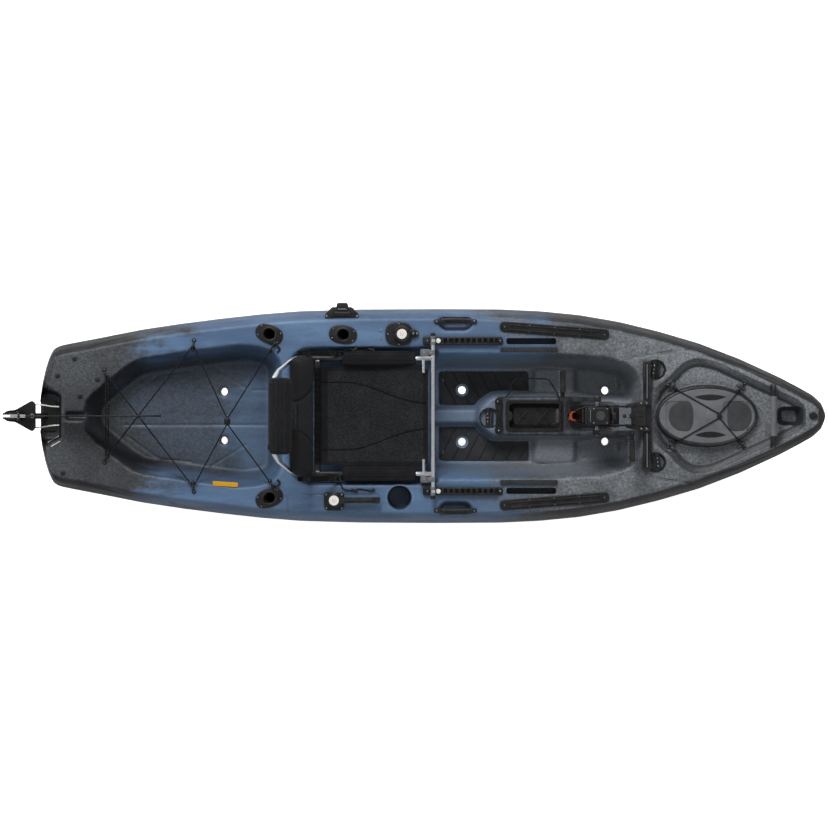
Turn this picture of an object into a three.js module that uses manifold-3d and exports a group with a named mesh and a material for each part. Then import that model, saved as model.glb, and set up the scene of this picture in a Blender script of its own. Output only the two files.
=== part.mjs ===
// Pedal kayak: a sit-on-top fishing kayak with a pedal drive, a framed seat and a flip-over rudder.
// Millimetres. +X is the bow, +Y is port, +Z is up. The origin is on the flat of the keel, under the cockpit.
import * as THREE from "three";
import { mergeVertices } from "three/addons/utils/BufferGeometryUtils.js";
import Module from "manifold-3d";

const wasm = await Module();
wasm.setup();

// Driving sizes of the hull
const HULL_LENGTH = 3240;
const HULL_BEAM = 890;
const HULL_DEPTH = 320;
const SHOULDER_WIDTH = 46;
const HALF_BEAM = HULL_BEAM / 2;

// Clearances that all pieces share
const GAP = 0.3;
const RUNNING_GAP = 0.4;
const OVERRUN = 24;

// Round forms: how many sides a curve gets
const TUBE_SIDES = 8;
const CORD_SIDES = 8;
const DISC_SIDES = 20;
const CORNER_STEPS = 2;
const LEAST_ROUNDED_TURN = 0.2;
const HALF_TURN = Math.PI;
const QUARTER_TURN = Math.PI / 2;
const radians = THREE.MathUtils.degToRad;

const along = (share) => share * HULL_LENGTH;
const across = (share) => share * HALF_BEAM;

// Hull lines: place along the hull, half breadth, keel height and deck height
// as shares of length, half beam, depth and depth.
const STATION_SHARES = [
  [-0.5062, 0.13, 0.42, 1.01],
  [-0.5037, 0.28, 0.38, 1.01],
  [-0.4985, 0.45, 0.33, 1.01],
  [-0.4938, 0.56, 0.29, 1.01],
  [-0.4886, 0.635, 0.26, 1.01],
  [-0.48, 0.66, 0.22, 1.01],
  [-0.4543, 0.697, 0.14, 1.005],
  [-0.4287, 0.733, 0.09, 1],
  [-0.3778, 0.807, 0.03, 1],
  [-0.3269, 0.863, 0, 1],
  [-0.2759, 0.91, 0, 1],
  [-0.2247, 0.951, 0, 1],
  [-0.1738, 0.98, 0, 1],
  [-0.0972, 0.996, 0, 1],
  [0, 1, 0, 1],
  [0.0812, 0.997, 0, 1],
  [0.1324, 0.98, 0, 1],
  [0.1833, 0.944, 0, 1],
  [0.2343, 0.88, 0, 1],
  [0.2855, 0.789, 0.01, 1.025],
  [0.3364, 0.679, 0.04, 1.06],
  [0.3873, 0.535, 0.1, 1.1],
  [0.4383, 0.362, 0.21, 1.14],
  [0.4639, 0.261, 0.33, 1.165],
  [0.4793, 0.195, 0.47, 1.185],
  [0.4895, 0.121, 0.64, 1.195],
  [0.4932, 0.05, 0.8, 1.2],
  [0.4938, 0.018, 0.88, 1.2],
];
// Half section from the keel up, as shares of half breadth and of height
const SECTION_SHARES = [
  [0.42, 0],
  [0.66, 0.03],
  [0.82, 0.11],
  [0.92, 0.24],
  [0.98, 0.42],
  [1, 0.6],
  [0.985, 0.76],
];
// The rounded shoulder above it, as shares of the shoulder's width and of the section's height
const SHOULDER_SHARES = [
  [0.42, 0.9],
  [0.8, 0.975],
  [1, 1],
];
// The shoulder narrows with the hull near its ends
const SHOULDER_MOST_SHARE = 0.42;
const STERN = along(STATION_SHARES[0][0]);
const BOW = along(STATION_SHARES.at(-1)[0]);

// Small vector and outline helpers
const point = (x, y, z) => new THREE.Vector3(x, y, z);
const turns = (count) => Array.from({ length: count }, (_, step) => (step / count) * 2 * HALF_TURN);
const mirrored = (half) => [...half, ...[...half].reverse().map(([x, y]) => [x, -y])];
const flipped = (outline) => [...outline].reverse().map(([x, y]) => [x, -y]);
const shifted = (outline, dx, dy) => outline.map(([x, y]) => [x + dx, y + dy]);
const ellipse = (halfLength, halfWidth, sides = DISC_SIDES) =>
  turns(sides).map((turn) => [halfLength * Math.cos(turn), halfWidth * Math.sin(turn)]);
const rectangle = (length, width) => [
  [length / 2, width / 2],
  [-length / 2, width / 2],
  [-length / 2, -width / 2],
  [length / 2, -width / 2],
];

function signedArea(outline) {
  return outline.reduce((sum, [x, y], index) => {
    const [nextX, nextY] = outline[(index + 1) % outline.length];
    return sum + (x * nextY - nextX * y) / 2;
  }, 0);
}

// An outline moved outwards by a distance, or inwards by a negative one
function grown(outline, distance) {
  const side = Math.sign(signedArea(outline));
  const count = outline.length;
  return outline.map(([x, y], index) => {
    const [beforeX, beforeY] = outline[(index + count - 1) % count];
    const [afterX, afterY] = outline[(index + 1) % count];
    const into = new THREE.Vector2(x - beforeX, y - beforeY).normalize();
    const out = new THREE.Vector2(afterX - x, afterY - y).normalize();
    const normal = new THREE.Vector2(into.y + out.y, -into.x - out.x).normalize();
    const lean = Math.max(normal.x * into.y - normal.y * into.x, 0.5);
    return [x + (side * distance * normal.x) / lean, y + (side * distance * normal.y) / lean];
  });
}

// An outline with its corners rounded, each as a short curve of equal steps
function rounded(outline, radius, steps = CORNER_STEPS) {
  const count = outline.length;
  return outline.flatMap(([x, y], index) => {
    const corner = new THREE.Vector2(x, y);
    const before = new THREE.Vector2(...outline[(index + count - 1) % count]);
    const after = new THREE.Vector2(...outline[(index + 1) % count]);
    const back = before.clone().sub(corner);
    const ahead = after.clone().sub(corner);
    if (HALF_TURN - back.angleTo(ahead) < LEAST_ROUNDED_TURN) return [[x, y]];
    const reach = Math.min(radius, 0.45 * back.length(), 0.45 * ahead.length());
    const curve = new THREE.QuadraticBezierCurve(
      corner.clone().add(back.setLength(reach)),
      corner,
      corner.clone().add(ahead.setLength(reach)),
    );
    return curve.getPoints(steps).map((at) => [at.x, at.y]);
  });
}

// Geometry helpers: closed meshes made from rings, profiles and paths
function closedGeometry(positions, faces) {
  const geometry = new THREE.BufferGeometry();
  geometry.setAttribute("position", new THREE.Float32BufferAttribute(positions, 3));
  geometry.setIndex(faces);
  return geometry;
}

function volumeOf(positions, faces) {
  const corner = (index) => new THREE.Vector3().fromArray(positions, 3 * index);
  let total = 0;
  for (let face = 0; face < faces.length; face += 3) {
    const [a, b, c] = [corner(faces[face]), corner(faces[face + 1]), corner(faces[face + 2])];
    total += a.dot(b.cross(c)) / 6;
  }
  return total;
}

function facingOut(positions, faces) {
  return volumeOf(positions, faces) < 0 ? [...faces].reverse() : faces;
}

// Triangles that close a ring, wound as the ring is
function capFaces(ring, flatten) {
  const contour = ring.map((at) => new THREE.Vector2(...flatten(at)));
  const ringArea = THREE.ShapeUtils.area(contour);
  return THREE.ShapeUtils.triangulateShape(contour, []).map((face) => {
    const faceArea = THREE.ShapeUtils.area(face.map((index) => contour[index]));
    return faceArea * ringArea < 0 ? [...face].reverse() : face;
  });
}

const seenFromAbove = (at) => [at.x, at.y];
const seenFromAhead = (at) => [at.y, at.z];
const seenFromSide = (at) => [at.x, at.z];

// A solid through a row of rings that have equal counts of points
function loft(rings, flatten = seenFromAbove) {
  const count = rings[0].length;
  const positions = rings.flat().flatMap((at) => at.toArray());
  const faces = [];
  for (let ring = 0; ring < rings.length - 1; ring++) {
    for (let step = 0; step < count; step++) {
      const near = ring * count + step;
      const next = ring * count + ((step + 1) % count);
      faces.push(near, next, next + count, near, next + count, near + count);
    }
  }
  const last = (rings.length - 1) * count;
  capFaces(rings[0], flatten).forEach(([a, b, c]) => faces.push(c, b, a));
  capFaces(rings.at(-1), flatten).forEach(([a, b, c]) => faces.push(last + a, last + b, last + c));
  return closedGeometry(positions, facingOut(positions, faces));
}

const levelRing = (outline, height) => outline.map(([x, y]) => point(x, y, height));

// A plate that lies flat: its outline, the height of its underside, its thickness and the chamfer of its top edge
function slab(outline, underside, thickness, chamfer = 0) {
  const rings = [levelRing(outline, underside)];
  if (chamfer) rings.push(levelRing(outline, underside + thickness - chamfer));
  rings.push(levelRing(grown(outline, -chamfer), underside + thickness));
  return loft(rings);
}

// A plate that stands across the hull: a side outline of [x, z] pairs from one y to another
function sidePlate(outline, fromY, toY) {
  return loft(
    [fromY, toY].map((y) => outline.map(([x, z]) => point(x, y, z))),
    seenFromSide,
  );
}

// The same surface with points that coincide made one, and without the faces that this leaves empty
function withoutSlivers(positions, faces) {
  const merged = mergeVertices(closedGeometry(positions, faces), 1e-4);
  const index = merged.index.array;
  const kept = [];
  for (let face = 0; face < index.length; face += 3) {
    const [a, b, c] = index.subarray(face, face + 3);
    if (a !== b && b !== c && c !== a) kept.push(a, b, c);
  }
  return merged.setIndex(kept);
}

// A turned piece about Z: a profile of [radius, height] pairs that starts and ends on the axis, or closes on itself
function turned(profile, sides = DISC_SIDES) {
  const rings = turns(sides).map((turn) =>
    profile.map(([radius, height]) => point(radius * Math.cos(turn), radius * Math.sin(turn), height)),
  );
  const count = profile.length;
  const positions = rings.flat().flatMap((at) => at.toArray());
  const faces = [];
  for (let side = 0; side < sides; side++) {
    const [near, far] = [side * count, ((side + 1) % sides) * count];
    for (let step = 0; step < count - 1; step++) {
      faces.push(near + step, far + step, far + step + 1, near + step, far + step + 1, near + step + 1);
    }
  }
  return withoutSlivers(positions, facingOut(positions, faces));
}

const ringProfile = (inner, outer, underside, top) => [
  [inner, underside],
  [outer, underside],
  [outer, top],
  [inner, top],
  [inner, underside],
];
const discProfile = (radius, underside, top, chamfer = 0) => [
  [0, underside],
  [radius, underside],
  [radius, top - chamfer],
  ...(chamfer ? [[radius - chamfer, top]] : []),
  [0, top],
];

// A straight round bar between two points
function rod(from, to, radius, sides = TUBE_SIDES) {
  const length = from.distanceTo(to);
  const geometry = new THREE.CylinderGeometry(radius, radius, length, sides);
  const turn = new THREE.Quaternion().setFromUnitVectors(
    point(0, 1, 0),
    to.clone().sub(from).normalize(),
  );
  const middle = from.clone().add(to).multiplyScalar(0.5);
  return geometry.applyQuaternion(turn).translate(...middle.toArray());
}

// Points along a path whose corners are bent, each over a reach and in equal steps
function bentPoints(points, bend, steps = CORNER_STEPS) {
  const inner = points.slice(1, -1).flatMap((corner, index) => {
    const back = points[index].clone().sub(corner);
    const ahead = points[index + 2].clone().sub(corner);
    const reach = Math.min(bend, 0.48 * back.length(), 0.48 * ahead.length());
    const curve = new THREE.QuadraticBezierCurve3(
      corner.clone().add(back.setLength(reach)),
      corner,
      corner.clone().add(ahead.setLength(reach)),
    );
    return curve.getPoints(steps);
  });
  return [points[0], ...inner, points.at(-1)];
}

// A round bar or cord through points, one ring of corners at each
function sweep(points, radius, sides = TUBE_SIDES) {
  const lastPoint = points.length - 1;
  const headings = points.map((at, index) => {
    const into = at.clone().sub(points[Math.max(index - 1, 0)]).normalize();
    const out = points[Math.min(index + 1, lastPoint)].clone().sub(at).normalize();
    return into.add(out).normalize();
  });
  const first = headings[0];
  const steepest = Math.abs(first.z) > 0.9 ? point(1, 0, 0) : point(0, 0, 1);
  let sideways = steepest.clone().cross(first).normalize();
  const positions = [];
  headings.forEach((heading, index) => {
    if (index) {
      const turn = new THREE.Quaternion().setFromUnitVectors(headings[index - 1], heading);
      sideways = sideways.applyQuaternion(turn).normalize();
    }
    const upwards = heading.clone().cross(sideways);
    turns(sides).forEach((angle) => {
      const at = points[index]
        .clone()
        .addScaledVector(sideways, radius * Math.cos(angle))
        .addScaledVector(upwards, radius * Math.sin(angle));
      positions.push(...at.toArray());
    });
  });
  const faces = [];
  for (let ring = 0; ring < lastPoint; ring++) {
    for (let step = 0; step < sides; step++) {
      const near = ring * sides + step;
      const next = ring * sides + ((step + 1) % sides);
      faces.push(near, next, next + sides, near, next + sides, near + sides);
    }
  }
  const last = lastPoint * sides;
  for (let step = 1; step < sides - 1; step++) {
    faces.push(0, step + 1, step, last, last + step, last + step + 1);
  }
  return closedGeometry(positions, facingOut(positions, faces));
}

// Solid helpers: joining and cutting closed meshes
function solid(geometry) {
  if (geometry instanceof wasm.Manifold) return geometry;
  const bare = geometry.clone();
  bare.deleteAttribute("normal");
  bare.deleteAttribute("uv");
  const merged = mergeVertices(bare, 1e-4);
  return new wasm.Manifold(
    new wasm.Mesh({
      numProp: 3,
      vertProperties: new Float32Array(merged.attributes.position.array),
      triVerts: new Uint32Array(merged.index.array),
    }),
  );
}

const joined = (...pieces) => pieces.map(solid).reduce((whole, piece) => whole.add(piece));
const cut = (base, ...tools) => tools.map(solid).reduce((left, tool) => left.subtract(tool), solid(base));
const shared = (first, second) => solid(first).intersect(solid(second));

function geometryOf(made) {
  if (made instanceof THREE.BufferGeometry) return made;
  const mesh = made.getMesh();
  const positions = [];
  for (let vertex = 0; vertex < mesh.numVert; vertex++) {
    const start = vertex * mesh.numProp;
    positions.push(...mesh.vertProperties.subarray(start, start + 3));
  }
  return closedGeometry(positions, Array.from(mesh.triVerts));
}

// Finishes of the pieces
const finish = (color, roughness, metalness = 0) =>
  new THREE.MeshStandardMaterial({ color, roughness, metalness });
const FINISHES = {
  hullPlastic: finish(0x62789c, 0.55),
  blackPlastic: finish(0x1c1d20, 0.5),
  greyPlastic: finish(0x5a5c60, 0.5),
  paleCap: finish(0xd8d8d6, 0.4),
  orangePlastic: finish(0xd0662a, 0.45),
  brightTube: finish(0xc9ccd0, 0.3, 1),
  blackAluminium: finish(0x2a2b2e, 0.4, 0.8),
  steel: finish(0xa9adb2, 0.3, 1),
  foam: finish(0x1b1b1d, 0.9),
  fabric: finish(0x26272b, 0.95),
  mesh: finish(0x2f3136, 0.9),
  cord: finish(0x141416, 0.8),
};

const kayak = new THREE.Group();

function group(parent, x = 0, y = 0, z = 0, turn = 0) {
  const made = new THREE.Group();
  made.position.set(x, y, z);
  made.rotation.z = turn;
  parent.add(made);
  return made;
}

function piece(parent, name, made, material) {
  const mesh = new THREE.Mesh(geometryOf(made), material);
  mesh.name = name;
  parent.add(mesh);
  return mesh;
}

// Hull lines read at any place along the hull
function stationAt(x) {
  const share = x / HULL_LENGTH;
  const last = STATION_SHARES.length - 1;
  const index = THREE.MathUtils.clamp(
    STATION_SHARES.findIndex(([place]) => place >= share),
    1,
    last,
  );
  const [before, after] = [STATION_SHARES[index - 1], STATION_SHARES[index]];
  const part = THREE.MathUtils.clamp((share - before[0]) / (after[0] - before[0]), 0, 1);
  const between = (column) => THREE.MathUtils.lerp(before[column], after[column], part);
  return { halfBreadth: across(between(1)), keel: HULL_DEPTH * between(2), deck: HULL_DEPTH * between(3) };
}
const deckAt = (x) => stationAt(x).deck;
const deckEdgeAt = (x) => stationAt(x).halfBreadth - SHOULDER_WIDTH;
const DECK = deckAt(0);

// The hull's outer form
function hullForm() {
  const rings = STATION_SHARES.map(([place, breadth, keelShare, deckShare]) => {
    const halfBreadth = across(breadth);
    const keel = HULL_DEPTH * keelShare;
    const height = HULL_DEPTH * deckShare - keel;
    const shoulder = Math.min(SHOULDER_WIDTH, SHOULDER_MOST_SHARE * halfBreadth);
    const half = [
      ...SECTION_SHARES.map(([out, rise]) => [out * halfBreadth, keel + rise * height]),
      ...SHOULDER_SHARES.map(([inwards, rise]) => [
        halfBreadth - inwards * shoulder,
        keel + rise * height,
      ]),
    ];
    return mirrored(half.map(([y, z]) => [z, y])).map(([z, y]) => point(along(place), y, z));
  });
  return solid(loft(rings, seenFromAhead));
}

// Moulded pockets. Each is a cutter with a drafted wall, a softened floor edge and a softened lip.
const LIP = 7;
const FLOOR_FILLET = 12;
const MOST_FILLET_SHARE = 0.4;
function pocket({ outline, radius, floor, draft = 0, mouth = deckAt, steps }) {
  const mouthAt = typeof mouth === "function" ? mouth : () => mouth;
  const floorAt = typeof floor === "function" ? floor : () => floor;
  const fillet = Math.min(FLOOR_FILLET, MOST_FILLET_SHARE * radius);
  const ring = (offset, heightAt) =>
    rounded(grown(outline, offset), radius, steps).map(([x, y]) => point(x, y, heightAt(x)));
  return solid(
    loft([
      ring(-draft - fillet, floorAt),
      ring(-draft, (x) => floorAt(x) + fillet),
      ring(0, (x) => mouthAt(x) - LIP),
      ring(LIP, (x) => mouthAt(x) + GAP),
      ring(LIP, (x) => mouthAt(x) + OVERRUN),
    ]),
  );
}

// A round pocket: radius at the mouth, drafted to a flat floor
const ROUND_POCKET_SIDES = 14;
function roundPocket({ x, y, radius, floor, mouth, draft = 0 }) {
  const ring = (offset, height) =>
    levelRing(
      shifted(ellipse(radius + offset, radius + offset, ROUND_POCKET_SIDES), x, y),
      height,
    );
  return solid(
    loft([
      ring(-draft, floor),
      ring(0, mouth - LIP),
      ring(LIP, mouth + GAP),
      ring(LIP, mouth + OVERRUN),
    ]),
  );
}

// Outlines from shares of a length and a half width, aft end first, port side
const planOutline = (shares, aft, fore, halfWidth) =>
  mirrored(shares.map(([run, out]) => [THREE.MathUtils.lerp(aft, fore, run), out * halfWidth]));

// Tankwell behind the seat
const TANKWELL_AFT = along(-0.4481);
const TANKWELL_FORE = along(-0.1975);
const TANKWELL_HALF_WIDTH = across(0.66);
const TANKWELL_FLOOR = 172;
const TANKWELL_DRAFT = 52;
const TANKWELL_SHARES = [
  [0, 0.21],
  [0.126, 0.51],
  [0.255, 0.79],
  [0.53, 0.905],
  [0.8, 1],
  [0.93, 0.95],
  [1, 0.78],
];
const TANKWELL_CORNER = 40;
const tankwell = () =>
  pocket({
    outline: planOutline(TANKWELL_SHARES, TANKWELL_AFT, TANKWELL_FORE, TANKWELL_HALF_WIDTH),
    radius: TANKWELL_CORNER,
    floor: TANKWELL_FLOOR,
    draft: TANKWELL_DRAFT,
    steps: 2,
  });

// Seat well
const SEAT_WELL_AFT = along(-0.1855);
const SEAT_WELL_FORE = along(0.003);
const SEAT_WELL_HALF_WIDTH = across(0.627);
const SEAT_WELL_FLOOR = 158;
const SEAT_WELL_DRAFT = 22;
const SEAT_WELL_SHARES = [
  [0, 0.84],
  [0.08, 1],
  [1, 1],
];
const SEAT_WELL_CORNER = 36;
const seatWell = () =>
  pocket({
    outline: planOutline(SEAT_WELL_SHARES, SEAT_WELL_AFT, SEAT_WELL_FORE, SEAT_WELL_HALF_WIDTH),
    radius: SEAT_WELL_CORNER,
    floor: SEAT_WELL_FLOOR,
    draft: SEAT_WELL_DRAFT,
  });

// Footwells and the console between them
const FOOTWELL_AFT = along(-0.0195);
const FOOTWELL_FORE = along(0.2608);
const FOOTWELL_HALF_WIDTH = across(0.573);
const FOOTWELL_FLOOR = 108;
const FOOTWELL_DRAFT = 50;
const FOOTWELL_SHARES = [
  [0, 1],
  [0.6, 1],
  [0.83, 0.95],
  [0.95, 0.84],
  [1, 0.6],
];
const CONSOLE_TOP = 195;
const CONSOLE_DRAFT = 22;
const CONSOLE_SPINE_TOP = 150;
const CONSOLE_AFT = along(0.0546);
const CONSOLE_FORE = along(0.29);
const CONSOLE_HALF_WIDTH = across(0.182);
const CONSOLE_SHARES = [
  [0, 0.4],
  [0.075, 1],
  [0.55, 1],
  [0.62, 0.84],
  [1, 0.84],
];
const SPINE_HALF_WIDTH = across(0.066);
const SPINE_DRAFT = 8;
const HEEL_PAD_LENGTH = 164;
const HEEL_PAD_WIDTH = 116;
const HEEL_PAD_RISE = 26;
const HEEL_PAD_X = along(0.1525);
const HEEL_PAD_Y = across(0.318);

// A raised form that stays when its pocket is cut: a frustum from below the floor up to its top
const MOUND_CHAMFER = 6;
function mound({ outline, radius, foot, top, draft }) {
  const ring = (offset, height) => levelRing(rounded(grown(outline, offset), radius, 2), height);
  return solid(
    loft([
      ring(draft, foot - OVERRUN),
      ring(draft, foot),
      ring(0, top - MOUND_CHAMFER),
      ring(-MOUND_CHAMFER, top),
    ]),
  );
}

const consoleOutline = () =>
  planOutline(CONSOLE_SHARES, CONSOLE_AFT, CONSOLE_FORE, CONSOLE_HALF_WIDTH);

const CONSOLE_CORNER = 24;
const SPINE_CORNER = 12;
const SPINE_OVERLAP = 12;
const HEEL_PAD_CORNER = 18;
const HEEL_PAD_DRAFT = 14;
function footwellMounds() {
  const foot = FOOTWELL_FLOOR;
  const spineLength = 2 * (CONSOLE_AFT - FOOTWELL_AFT + SPINE_OVERLAP);
  const console = mound({
    foot,
    outline: consoleOutline(),
    radius: CONSOLE_CORNER,
    top: CONSOLE_TOP,
    draft: CONSOLE_DRAFT,
  });
  const spine = mound({
    foot,
    outline: shifted(rectangle(spineLength, 2 * SPINE_HALF_WIDTH), CONSOLE_AFT, 0),
    radius: SPINE_CORNER,
    top: CONSOLE_SPINE_TOP,
    draft: SPINE_DRAFT,
  });
  const heelPads = [1, -1].map((side) =>
    mound({
      foot,
      outline: shifted(rectangle(HEEL_PAD_LENGTH, HEEL_PAD_WIDTH), HEEL_PAD_X, side * HEEL_PAD_Y),
      radius: HEEL_PAD_CORNER,
      top: FOOTWELL_FLOOR + HEEL_PAD_RISE,
      draft: HEEL_PAD_DRAFT,
    }),
  );
  return [console, spine, ...heelPads];
}

const FOOTWELL_CORNER = 40;
function footwells() {
  const well = pocket({
    outline: planOutline(FOOTWELL_SHARES, FOOTWELL_AFT, FOOTWELL_FORE, FOOTWELL_HALF_WIDTH),
    radius: FOOTWELL_CORNER,
    floor: FOOTWELL_FLOOR,
    draft: FOOTWELL_DRAFT,
  });
  return cut(well, ...footwellMounds());
}

// Pedal drive: its places and the sizes that the hull's slot follows
const CRANK_X = along(0.204);
const CRANK_HEIGHT = 380;
const CRANK_LENGTH = 148;
const DRIVE_HINGE_X_OFFSET = 81;
const DRIVE_HINGE_X = CRANK_X + DRIVE_HINGE_X_OFFSET;
const DRIVE_KICK_UP_DEGREES = 26;
const LEG_CHORD = 70;
const LEG_THICKNESS = 32;
const LEG_FORE_X_OFFSET = 42;
const LEG_FORE_X = CRANK_X + LEG_FORE_X_OFFSET;
const LEG_AFT_X = LEG_FORE_X - LEG_CHORD;
const SLOT_CLEARANCE = 12;
const DRIVE_SEAT_DEPTH = 14;
const DRIVE_SEAT_THICKNESS = 8;
const DRIVE_SEAT_HALF_WIDTH = 48;
const DRIVE_SEAT_AFT_X_OFFSET = 105;
const DRIVE_SEAT_AFT_X = CRANK_X - DRIVE_SEAT_AFT_X_OFFSET;
const DRIVE_SEAT_FORE_X_OFFSET = 61;
const DRIVE_SEAT_FORE_X = CRANK_X + DRIVE_SEAT_FORE_X_OFFSET;
const DRIVE_RECESS_FLOOR = CONSOLE_TOP - DRIVE_SEAT_DEPTH;
const DRIVE_RECESS_AFT_X_OFFSET = 15;
const DRIVE_RECESS_AFT_X = DRIVE_SEAT_AFT_X - DRIVE_RECESS_AFT_X_OFFSET;
const DRIVE_RECESS_FORE_X_OFFSET = 20;
const DRIVE_RECESS_FORE_X = DRIVE_SEAT_FORE_X + DRIVE_RECESS_FORE_X_OFFSET;
const DRIVE_RECESS_HALF_WIDTH_OFFSET = 8;
const DRIVE_RECESS_HALF_WIDTH = DRIVE_SEAT_HALF_WIDTH + DRIVE_RECESS_HALF_WIDTH_OFFSET;

const DRIVE_RECESS_CORNER = 16;
const driveRecess = () =>
  pocket({
    outline: planOutline(
      [
        [0, 1],
        [1, 1],
      ],
      DRIVE_RECESS_AFT_X,
      DRIVE_RECESS_FORE_X,
      DRIVE_RECESS_HALF_WIDTH,
    ),
    radius: DRIVE_RECESS_CORNER,
    floor: DRIVE_RECESS_FLOOR,
    mouth: CONSOLE_TOP,
  });

// The slot that the leg passes through: its aft wall slants so that the leg can kick up
const SLOT_HALF_WIDTH = LEG_THICKNESS / 2 + SLOT_CLEARANCE;
const SLOT_AFT_TOP_X_OFFSET = 88;
const SLOT_AFT_TOP_X = LEG_AFT_X - SLOT_AFT_TOP_X_OFFSET;
const SLOT_AFT_KEEL_X_OFFSET = 186;
const SLOT_AFT_KEEL_X = LEG_AFT_X - SLOT_AFT_KEEL_X_OFFSET;
const SLOT_FORE_X_OFFSET = 22;
const SLOT_FORE_X = LEG_FORE_X + SLOT_FORE_X_OFFSET;
function driveSlot() {
  const slope = (SLOT_AFT_TOP_X - SLOT_AFT_KEEL_X) / DRIVE_RECESS_FLOOR;
  const top = DRIVE_RECESS_FLOOR + LIP;
  const foot = -OVERRUN;
  const side = [
    [SLOT_AFT_KEEL_X + slope * foot, foot],
    [SLOT_AFT_KEEL_X + slope * top, top],
    [SLOT_FORE_X, top],
    [SLOT_FORE_X, foot],
  ];
  return solid(sidePlate(side, -SLOT_HALF_WIDTH, SLOT_HALF_WIDTH));
}

// Pocket for the ribbed tray behind the drive
const TRAY_AFT_X = along(0.0895);
const TRAY_FORE_X = along(0.1636);
const TRAY_HALF_WIDTH = 66;
const TRAY_FLANGE = 10;
const TRAY_DEPTH = 40;
const TRAY_WALL = 3;
const TRAY_DRAFT = 6;
const TRAY_POCKET_CORNER = 16;
const trayPocket = () =>
  pocket({
    outline: shifted(
      rectangle(TRAY_FORE_X - TRAY_AFT_X - 2 * TRAY_FLANGE, 2 * (TRAY_HALF_WIDTH - TRAY_FLANGE)),
      (TRAY_FORE_X + TRAY_AFT_X) / 2,
      0,
    ),
    radius: TRAY_POCKET_CORNER,
    floor: CONSOLE_TOP - TRAY_DEPTH,
    draft: TRAY_DRAFT,
    mouth: CONSOLE_TOP,
    steps: 2,
  });

// Bow recess, its hatch coaming, the pocket ahead of it
const BOW_RECESS_AFT = along(0.2778);
const BOW_RECESS_FORE = along(0.466);
const BOW_RECESS_HALF_WIDTH = across(0.528);
const BOW_RECESS_DEPTH = 26;
const BOW_RECESS_SHARES = [
  [0, 0.46],
  [0.1, 0.64],
  [0.18, 0.88],
  [0.27, 1],
  [0.4, 0.95],
  [0.96, 0.27],
  [1, 0.17],
];
const BOW_RECESS_CORNER = 30;
const BOW_RECESS_DRAFT = 16;
const bowRecess = () =>
  pocket({
    outline: planOutline(BOW_RECESS_SHARES, BOW_RECESS_AFT, BOW_RECESS_FORE, BOW_RECESS_HALF_WIDTH),
    radius: BOW_RECESS_CORNER,
    floor: (x) => deckAt(x) - BOW_RECESS_DEPTH,
    draft: BOW_RECESS_DRAFT,
    steps: 2,
  });
const BOW_POCKET_X = along(0.449);
const BOW_POCKET_LENGTH = 104;
const BOW_POCKET_WIDTH = 84;
const BOW_POCKET_DEPTH = 66;
const BOW_POCKET_CORNER = 22;
const BOW_POCKET_DRAFT = 12;
const bowPocket = () =>
  pocket({
    outline: shifted(rectangle(BOW_POCKET_LENGTH, BOW_POCKET_WIDTH), BOW_POCKET_X, 0),
    radius: BOW_POCKET_CORNER,
    floor: deckAt(BOW_POCKET_X) - BOW_POCKET_DEPTH,
    draft: BOW_POCKET_DRAFT,
    steps: 2,
  });

const RAIL_X = along(0.2682);
const HATCH_HALF_LENGTH = 200;
const RAIL_TO_HATCH = 47.2;
const HATCH_X = RAIL_X + RAIL_TO_HATCH + HATCH_HALF_LENGTH;
const HATCH_HALF_WIDTH = 115;
const COAMING_FLANGE = 9;
const COAMING_LEDGE = 20;
const COAMING_ROOT = 3;
const HATCH_PLANE_OFFSET = 4;
const HATCH_PLANE = deckAt(HATCH_X) - HATCH_PLANE_OFFSET;
const HATCH_SIDES = 40;
const hatchEllipse = (offset) =>
  shifted(ellipse(HATCH_HALF_LENGTH + offset, HATCH_HALF_WIDTH + offset, HATCH_SIDES), HATCH_X, 0);

// Stern notch for the rudder, and the groove that the stowed blade lies over
const STERN_NOTCH_FORE = along(-0.479);
const STERN_NOTCH_HALF_WIDTH = across(0.265);
const STERN_NOTCH_FLOOR = 236;
const STERN_NOTCH_SHARES = [
  [0, 1],
  [0.45, 1],
  [1, 0.72],
];
const STERN_NOTCH_CORNER = 12;
const sternNotch = () =>
  pocket({
    outline: planOutline(
      STERN_NOTCH_SHARES,
      STERN - 2 * OVERRUN,
      STERN_NOTCH_FORE,
      STERN_NOTCH_HALF_WIDTH,
    ),
    radius: STERN_NOTCH_CORNER,
    floor: STERN_NOTCH_FLOOR,
    steps: 2,
  });
const BLADE_GROOVE_X = along(-0.4515);
const BLADE_GROOVE_LENGTH = 134;
const BLADE_GROOVE_WIDTH = 32;
const BLADE_GROOVE_DEPTH = 26;
const BLADE_GROOVE_CORNER = 10;
const BLADE_GROOVE_DRAFT = 3;
const bladeGroove = () =>
  pocket({
    outline: shifted(rectangle(BLADE_GROOVE_LENGTH, BLADE_GROOVE_WIDTH), BLADE_GROOVE_X, 0),
    radius: BLADE_GROOVE_CORNER,
    floor: deckAt(BLADE_GROOVE_X) - BLADE_GROOVE_DEPTH,
    draft: BLADE_GROOVE_DRAFT,
    steps: 2,
  });

// Cup holder, starboard
const CUP_X = along(-0.0469);
const CUP_Y = across(-0.757);
const CUP_RADIUS = 50;
const CUP_DEPTH = 92;
const CUP_DRAFT = 7;
const cupHolder = () =>
  roundPocket({
    x: CUP_X,
    y: CUP_Y,
    radius: CUP_RADIUS,
    floor: DECK - CUP_DEPTH,
    mouth: DECK,
    draft: CUP_DRAFT,
  });

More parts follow.
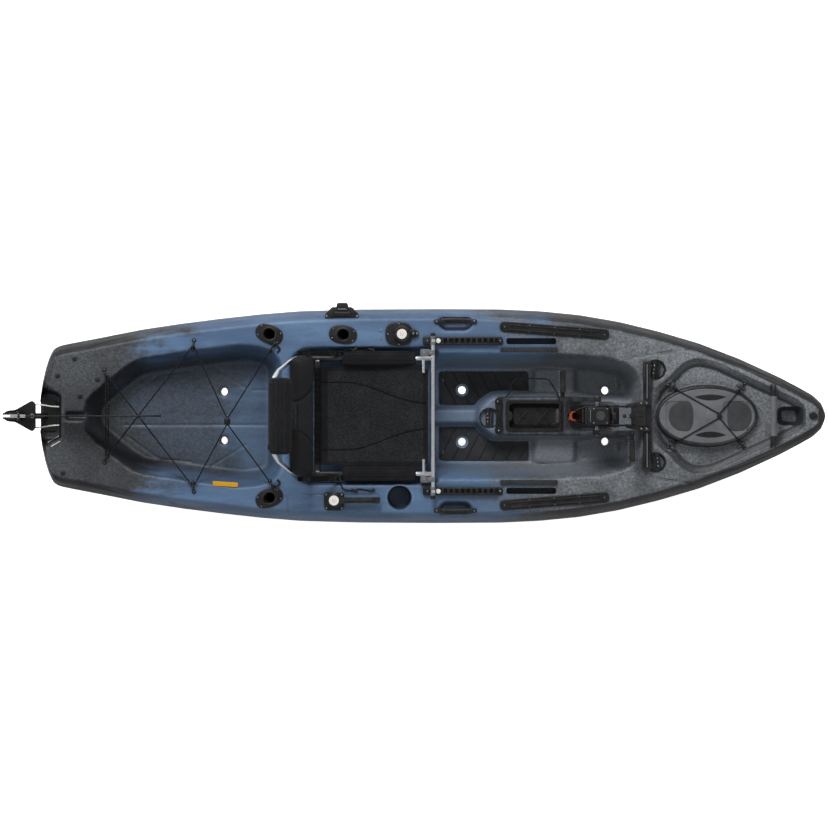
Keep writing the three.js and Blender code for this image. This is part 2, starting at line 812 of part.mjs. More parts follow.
// Side pockets beside the footwells, finger pockets behind the carry handles
const SIDE_POCKET_X = along(0.121);
const SIDE_POCKET_Y = across(0.694);
const SIDE_POCKET_LENGTH = 206;
const SIDE_POCKET_WIDTH = 26;
const SIDE_POCKET_DEPTH = 70;
const SIDE_POCKET_CORNER = 10;
const SIDE_POCKET_DRAFT = 2;
const sidePocket = (side) =>
  pocket({
    outline: shifted(
      rectangle(SIDE_POCKET_LENGTH, SIDE_POCKET_WIDTH),
      SIDE_POCKET_X,
      side * SIDE_POCKET_Y,
    ),
    radius: SIDE_POCKET_CORNER,
    floor: DECK - SIDE_POCKET_DEPTH,
    draft: SIDE_POCKET_DRAFT,
    steps: 1,
  });
const HANDLE_X = along(0.0244);
const HANDLE_LENGTH = 176;
const HANDLE_GRIP_Y_OFFSET = 2;
const HANDLE_GRIP_Y = deckEdgeAt(HANDLE_X) - HANDLE_GRIP_Y_OFFSET;
const HANDLE_GRIP_RADIUS = 9;
const HANDLE_POCKET_LENGTH = 142;
const HANDLE_POCKET_INNER_SHARE = 0.78;
const HANDLE_POCKET_REACH = 40;
const HANDLE_POCKET_DEPTH = 46;
const HANDLE_POCKET_CORNER = 12;
const HANDLE_POCKET_DRAFT = 6;
function handlePocket(side) {
  const inner = HANDLE_GRIP_Y - HANDLE_POCKET_REACH;
  const outer = HANDLE_GRIP_Y + HANDLE_GRIP_RADIUS;
  const half = HANDLE_POCKET_LENGTH / 2;
  const outline = [
    [HANDLE_X - HANDLE_POCKET_INNER_SHARE * half, side * inner],
    [HANDLE_X + HANDLE_POCKET_INNER_SHARE * half, side * inner],
    [HANDLE_X + half, side * outer],
    [HANDLE_X - half, side * outer],
  ];
  return pocket({
    outline,
    radius: HANDLE_POCKET_CORNER,
    floor: DECK - HANDLE_POCKET_DEPTH,
    draft: HANDLE_POCKET_DRAFT,
    steps: 1,
  });
}

// Round tie-down recesses, each with a bar moulded across it
const TIE_DOWN_RADIUS = 38;
const TIE_DOWN_DEPTH = 16;
const TIE_DOWN_BAR_RADIUS = 6;
const TIE_DOWNS = [
  { x: along(0.0685), y: across(-0.018), mouth: CONSOLE_TOP },
  { x: along(0.2796), y: across(0.43), mouth: deckAt(along(0.2796)) },
  { x: along(0.2796), y: across(-0.43), mouth: deckAt(along(0.2796)) },
];
const tieDown = ({ x, y, mouth }) =>
  roundPocket({ x, y, mouth, radius: TIE_DOWN_RADIUS - LIP, floor: mouth - TIE_DOWN_DEPTH });
const tieDownBar = ({ x, y, mouth }) =>
  rod(
    point(x, y - TIE_DOWN_RADIUS, mouth - TIE_DOWN_BAR_RADIUS),
    point(x, y + TIE_DOWN_RADIUS, mouth - TIE_DOWN_BAR_RADIUS),
    TIE_DOWN_BAR_RADIUS,
    8,
  );

// Scuppers: open drains from the floors through the bottom
const SCUPPER_RADIUS = 16.5;
const SCUPPER_SHARES = [
  [-0.2728, 0.229],
  [0.0336, 0.243],
  [0.2182, 0.24],
];
const SCUPPERS = SCUPPER_SHARES.flatMap(([run, out]) =>
  [1, -1].map((side) => ({ x: along(run), y: side * across(out) })),
);
const scupper = ({ x, y }) =>
  rod(point(x, y, -OVERRUN), point(x, y, TANKWELL_FLOOR + OVERRUN), SCUPPER_RADIUS, 12);

// Padeyes: small moulded arches that the elastic cords pass under
const CORD_RADIUS = 2.6;
const PADEYE_WIDTH = 34;
const PADEYE_RISE = 18;
const PADEYE_BAR = 3.2;
const PADEYE_SIDES = 5;
const PADEYE_FOOT = 4;
const PADEYE_BEND = 9;
// Place along, place across, and the way that the cord leaves it, in radians from dead ahead
const STERN_PADEYE_SHARES = [
  [-0.4207, 0.389, -1.24],
  [-0.3093, 0.659, -1.68],
  [-0.209, 0.638, -2.1],
];
// At the bow they stand beside the hatch: distance from its middle, and the same turn
const BOW_PADEYE_TO_HATCH = 3;
const BOW_PADEYE_Y = HATCH_HALF_WIDTH + BOW_PADEYE_TO_HATCH;
const BOW_PADEYE_REACH = 143;
const BOW_PADEYE_TURNS = [
  [-1, -0.553],
  [1, -2.249],
];
const padeyesFrom = (shares, floorAt) =>
  shares.flatMap(([run, out, turn]) =>
    [1, -1].map((side) => ({
      x: along(run),
      y: side * across(out),
      z: floorAt(along(run)),
      turn: side * turn,
    })),
  );
const STERN_PADEYES = padeyesFrom(STERN_PADEYE_SHARES, deckAt);
const BOW_PADEYES = BOW_PADEYE_TURNS.flatMap(([ahead, turn]) =>
  [1, -1].map((side) => {
    const x = HATCH_X + ahead * BOW_PADEYE_REACH;
    return { x, y: side * BOW_PADEYE_Y, z: deckAt(x) - BOW_RECESS_DEPTH, turn: side * turn };
  }),
);
function padeye({ x, y, z, turn }) {
  const half = PADEYE_WIDTH / 2;
  const arch = bentPoints(
    [
      point(0, -half, -PADEYE_FOOT),
      point(0, -half, PADEYE_RISE),
      point(0, half, PADEYE_RISE),
      point(0, half, -PADEYE_FOOT),
    ],
    PADEYE_BEND,
    1,
  );
  return sweep(arch, PADEYE_BAR, PADEYE_SIDES).rotateZ(turn).translate(x, y, z);
}

// Rod holders: flush tubes let into the deck
const ROD_TUBE_RADIUS = 27;
const ROD_BORE_RADIUS = 22.5;
const ROD_TUBE_FOOT_CLEARANCE = 24;
const ROD_TUBE_LENGTH = 170;
const ROD_TUBE_LEAN = radians(25);
const ROD_PLATE_LENGTH = 110;
const ROD_PLATE_WIDTH = 76;
const ROD_PLATE_THICKNESS = 7;
const ROD_HOLDERS = [
  { name: "port_aft_rod_holder", x: along(-0.2127), y: across(0.76), turn: radians(-22) },
  { name: "starboard_aft_rod_holder", x: along(-0.2127), y: across(-0.76), turn: radians(22) },
  { name: "port_fwd_rod_holder", x: along(-0.1188), y: across(0.755), turn: radians(-8) },
];
// A round bar along the leaning tube's axis, from a height above the deck to a depth along the tube
function rodTubeBar(radius, above, depth) {
  const axis = point(-Math.sin(ROD_TUBE_LEAN), 0, Math.cos(ROD_TUBE_LEAN));
  return rod(axis.clone().multiplyScalar(above), axis.clone().multiplyScalar(-depth), radius, 16);
}
const rodHolderHole = ({ x, y, turn }) =>
  rodTubeBar(ROD_TUBE_RADIUS + GAP, OVERRUN, ROD_TUBE_LENGTH + ROD_TUBE_FOOT_CLEARANCE)
    .rotateZ(turn)
    .translate(x, y, deckAt(x));

// Drain plug at the bow
const DRAIN_X = along(0.4784);
const DRAIN_HOLE_RADIUS = 9;
const DRAIN_CAP_RADIUS = 15.5;
const DRAIN_CAP_HEIGHT = 8;

// Open well below the hatch. The hull's closed inside around it is left solid.
const HATCH_WELL_FLOOR = 100;
const HATCH_WELL_DRAFT = 4;
const hatchWell = () =>
  solid(
    loft([
      levelRing(hatchEllipse(-COAMING_LEDGE - HATCH_WELL_DRAFT), HATCH_WELL_FLOOR),
      levelRing(hatchEllipse(-COAMING_LEDGE), HATCH_PLANE + OVERRUN),
    ]),
  );

// Flat seat for the cross rail ahead of the footwells
const RAIL_LENGTH = 450;
const RAIL_WIDTH = 32;
const RAIL_HEIGHT = 22;
const RAIL_SEAT_OFFSET = 3;
const RAIL_SEAT = deckAt(RAIL_X - RAIL_WIDTH) - RAIL_SEAT_OFFSET;
const railSeat = () =>
  slab(
    shifted(rectangle(RAIL_WIDTH + OVERRUN / 2, RAIL_LENGTH + OVERRUN / 2), RAIL_X, 0),
    RAIL_SEAT,
    OVERRUN,
  );

function hullShell() {
  const recessFloor = deckAt(HATCH_X - HATCH_HALF_LENGTH) - BOW_RECESS_DEPTH;
  const coaming = slab(
    hatchEllipse(COAMING_FLANGE),
    recessFloor - COAMING_ROOT,
    HATCH_PLANE - recessFloor + COAMING_ROOT,
    2,
  );
  const drainHole = rod(
    point(DRAIN_X, 0, deckAt(DRAIN_X) - OVERRUN),
    point(DRAIN_X, 0, deckAt(DRAIN_X) + OVERRUN),
    DRAIN_HOLE_RADIUS,
    12,
  );
  const moulded = cut(
    hullForm(),
    tankwell(),
    seatWell(),
    footwells(),
    driveRecess(),
    driveSlot(),
    trayPocket(),
    bowRecess(),
    bowPocket(),
    sternNotch(),
    bladeGroove(),
    cupHolder(),
    ...[1, -1].flatMap((side) => [sidePocket(side), handlePocket(side)]),
    ...TIE_DOWNS.map(tieDown),
    ...SCUPPERS.map(scupper),
  );
  return cut(
    joined(
      moulded,
      coaming,
      ...TIE_DOWNS.map(tieDownBar),
      ...STERN_PADEYES.map(padeye),
      ...BOW_PADEYES.map(padeye),
    ),
    hatchWell(),
    drainHole,
    railSeat(),
    ...ROD_HOLDERS.map(rodHolderHole),
  );
}

piece(kayak, "hull_shell", hullShell(), FINISHES.hullPlastic);

// Helpers for small details
const screwPit = (x, y, top, radius, depth) =>
  rod(point(x, y, top - depth), point(x, y, top + OVERRUN), radius, 8);
const upright = (x, y, from, to, radius, sides) => rod(point(x, y, from), point(x, y, to), radius, sides);
const crosswise = (x, z, fromY, toY, radius, sides) =>
  rod(point(x, fromY, z), point(x, toY, z), radius, sides);
const lengthwise = (y, z, fromX, toX, radius, sides) =>
  rod(point(fromX, y, z), point(toX, y, z), radius, sides);
// A box that stands between two corners
const block = (low, high) =>
  new THREE.BoxGeometry(high.x - low.x, high.y - low.y, high.z - low.z).translate(
    (low.x + high.x) / 2,
    (low.y + high.y) / 2,
    (low.z + high.z) / 2,
  );
const SCREW_PIT_RADIUS = 4.5;
const SCREW_PIT_DEPTH = 2;
const SIDES = [
  ["port", 1],
  ["starboard", -1],
];

// Gear tracks on the gunwales: a slotted channel with rounded ends
const TRACK_AFT_X = along(0.0833);
const TRACK_FORE_X = along(0.2179);
const TRACK_AFT_Y = across(0.831);
const TRACK_FORE_Y = across(0.753);
const TRACK_WIDTH = 41;
const TRACK_HEIGHT = 12;
const TRACK_SLOT_WIDTH = 11;
const TRACK_SLOT_DEPTH = 8;
const TRACK_CHAMFER = 3;
const TRACK_SLOT_END = 30;
const TRACK_SCREW_SHARES = [-0.24, 0.005, 0.26];
function gearTrack() {
  const length = Math.hypot(TRACK_FORE_X - TRACK_AFT_X, TRACK_AFT_Y - TRACK_FORE_Y);
  const top = DECK + GAP + TRACK_HEIGHT;
  const body = slab(
    rounded(rectangle(length, TRACK_WIDTH), TRACK_WIDTH / 2),
    DECK + GAP,
    TRACK_HEIGHT,
    TRACK_CHAMFER,
  );
  const slot = slab(
    rounded(rectangle(length - 2 * TRACK_SLOT_END, TRACK_SLOT_WIDTH), TRACK_SLOT_WIDTH / 2, 2),
    top - TRACK_SLOT_DEPTH,
    TRACK_SLOT_DEPTH + OVERRUN,
  );
  const pits = TRACK_SCREW_SHARES.flatMap((share) =>
    [1, -1].map((side) =>
      screwPit(
        share * length,
        side * (TRACK_SLOT_WIDTH + TRACK_WIDTH) / 4,
        top,
        SCREW_PIT_RADIUS / 2 + 1,
        SCREW_PIT_DEPTH,
      ),
    ),
  );
  return cut(body, slot, ...pits);
}
SIDES.forEach(([name, side]) => {
  const turn = side * Math.atan2(TRACK_FORE_Y - TRACK_AFT_Y, TRACK_FORE_X - TRACK_AFT_X);
  const place = group(
    kayak,
    (TRACK_AFT_X + TRACK_FORE_X) / 2,
    (side * (TRACK_AFT_Y + TRACK_FORE_Y)) / 2,
    0,
    turn,
  );
  piece(place, `${name}_gear_track`, gearTrack(), FINISHES.blackPlastic);
});

// Notched rails that the front of the seat locks into
const NOTCH_RAIL_Y = across(0.697);
const NOTCH_RAIL_WIDTH = 32;
const NOTCH_RAIL_AFT_X = along(-0.017);
const NOTCH_PITCH = 23.6;
const NOTCH_COUNT = 12;
const NOTCH_WIDTH = 12;
const NOTCH_RAIL_BASE = 12;
const NOTCH_TOOTH_HEIGHT = 11;
const NOTCH_RAIL_END = 44;
const NOTCH_RAIL_TOP = DECK + GAP + NOTCH_RAIL_BASE + NOTCH_TOOTH_HEIGHT;
function notchRail(side) {
  const foot = DECK + GAP;
  const base = foot + NOTCH_RAIL_BASE;
  const teeth = Array.from({ length: NOTCH_COUNT }, (_, step) => {
    const start = NOTCH_RAIL_AFT_X + NOTCH_RAIL_END + step * NOTCH_PITCH;
    return [
      [start, NOTCH_RAIL_TOP],
      [start + NOTCH_WIDTH / 4, base],
      [start + (3 * NOTCH_WIDTH) / 4, base],
      [start + NOTCH_WIDTH, NOTCH_RAIL_TOP],
    ];
  }).flat();
  const fore = teeth.at(-1)[0] + NOTCH_WIDTH;
  const outline = [
    [NOTCH_RAIL_AFT_X, foot],
    [NOTCH_RAIL_AFT_X, NOTCH_RAIL_TOP - NOTCH_TOOTH_HEIGHT / 2],
    [NOTCH_RAIL_AFT_X + NOTCH_TOOTH_HEIGHT / 2, NOTCH_RAIL_TOP],
    ...teeth,
    [fore, NOTCH_RAIL_TOP],
    [fore, foot],
  ];
  const middle = side * NOTCH_RAIL_Y;
  return sidePlate(outline, middle - NOTCH_RAIL_WIDTH / 2, middle + NOTCH_RAIL_WIDTH / 2);
}
SIDES.forEach(([name, side]) =>
  piece(kayak, `${name}_notch_rail`, notchRail(side), FINISHES.blackPlastic),
);

// Cross rail ahead of the footwells
const RAIL_SLOT_WIDTH = 9;
const RAIL_SLOT_DEPTH = 6;
const RAIL_CHAMFER = 4;
function crossRail() {
  const foot = RAIL_SEAT + GAP;
  const body = slab(
    shifted(rounded(rectangle(RAIL_WIDTH, RAIL_LENGTH), RAIL_WIDTH / 3), RAIL_X, 0),
    foot,
    RAIL_HEIGHT,
    RAIL_CHAMFER,
  );
  const slot = slab(
    shifted(rectangle(RAIL_SLOT_WIDTH, RAIL_LENGTH + OVERRUN), RAIL_X, 0),
    foot + RAIL_HEIGHT - RAIL_SLOT_DEPTH,
    OVERRUN,
  );
  return cut(body, slot);
}
piece(kayak, "front_cross_rail", crossRail(), FINISHES.blackAluminium);

// Foot mats on the floor, cut to the console's foot and round the scuppers
const MAT_THICKNESS = 4;
const MAT_CLEARANCE = 12;
const MAT_CORNER = 24;
const MAT_EDGE_GAP = 2;
const MAT_WALL_CLEARANCE = 19;
const MAT_OUTER_Y = FOOTWELL_HALF_WIDTH - FOOTWELL_DRAFT - MAT_WALL_CLEARANCE;
const MAT_INNER_Y = across(0.092);
const MAT_WAIST_Y = across(0.237);
const MAT_AFT_X = along(0.0035);
const MAT_WAIST_START_X = along(0.0525);
const MAT_WAIST_END_X = along(0.0715);
const MAT_FORE_X = along(0.1194);
function footMat(side) {
  const outline = [
    [MAT_AFT_X, MAT_OUTER_Y],
    [MAT_AFT_X, MAT_INNER_Y],
    [MAT_WAIST_START_X, MAT_INNER_Y],
    [MAT_WAIST_END_X, MAT_WAIST_Y],
    [MAT_FORE_X, MAT_WAIST_Y],
    [MAT_FORE_X, MAT_OUTER_Y],
  ].map(([x, y]) => [x, side * y]);
  const drains = SCUPPERS.map(({ x, y }) =>
    upright(x, y, 0, FOOTWELL_FLOOR + OVERRUN, SCUPPER_RADIUS + MAT_CLEARANCE, 14),
  );
  return cut(
    slab(rounded(outline, MAT_CORNER, 2), FOOTWELL_FLOOR + GAP, MAT_THICKNESS, 1),
    ...drains,
    ...footwellMounds(-MAT_EDGE_GAP),
  );
}
SIDES.forEach(([name, side]) => piece(kayak, `${name}_foot_mat`, footMat(side), FINISHES.foam));

// Foam knee bars along the footwells
const KNEE_BAR_LENGTH = 236;
const KNEE_BAR_WIDTH = 19;
const KNEE_BAR_HEIGHT = 14;
const KNEE_BAR_X = along(0.118);
const KNEE_BAR_Y = across(0.614);
SIDES.forEach(([name, side]) => {
  const outline = rounded(rectangle(KNEE_BAR_LENGTH, KNEE_BAR_WIDTH), KNEE_BAR_WIDTH / 2, 2);
  const bar = slab(
    shifted(outline, KNEE_BAR_X, side * KNEE_BAR_Y),
    DECK + GAP,
    KNEE_BAR_HEIGHT,
    KNEE_BAR_WIDTH / 5,
  );
  piece(kayak, `${name}_side_pad`, bar, FINISHES.foam);
});

// Rod holders: a flange on the deck and a leaning tube under it, closed at the foot
const ROD_PLATE_CORNER = 24;
const ROD_FLOOR = 5;
const ROD_SCREW_SHARE = 0.39;
function rodHolder() {
  const plate = slab(
    rounded(rectangle(ROD_PLATE_LENGTH, ROD_PLATE_WIDTH), ROD_PLATE_CORNER),
    GAP,
    ROD_PLATE_THICKNESS,
    2,
  );
  const bore = rodTubeBar(ROD_BORE_RADIUS, OVERRUN, ROD_TUBE_LENGTH - ROD_FLOOR);
  const sleeve = cut(
    rodTubeBar(ROD_TUBE_RADIUS, OVERRUN, ROD_TUBE_LENGTH),
    slab(rectangle(2 * ROD_TUBE_LENGTH, ROD_TUBE_LENGTH), ROD_PLATE_THICKNESS, 2 * OVERRUN),
  );
  const pits = [1, -1].flatMap((fore) =>
    [1, -1].map((side) =>
      screwPit(
        fore * ROD_SCREW_SHARE * ROD_PLATE_LENGTH,
        side * ROD_SCREW_SHARE * ROD_PLATE_WIDTH * 0.8,
        GAP + ROD_PLATE_THICKNESS,
        SCREW_PIT_RADIUS,
        SCREW_PIT_DEPTH,
      ),
    ),
  );
  return cut(joined(plate, sleeve), bore, ...pits);
}
ROD_HOLDERS.forEach(({ name, x, y, turn }) =>
  piece(group(kayak, x, y, deckAt(x), turn), name, rodHolder(), FINISHES.blackPlastic),
);

// Paddle clip on the port flank, cut to the hull's side
const CLIP_X = along(-0.1203);
const CLIP_HALF_LENGTH = 71;
const CLIP_NARROW_HALF_LENGTH = 42;
const CLIP_KNOB_HALF_LENGTH = 24.5;
const CLIP_INNER_Y = across(0.91);
const CLIP_SHELF_Y = across(1.0157);
const CLIP_KNOB_Y = across(1.0517);
const CLIP_SHELF_Z = 284;
const CLIP_SHELF_THICKNESS = 9;
const CLIP_KNOB_HEIGHT = 30;
const CLIP_STRIP_WIDTH = 20;
function paddleClip() {
  const shelf = [
    [CLIP_X - CLIP_HALF_LENGTH, CLIP_INNER_Y],
    [CLIP_X + CLIP_HALF_LENGTH, CLIP_INNER_Y],
    [CLIP_X + CLIP_NARROW_HALF_LENGTH, CLIP_SHELF_Y],
    [CLIP_X - CLIP_NARROW_HALF_LENGTH, CLIP_SHELF_Y],
  ];
  const knob = [
    [CLIP_X - CLIP_KNOB_HALF_LENGTH, CLIP_SHELF_Y - CLIP_STRIP_WIDTH / 2],
    [CLIP_X + CLIP_KNOB_HALF_LENGTH, CLIP_SHELF_Y - CLIP_STRIP_WIDTH / 2],
    [CLIP_X + CLIP_KNOB_HALF_LENGTH, CLIP_KNOB_Y],
    [CLIP_X - CLIP_KNOB_HALF_LENGTH, CLIP_KNOB_Y],
  ];
  const strip = block(
    point(CLIP_X - CLIP_HALF_LENGTH, CLIP_INNER_Y - CLIP_STRIP_WIDTH / 2, CLIP_SHELF_Z),
    point(CLIP_X + CLIP_HALF_LENGTH, CLIP_INNER_Y + CLIP_STRIP_WIDTH, DECK),
  );
  return cut(
    joined(
      slab(shelf, CLIP_SHELF_Z, CLIP_SHELF_THICKNESS, 2),
      slab(rounded(knob, CLIP_KNOB_HALF_LENGTH / 2, 2), CLIP_SHELF_Z, CLIP_KNOB_HEIGHT, 4),
      strip,
    ),
    hullForm(GAP),
  );
}
piece(kayak, "paddle_clip", paddleClip(), FINISHES.blackPlastic);

// Steering lever on its base, starboard
const STEER_X = along(-0.1302);
const STEER_Y = across(-0.782);
const STEER_BASE_LENGTH = 84;
const STEER_BASE_WIDTH = 78;
const STEER_BASE_OFFSET_Y = across(-0.01);
const STEER_BASE_HEIGHT = 20;
const STEER_HUB_RADIUS = 25;
const STEER_HUB_HEIGHT = 18;
const STEER_ARM_REACH = 187;
const STEER_ARM_WIDTH = 20;
const STEER_ARM_TIP_WIDTH = 16;
const STEER_ARM_THICKNESS = 11;
const STEER_CAP_RADIUS = 21;
const STEER_CAP_HEIGHT = 4;
const STEER_BASE_TOP = DECK + GAP + STEER_BASE_HEIGHT;
const STEER_HUB_FOOT = STEER_BASE_TOP + RUNNING_GAP;
const STEER_HUB_TOP = STEER_HUB_FOOT + STEER_HUB_HEIGHT;
function steeringBase() {
  const outline = rounded(rectangle(STEER_BASE_LENGTH, STEER_BASE_WIDTH), STEER_BASE_WIDTH / 4, 2);
  const pits = [1, -1].flatMap((fore) =>
    [1, -1].map((side) =>
      screwPit(
        STEER_X + fore * 0.39 * STEER_BASE_LENGTH,
        STEER_Y + STEER_BASE_OFFSET_Y + side * 0.39 * STEER_BASE_WIDTH,
        STEER_BASE_TOP,
        SCREW_PIT_RADIUS,
        SCREW_PIT_DEPTH,
      ),
    ),
  );
  const body = slab(
    shifted(outline, STEER_X, STEER_Y + STEER_BASE_OFFSET_Y),
    DECK + GAP,
    STEER_BASE_HEIGHT,
    4,
  );
  return cut(body, ...pits);
}
piece(kayak, "steering_base", steeringBase(), FINISHES.blackPlastic);
function steeringLever() {
  const arm = [
    [0, STEER_ARM_WIDTH / 2],
    [0, -STEER_ARM_WIDTH / 2],
    [STEER_ARM_REACH, -STEER_ARM_TIP_WIDTH / 2],
    [STEER_ARM_REACH, STEER_ARM_TIP_WIDTH / 2],
  ];
  return joined(
    turned(discProfile(STEER_HUB_RADIUS, STEER_HUB_FOOT, STEER_HUB_TOP, 2), 20),
    slab(rounded(arm, STEER_ARM_TIP_WIDTH / 2, 2), STEER_HUB_FOOT, STEER_ARM_THICKNESS, 2),
  ).translate([STEER_X, STEER_Y, 0]);
}
piece(kayak, "steering_lever", steeringLever(), FINISHES.blackPlastic);
piece(
  kayak,
  "steering_lever_cap",
  turned(
    discProfile(STEER_CAP_RADIUS, STEER_HUB_TOP + GAP, STEER_HUB_TOP + GAP + STEER_CAP_HEIGHT, 1),
    20,
  ).translate(STEER_X, STEER_Y, 0),
  FINISHES.paleCap,
);

// Rudder lift dial on its base, port
const LIFT_X = along(-0.0438);
const LIFT_Y = across(0.76);
const LIFT_BASE_LENGTH = 130;
const LIFT_BASE_WIDTH = 98;
const LIFT_BASE_OFFSET_X = along(-0.001);
const LIFT_BASE_HEIGHT = 10;
const LIFT_DIAL_RADIUS = 35;
const LIFT_DIAL_HEIGHT = 16;
const LIFT_GRIP_WIDTH = 14;
const LIFT_GRIP_HEIGHT = 9;
const LIFT_CAP_RADIUS = 20;
const LIFT_CAP_HEIGHT = 3;
const LIFT_CLAMP_LENGTH = 34;
const LIFT_CLAMP_WIDTH = 32;
const LIFT_CLAMP_HEIGHT = 22;
const LIFT_BASE_TOP = DECK + GAP + LIFT_BASE_HEIGHT;
const LIFT_DIAL_FOOT = LIFT_BASE_TOP + RUNNING_GAP;
const LIFT_DIAL_TOP = LIFT_DIAL_FOOT + LIFT_DIAL_HEIGHT;
function liftBase() {
  const outline = rounded(rectangle(LIFT_BASE_LENGTH, LIFT_BASE_WIDTH), 0.36 * LIFT_BASE_WIDTH);
  const clampFoot = LIFT_BASE_TOP - 1;
  const clampStart = LIFT_X + LIFT_DIAL_RADIUS + 3 * RUNNING_GAP;
  return joined(
    slab(shifted(outline, LIFT_X + LIFT_BASE_OFFSET_X, LIFT_Y), DECK + GAP, LIFT_BASE_HEIGHT, 3),
    block(
      point(clampStart, LIFT_Y - LIFT_CLAMP_WIDTH / 2, clampFoot),
      point(clampStart + LIFT_CLAMP_LENGTH, LIFT_Y + LIFT_CLAMP_WIDTH / 2, clampFoot + LIFT_CLAMP_HEIGHT),
    ),
  );
}
piece(kayak, "lift_base", liftBase(), FINISHES.blackPlastic);
function liftDial() {
  const grip = rounded(rectangle(2 * LIFT_DIAL_RADIUS - LIFT_GRIP_WIDTH / 2, LIFT_GRIP_WIDTH), 5, 2);
  const recess = turned(
    discProfile(LIFT_CAP_RADIUS + GAP, LIFT_DIAL_TOP, LIFT_DIAL_TOP + 2 * LIFT_GRIP_HEIGHT),
    20,
  );
  return cut(
    joined(
      turned(discProfile(LIFT_DIAL_RADIUS, LIFT_DIAL_FOOT, LIFT_DIAL_TOP, 3)),
      slab(grip, LIFT_DIAL_TOP - 1, LIFT_GRIP_HEIGHT + 1, 2),
    ),
    recess,
  ).translate([LIFT_X, LIFT_Y, 0]);
}
piece(kayak, "lift_dial", liftDial(), FINISHES.blackPlastic);
piece(
  kayak,
  "lift_dial_cap",
  turned(
    discProfile(LIFT_CAP_RADIUS, LIFT_DIAL_TOP + GAP, LIFT_DIAL_TOP + GAP + LIFT_CAP_HEIGHT, 1),
    20,
  ).translate(LIFT_X, LIFT_Y, 0),
  FINISHES.paleCap,
);

// Ribbed tray let into the console
const TRAY_RIB_WIDTH = 4;
const TRAY_RIB_HEIGHT = 5;
const TRAY_CORNER = 14;
function wellTray() {
  const length = TRAY_FORE_X - TRAY_AFT_X;
  const top = CONSOLE_TOP + GAP;
  const inner = rectangle(length - 2 * TRAY_FLANGE, 2 * (TRAY_HALF_WIDTH - TRAY_FLANGE));
  const floor = CONSOLE_TOP - TRAY_DEPTH + FLOOR_FILLET / 2;
  const bowl = (offset, foot) =>
    loft([
      levelRing(rounded(grown(inner, -TRAY_DRAFT - FLOOR_FILLET - offset), TRAY_CORNER, 2), foot),
      levelRing(rounded(grown(inner, -offset), TRAY_CORNER, 2), top - LIP),
      levelRing(rounded(grown(inner, -offset), TRAY_CORNER, 2), top + TRAY_WALL + (offset > TRAY_WALL ? OVERRUN : 0)),
    ]);
  const flange = slab(
    rounded(rectangle(length, 2 * TRAY_HALF_WIDTH), TRAY_CORNER, 2),
    top,
    TRAY_WALL,
    1,
  );
  const ribReach = 0.8 * (TRAY_HALF_WIDTH - TRAY_FLANGE - TRAY_DRAFT);
  const ribs = [-1, 1].flatMap((half) =>
    [-1, 1].map((lean) =>
      slab(rectangle(2.9 * ribReach, TRAY_RIB_WIDTH), 0, TRAY_RIB_HEIGHT)
        .rotateZ(lean * radians(54))
        .translate((half * length) / 5.6, 0, floor + TRAY_WALL - 1),
    ),
  );
  const insideOnly = bowl(3 * GAP + TRAY_WALL / 2, floor);
  return joined(
    cut(joined(flange, bowl(3 * GAP, floor)), bowl(3 * GAP + TRAY_WALL, floor + TRAY_WALL)),
    ...ribs.map((rib) => shared(rib, insideOnly)),
  ).translate([(TRAY_FORE_X + TRAY_AFT_X) / 2, 0, 0]);
}
piece(kayak, "well_tray", wellTray(), FINISHES.blackPlastic);

// Dock behind the tray that holds the drive when it is stowed
const DOCK_X = along(0.0805);
const DOCK_LENGTH = 34;
const DOCK_WIDTH = 112;
const DOCK_HEIGHT = 16;
const DOCK_LOBE_RADIUS = 18;
const DOCK_SLOT_WIDTH = 14;
function driveDock() {
  const foot = CONSOLE_TOP + GAP;
  const half = DOCK_WIDTH / 2;
  const lobes = [half, -half].map((y) =>
    turned(discProfile(DOCK_LOBE_RADIUS, foot, foot + DOCK_HEIGHT, 3), 16).translate(0, y, 0),
  );
  const slot = slab(rectangle(2 * DOCK_LENGTH, DOCK_SLOT_WIDTH), foot + DOCK_HEIGHT / 2, DOCK_HEIGHT);
  const bridge = slab(rounded(rectangle(DOCK_LENGTH, DOCK_WIDTH), 6, 2), foot, DOCK_HEIGHT - 2, 2);
  return cut(joined(bridge, ...lobes), slot).translate([DOCK_X, 0, 0]);
}
piece(kayak, "drive_dock", driveDock(), FINISHES.blackPlastic);

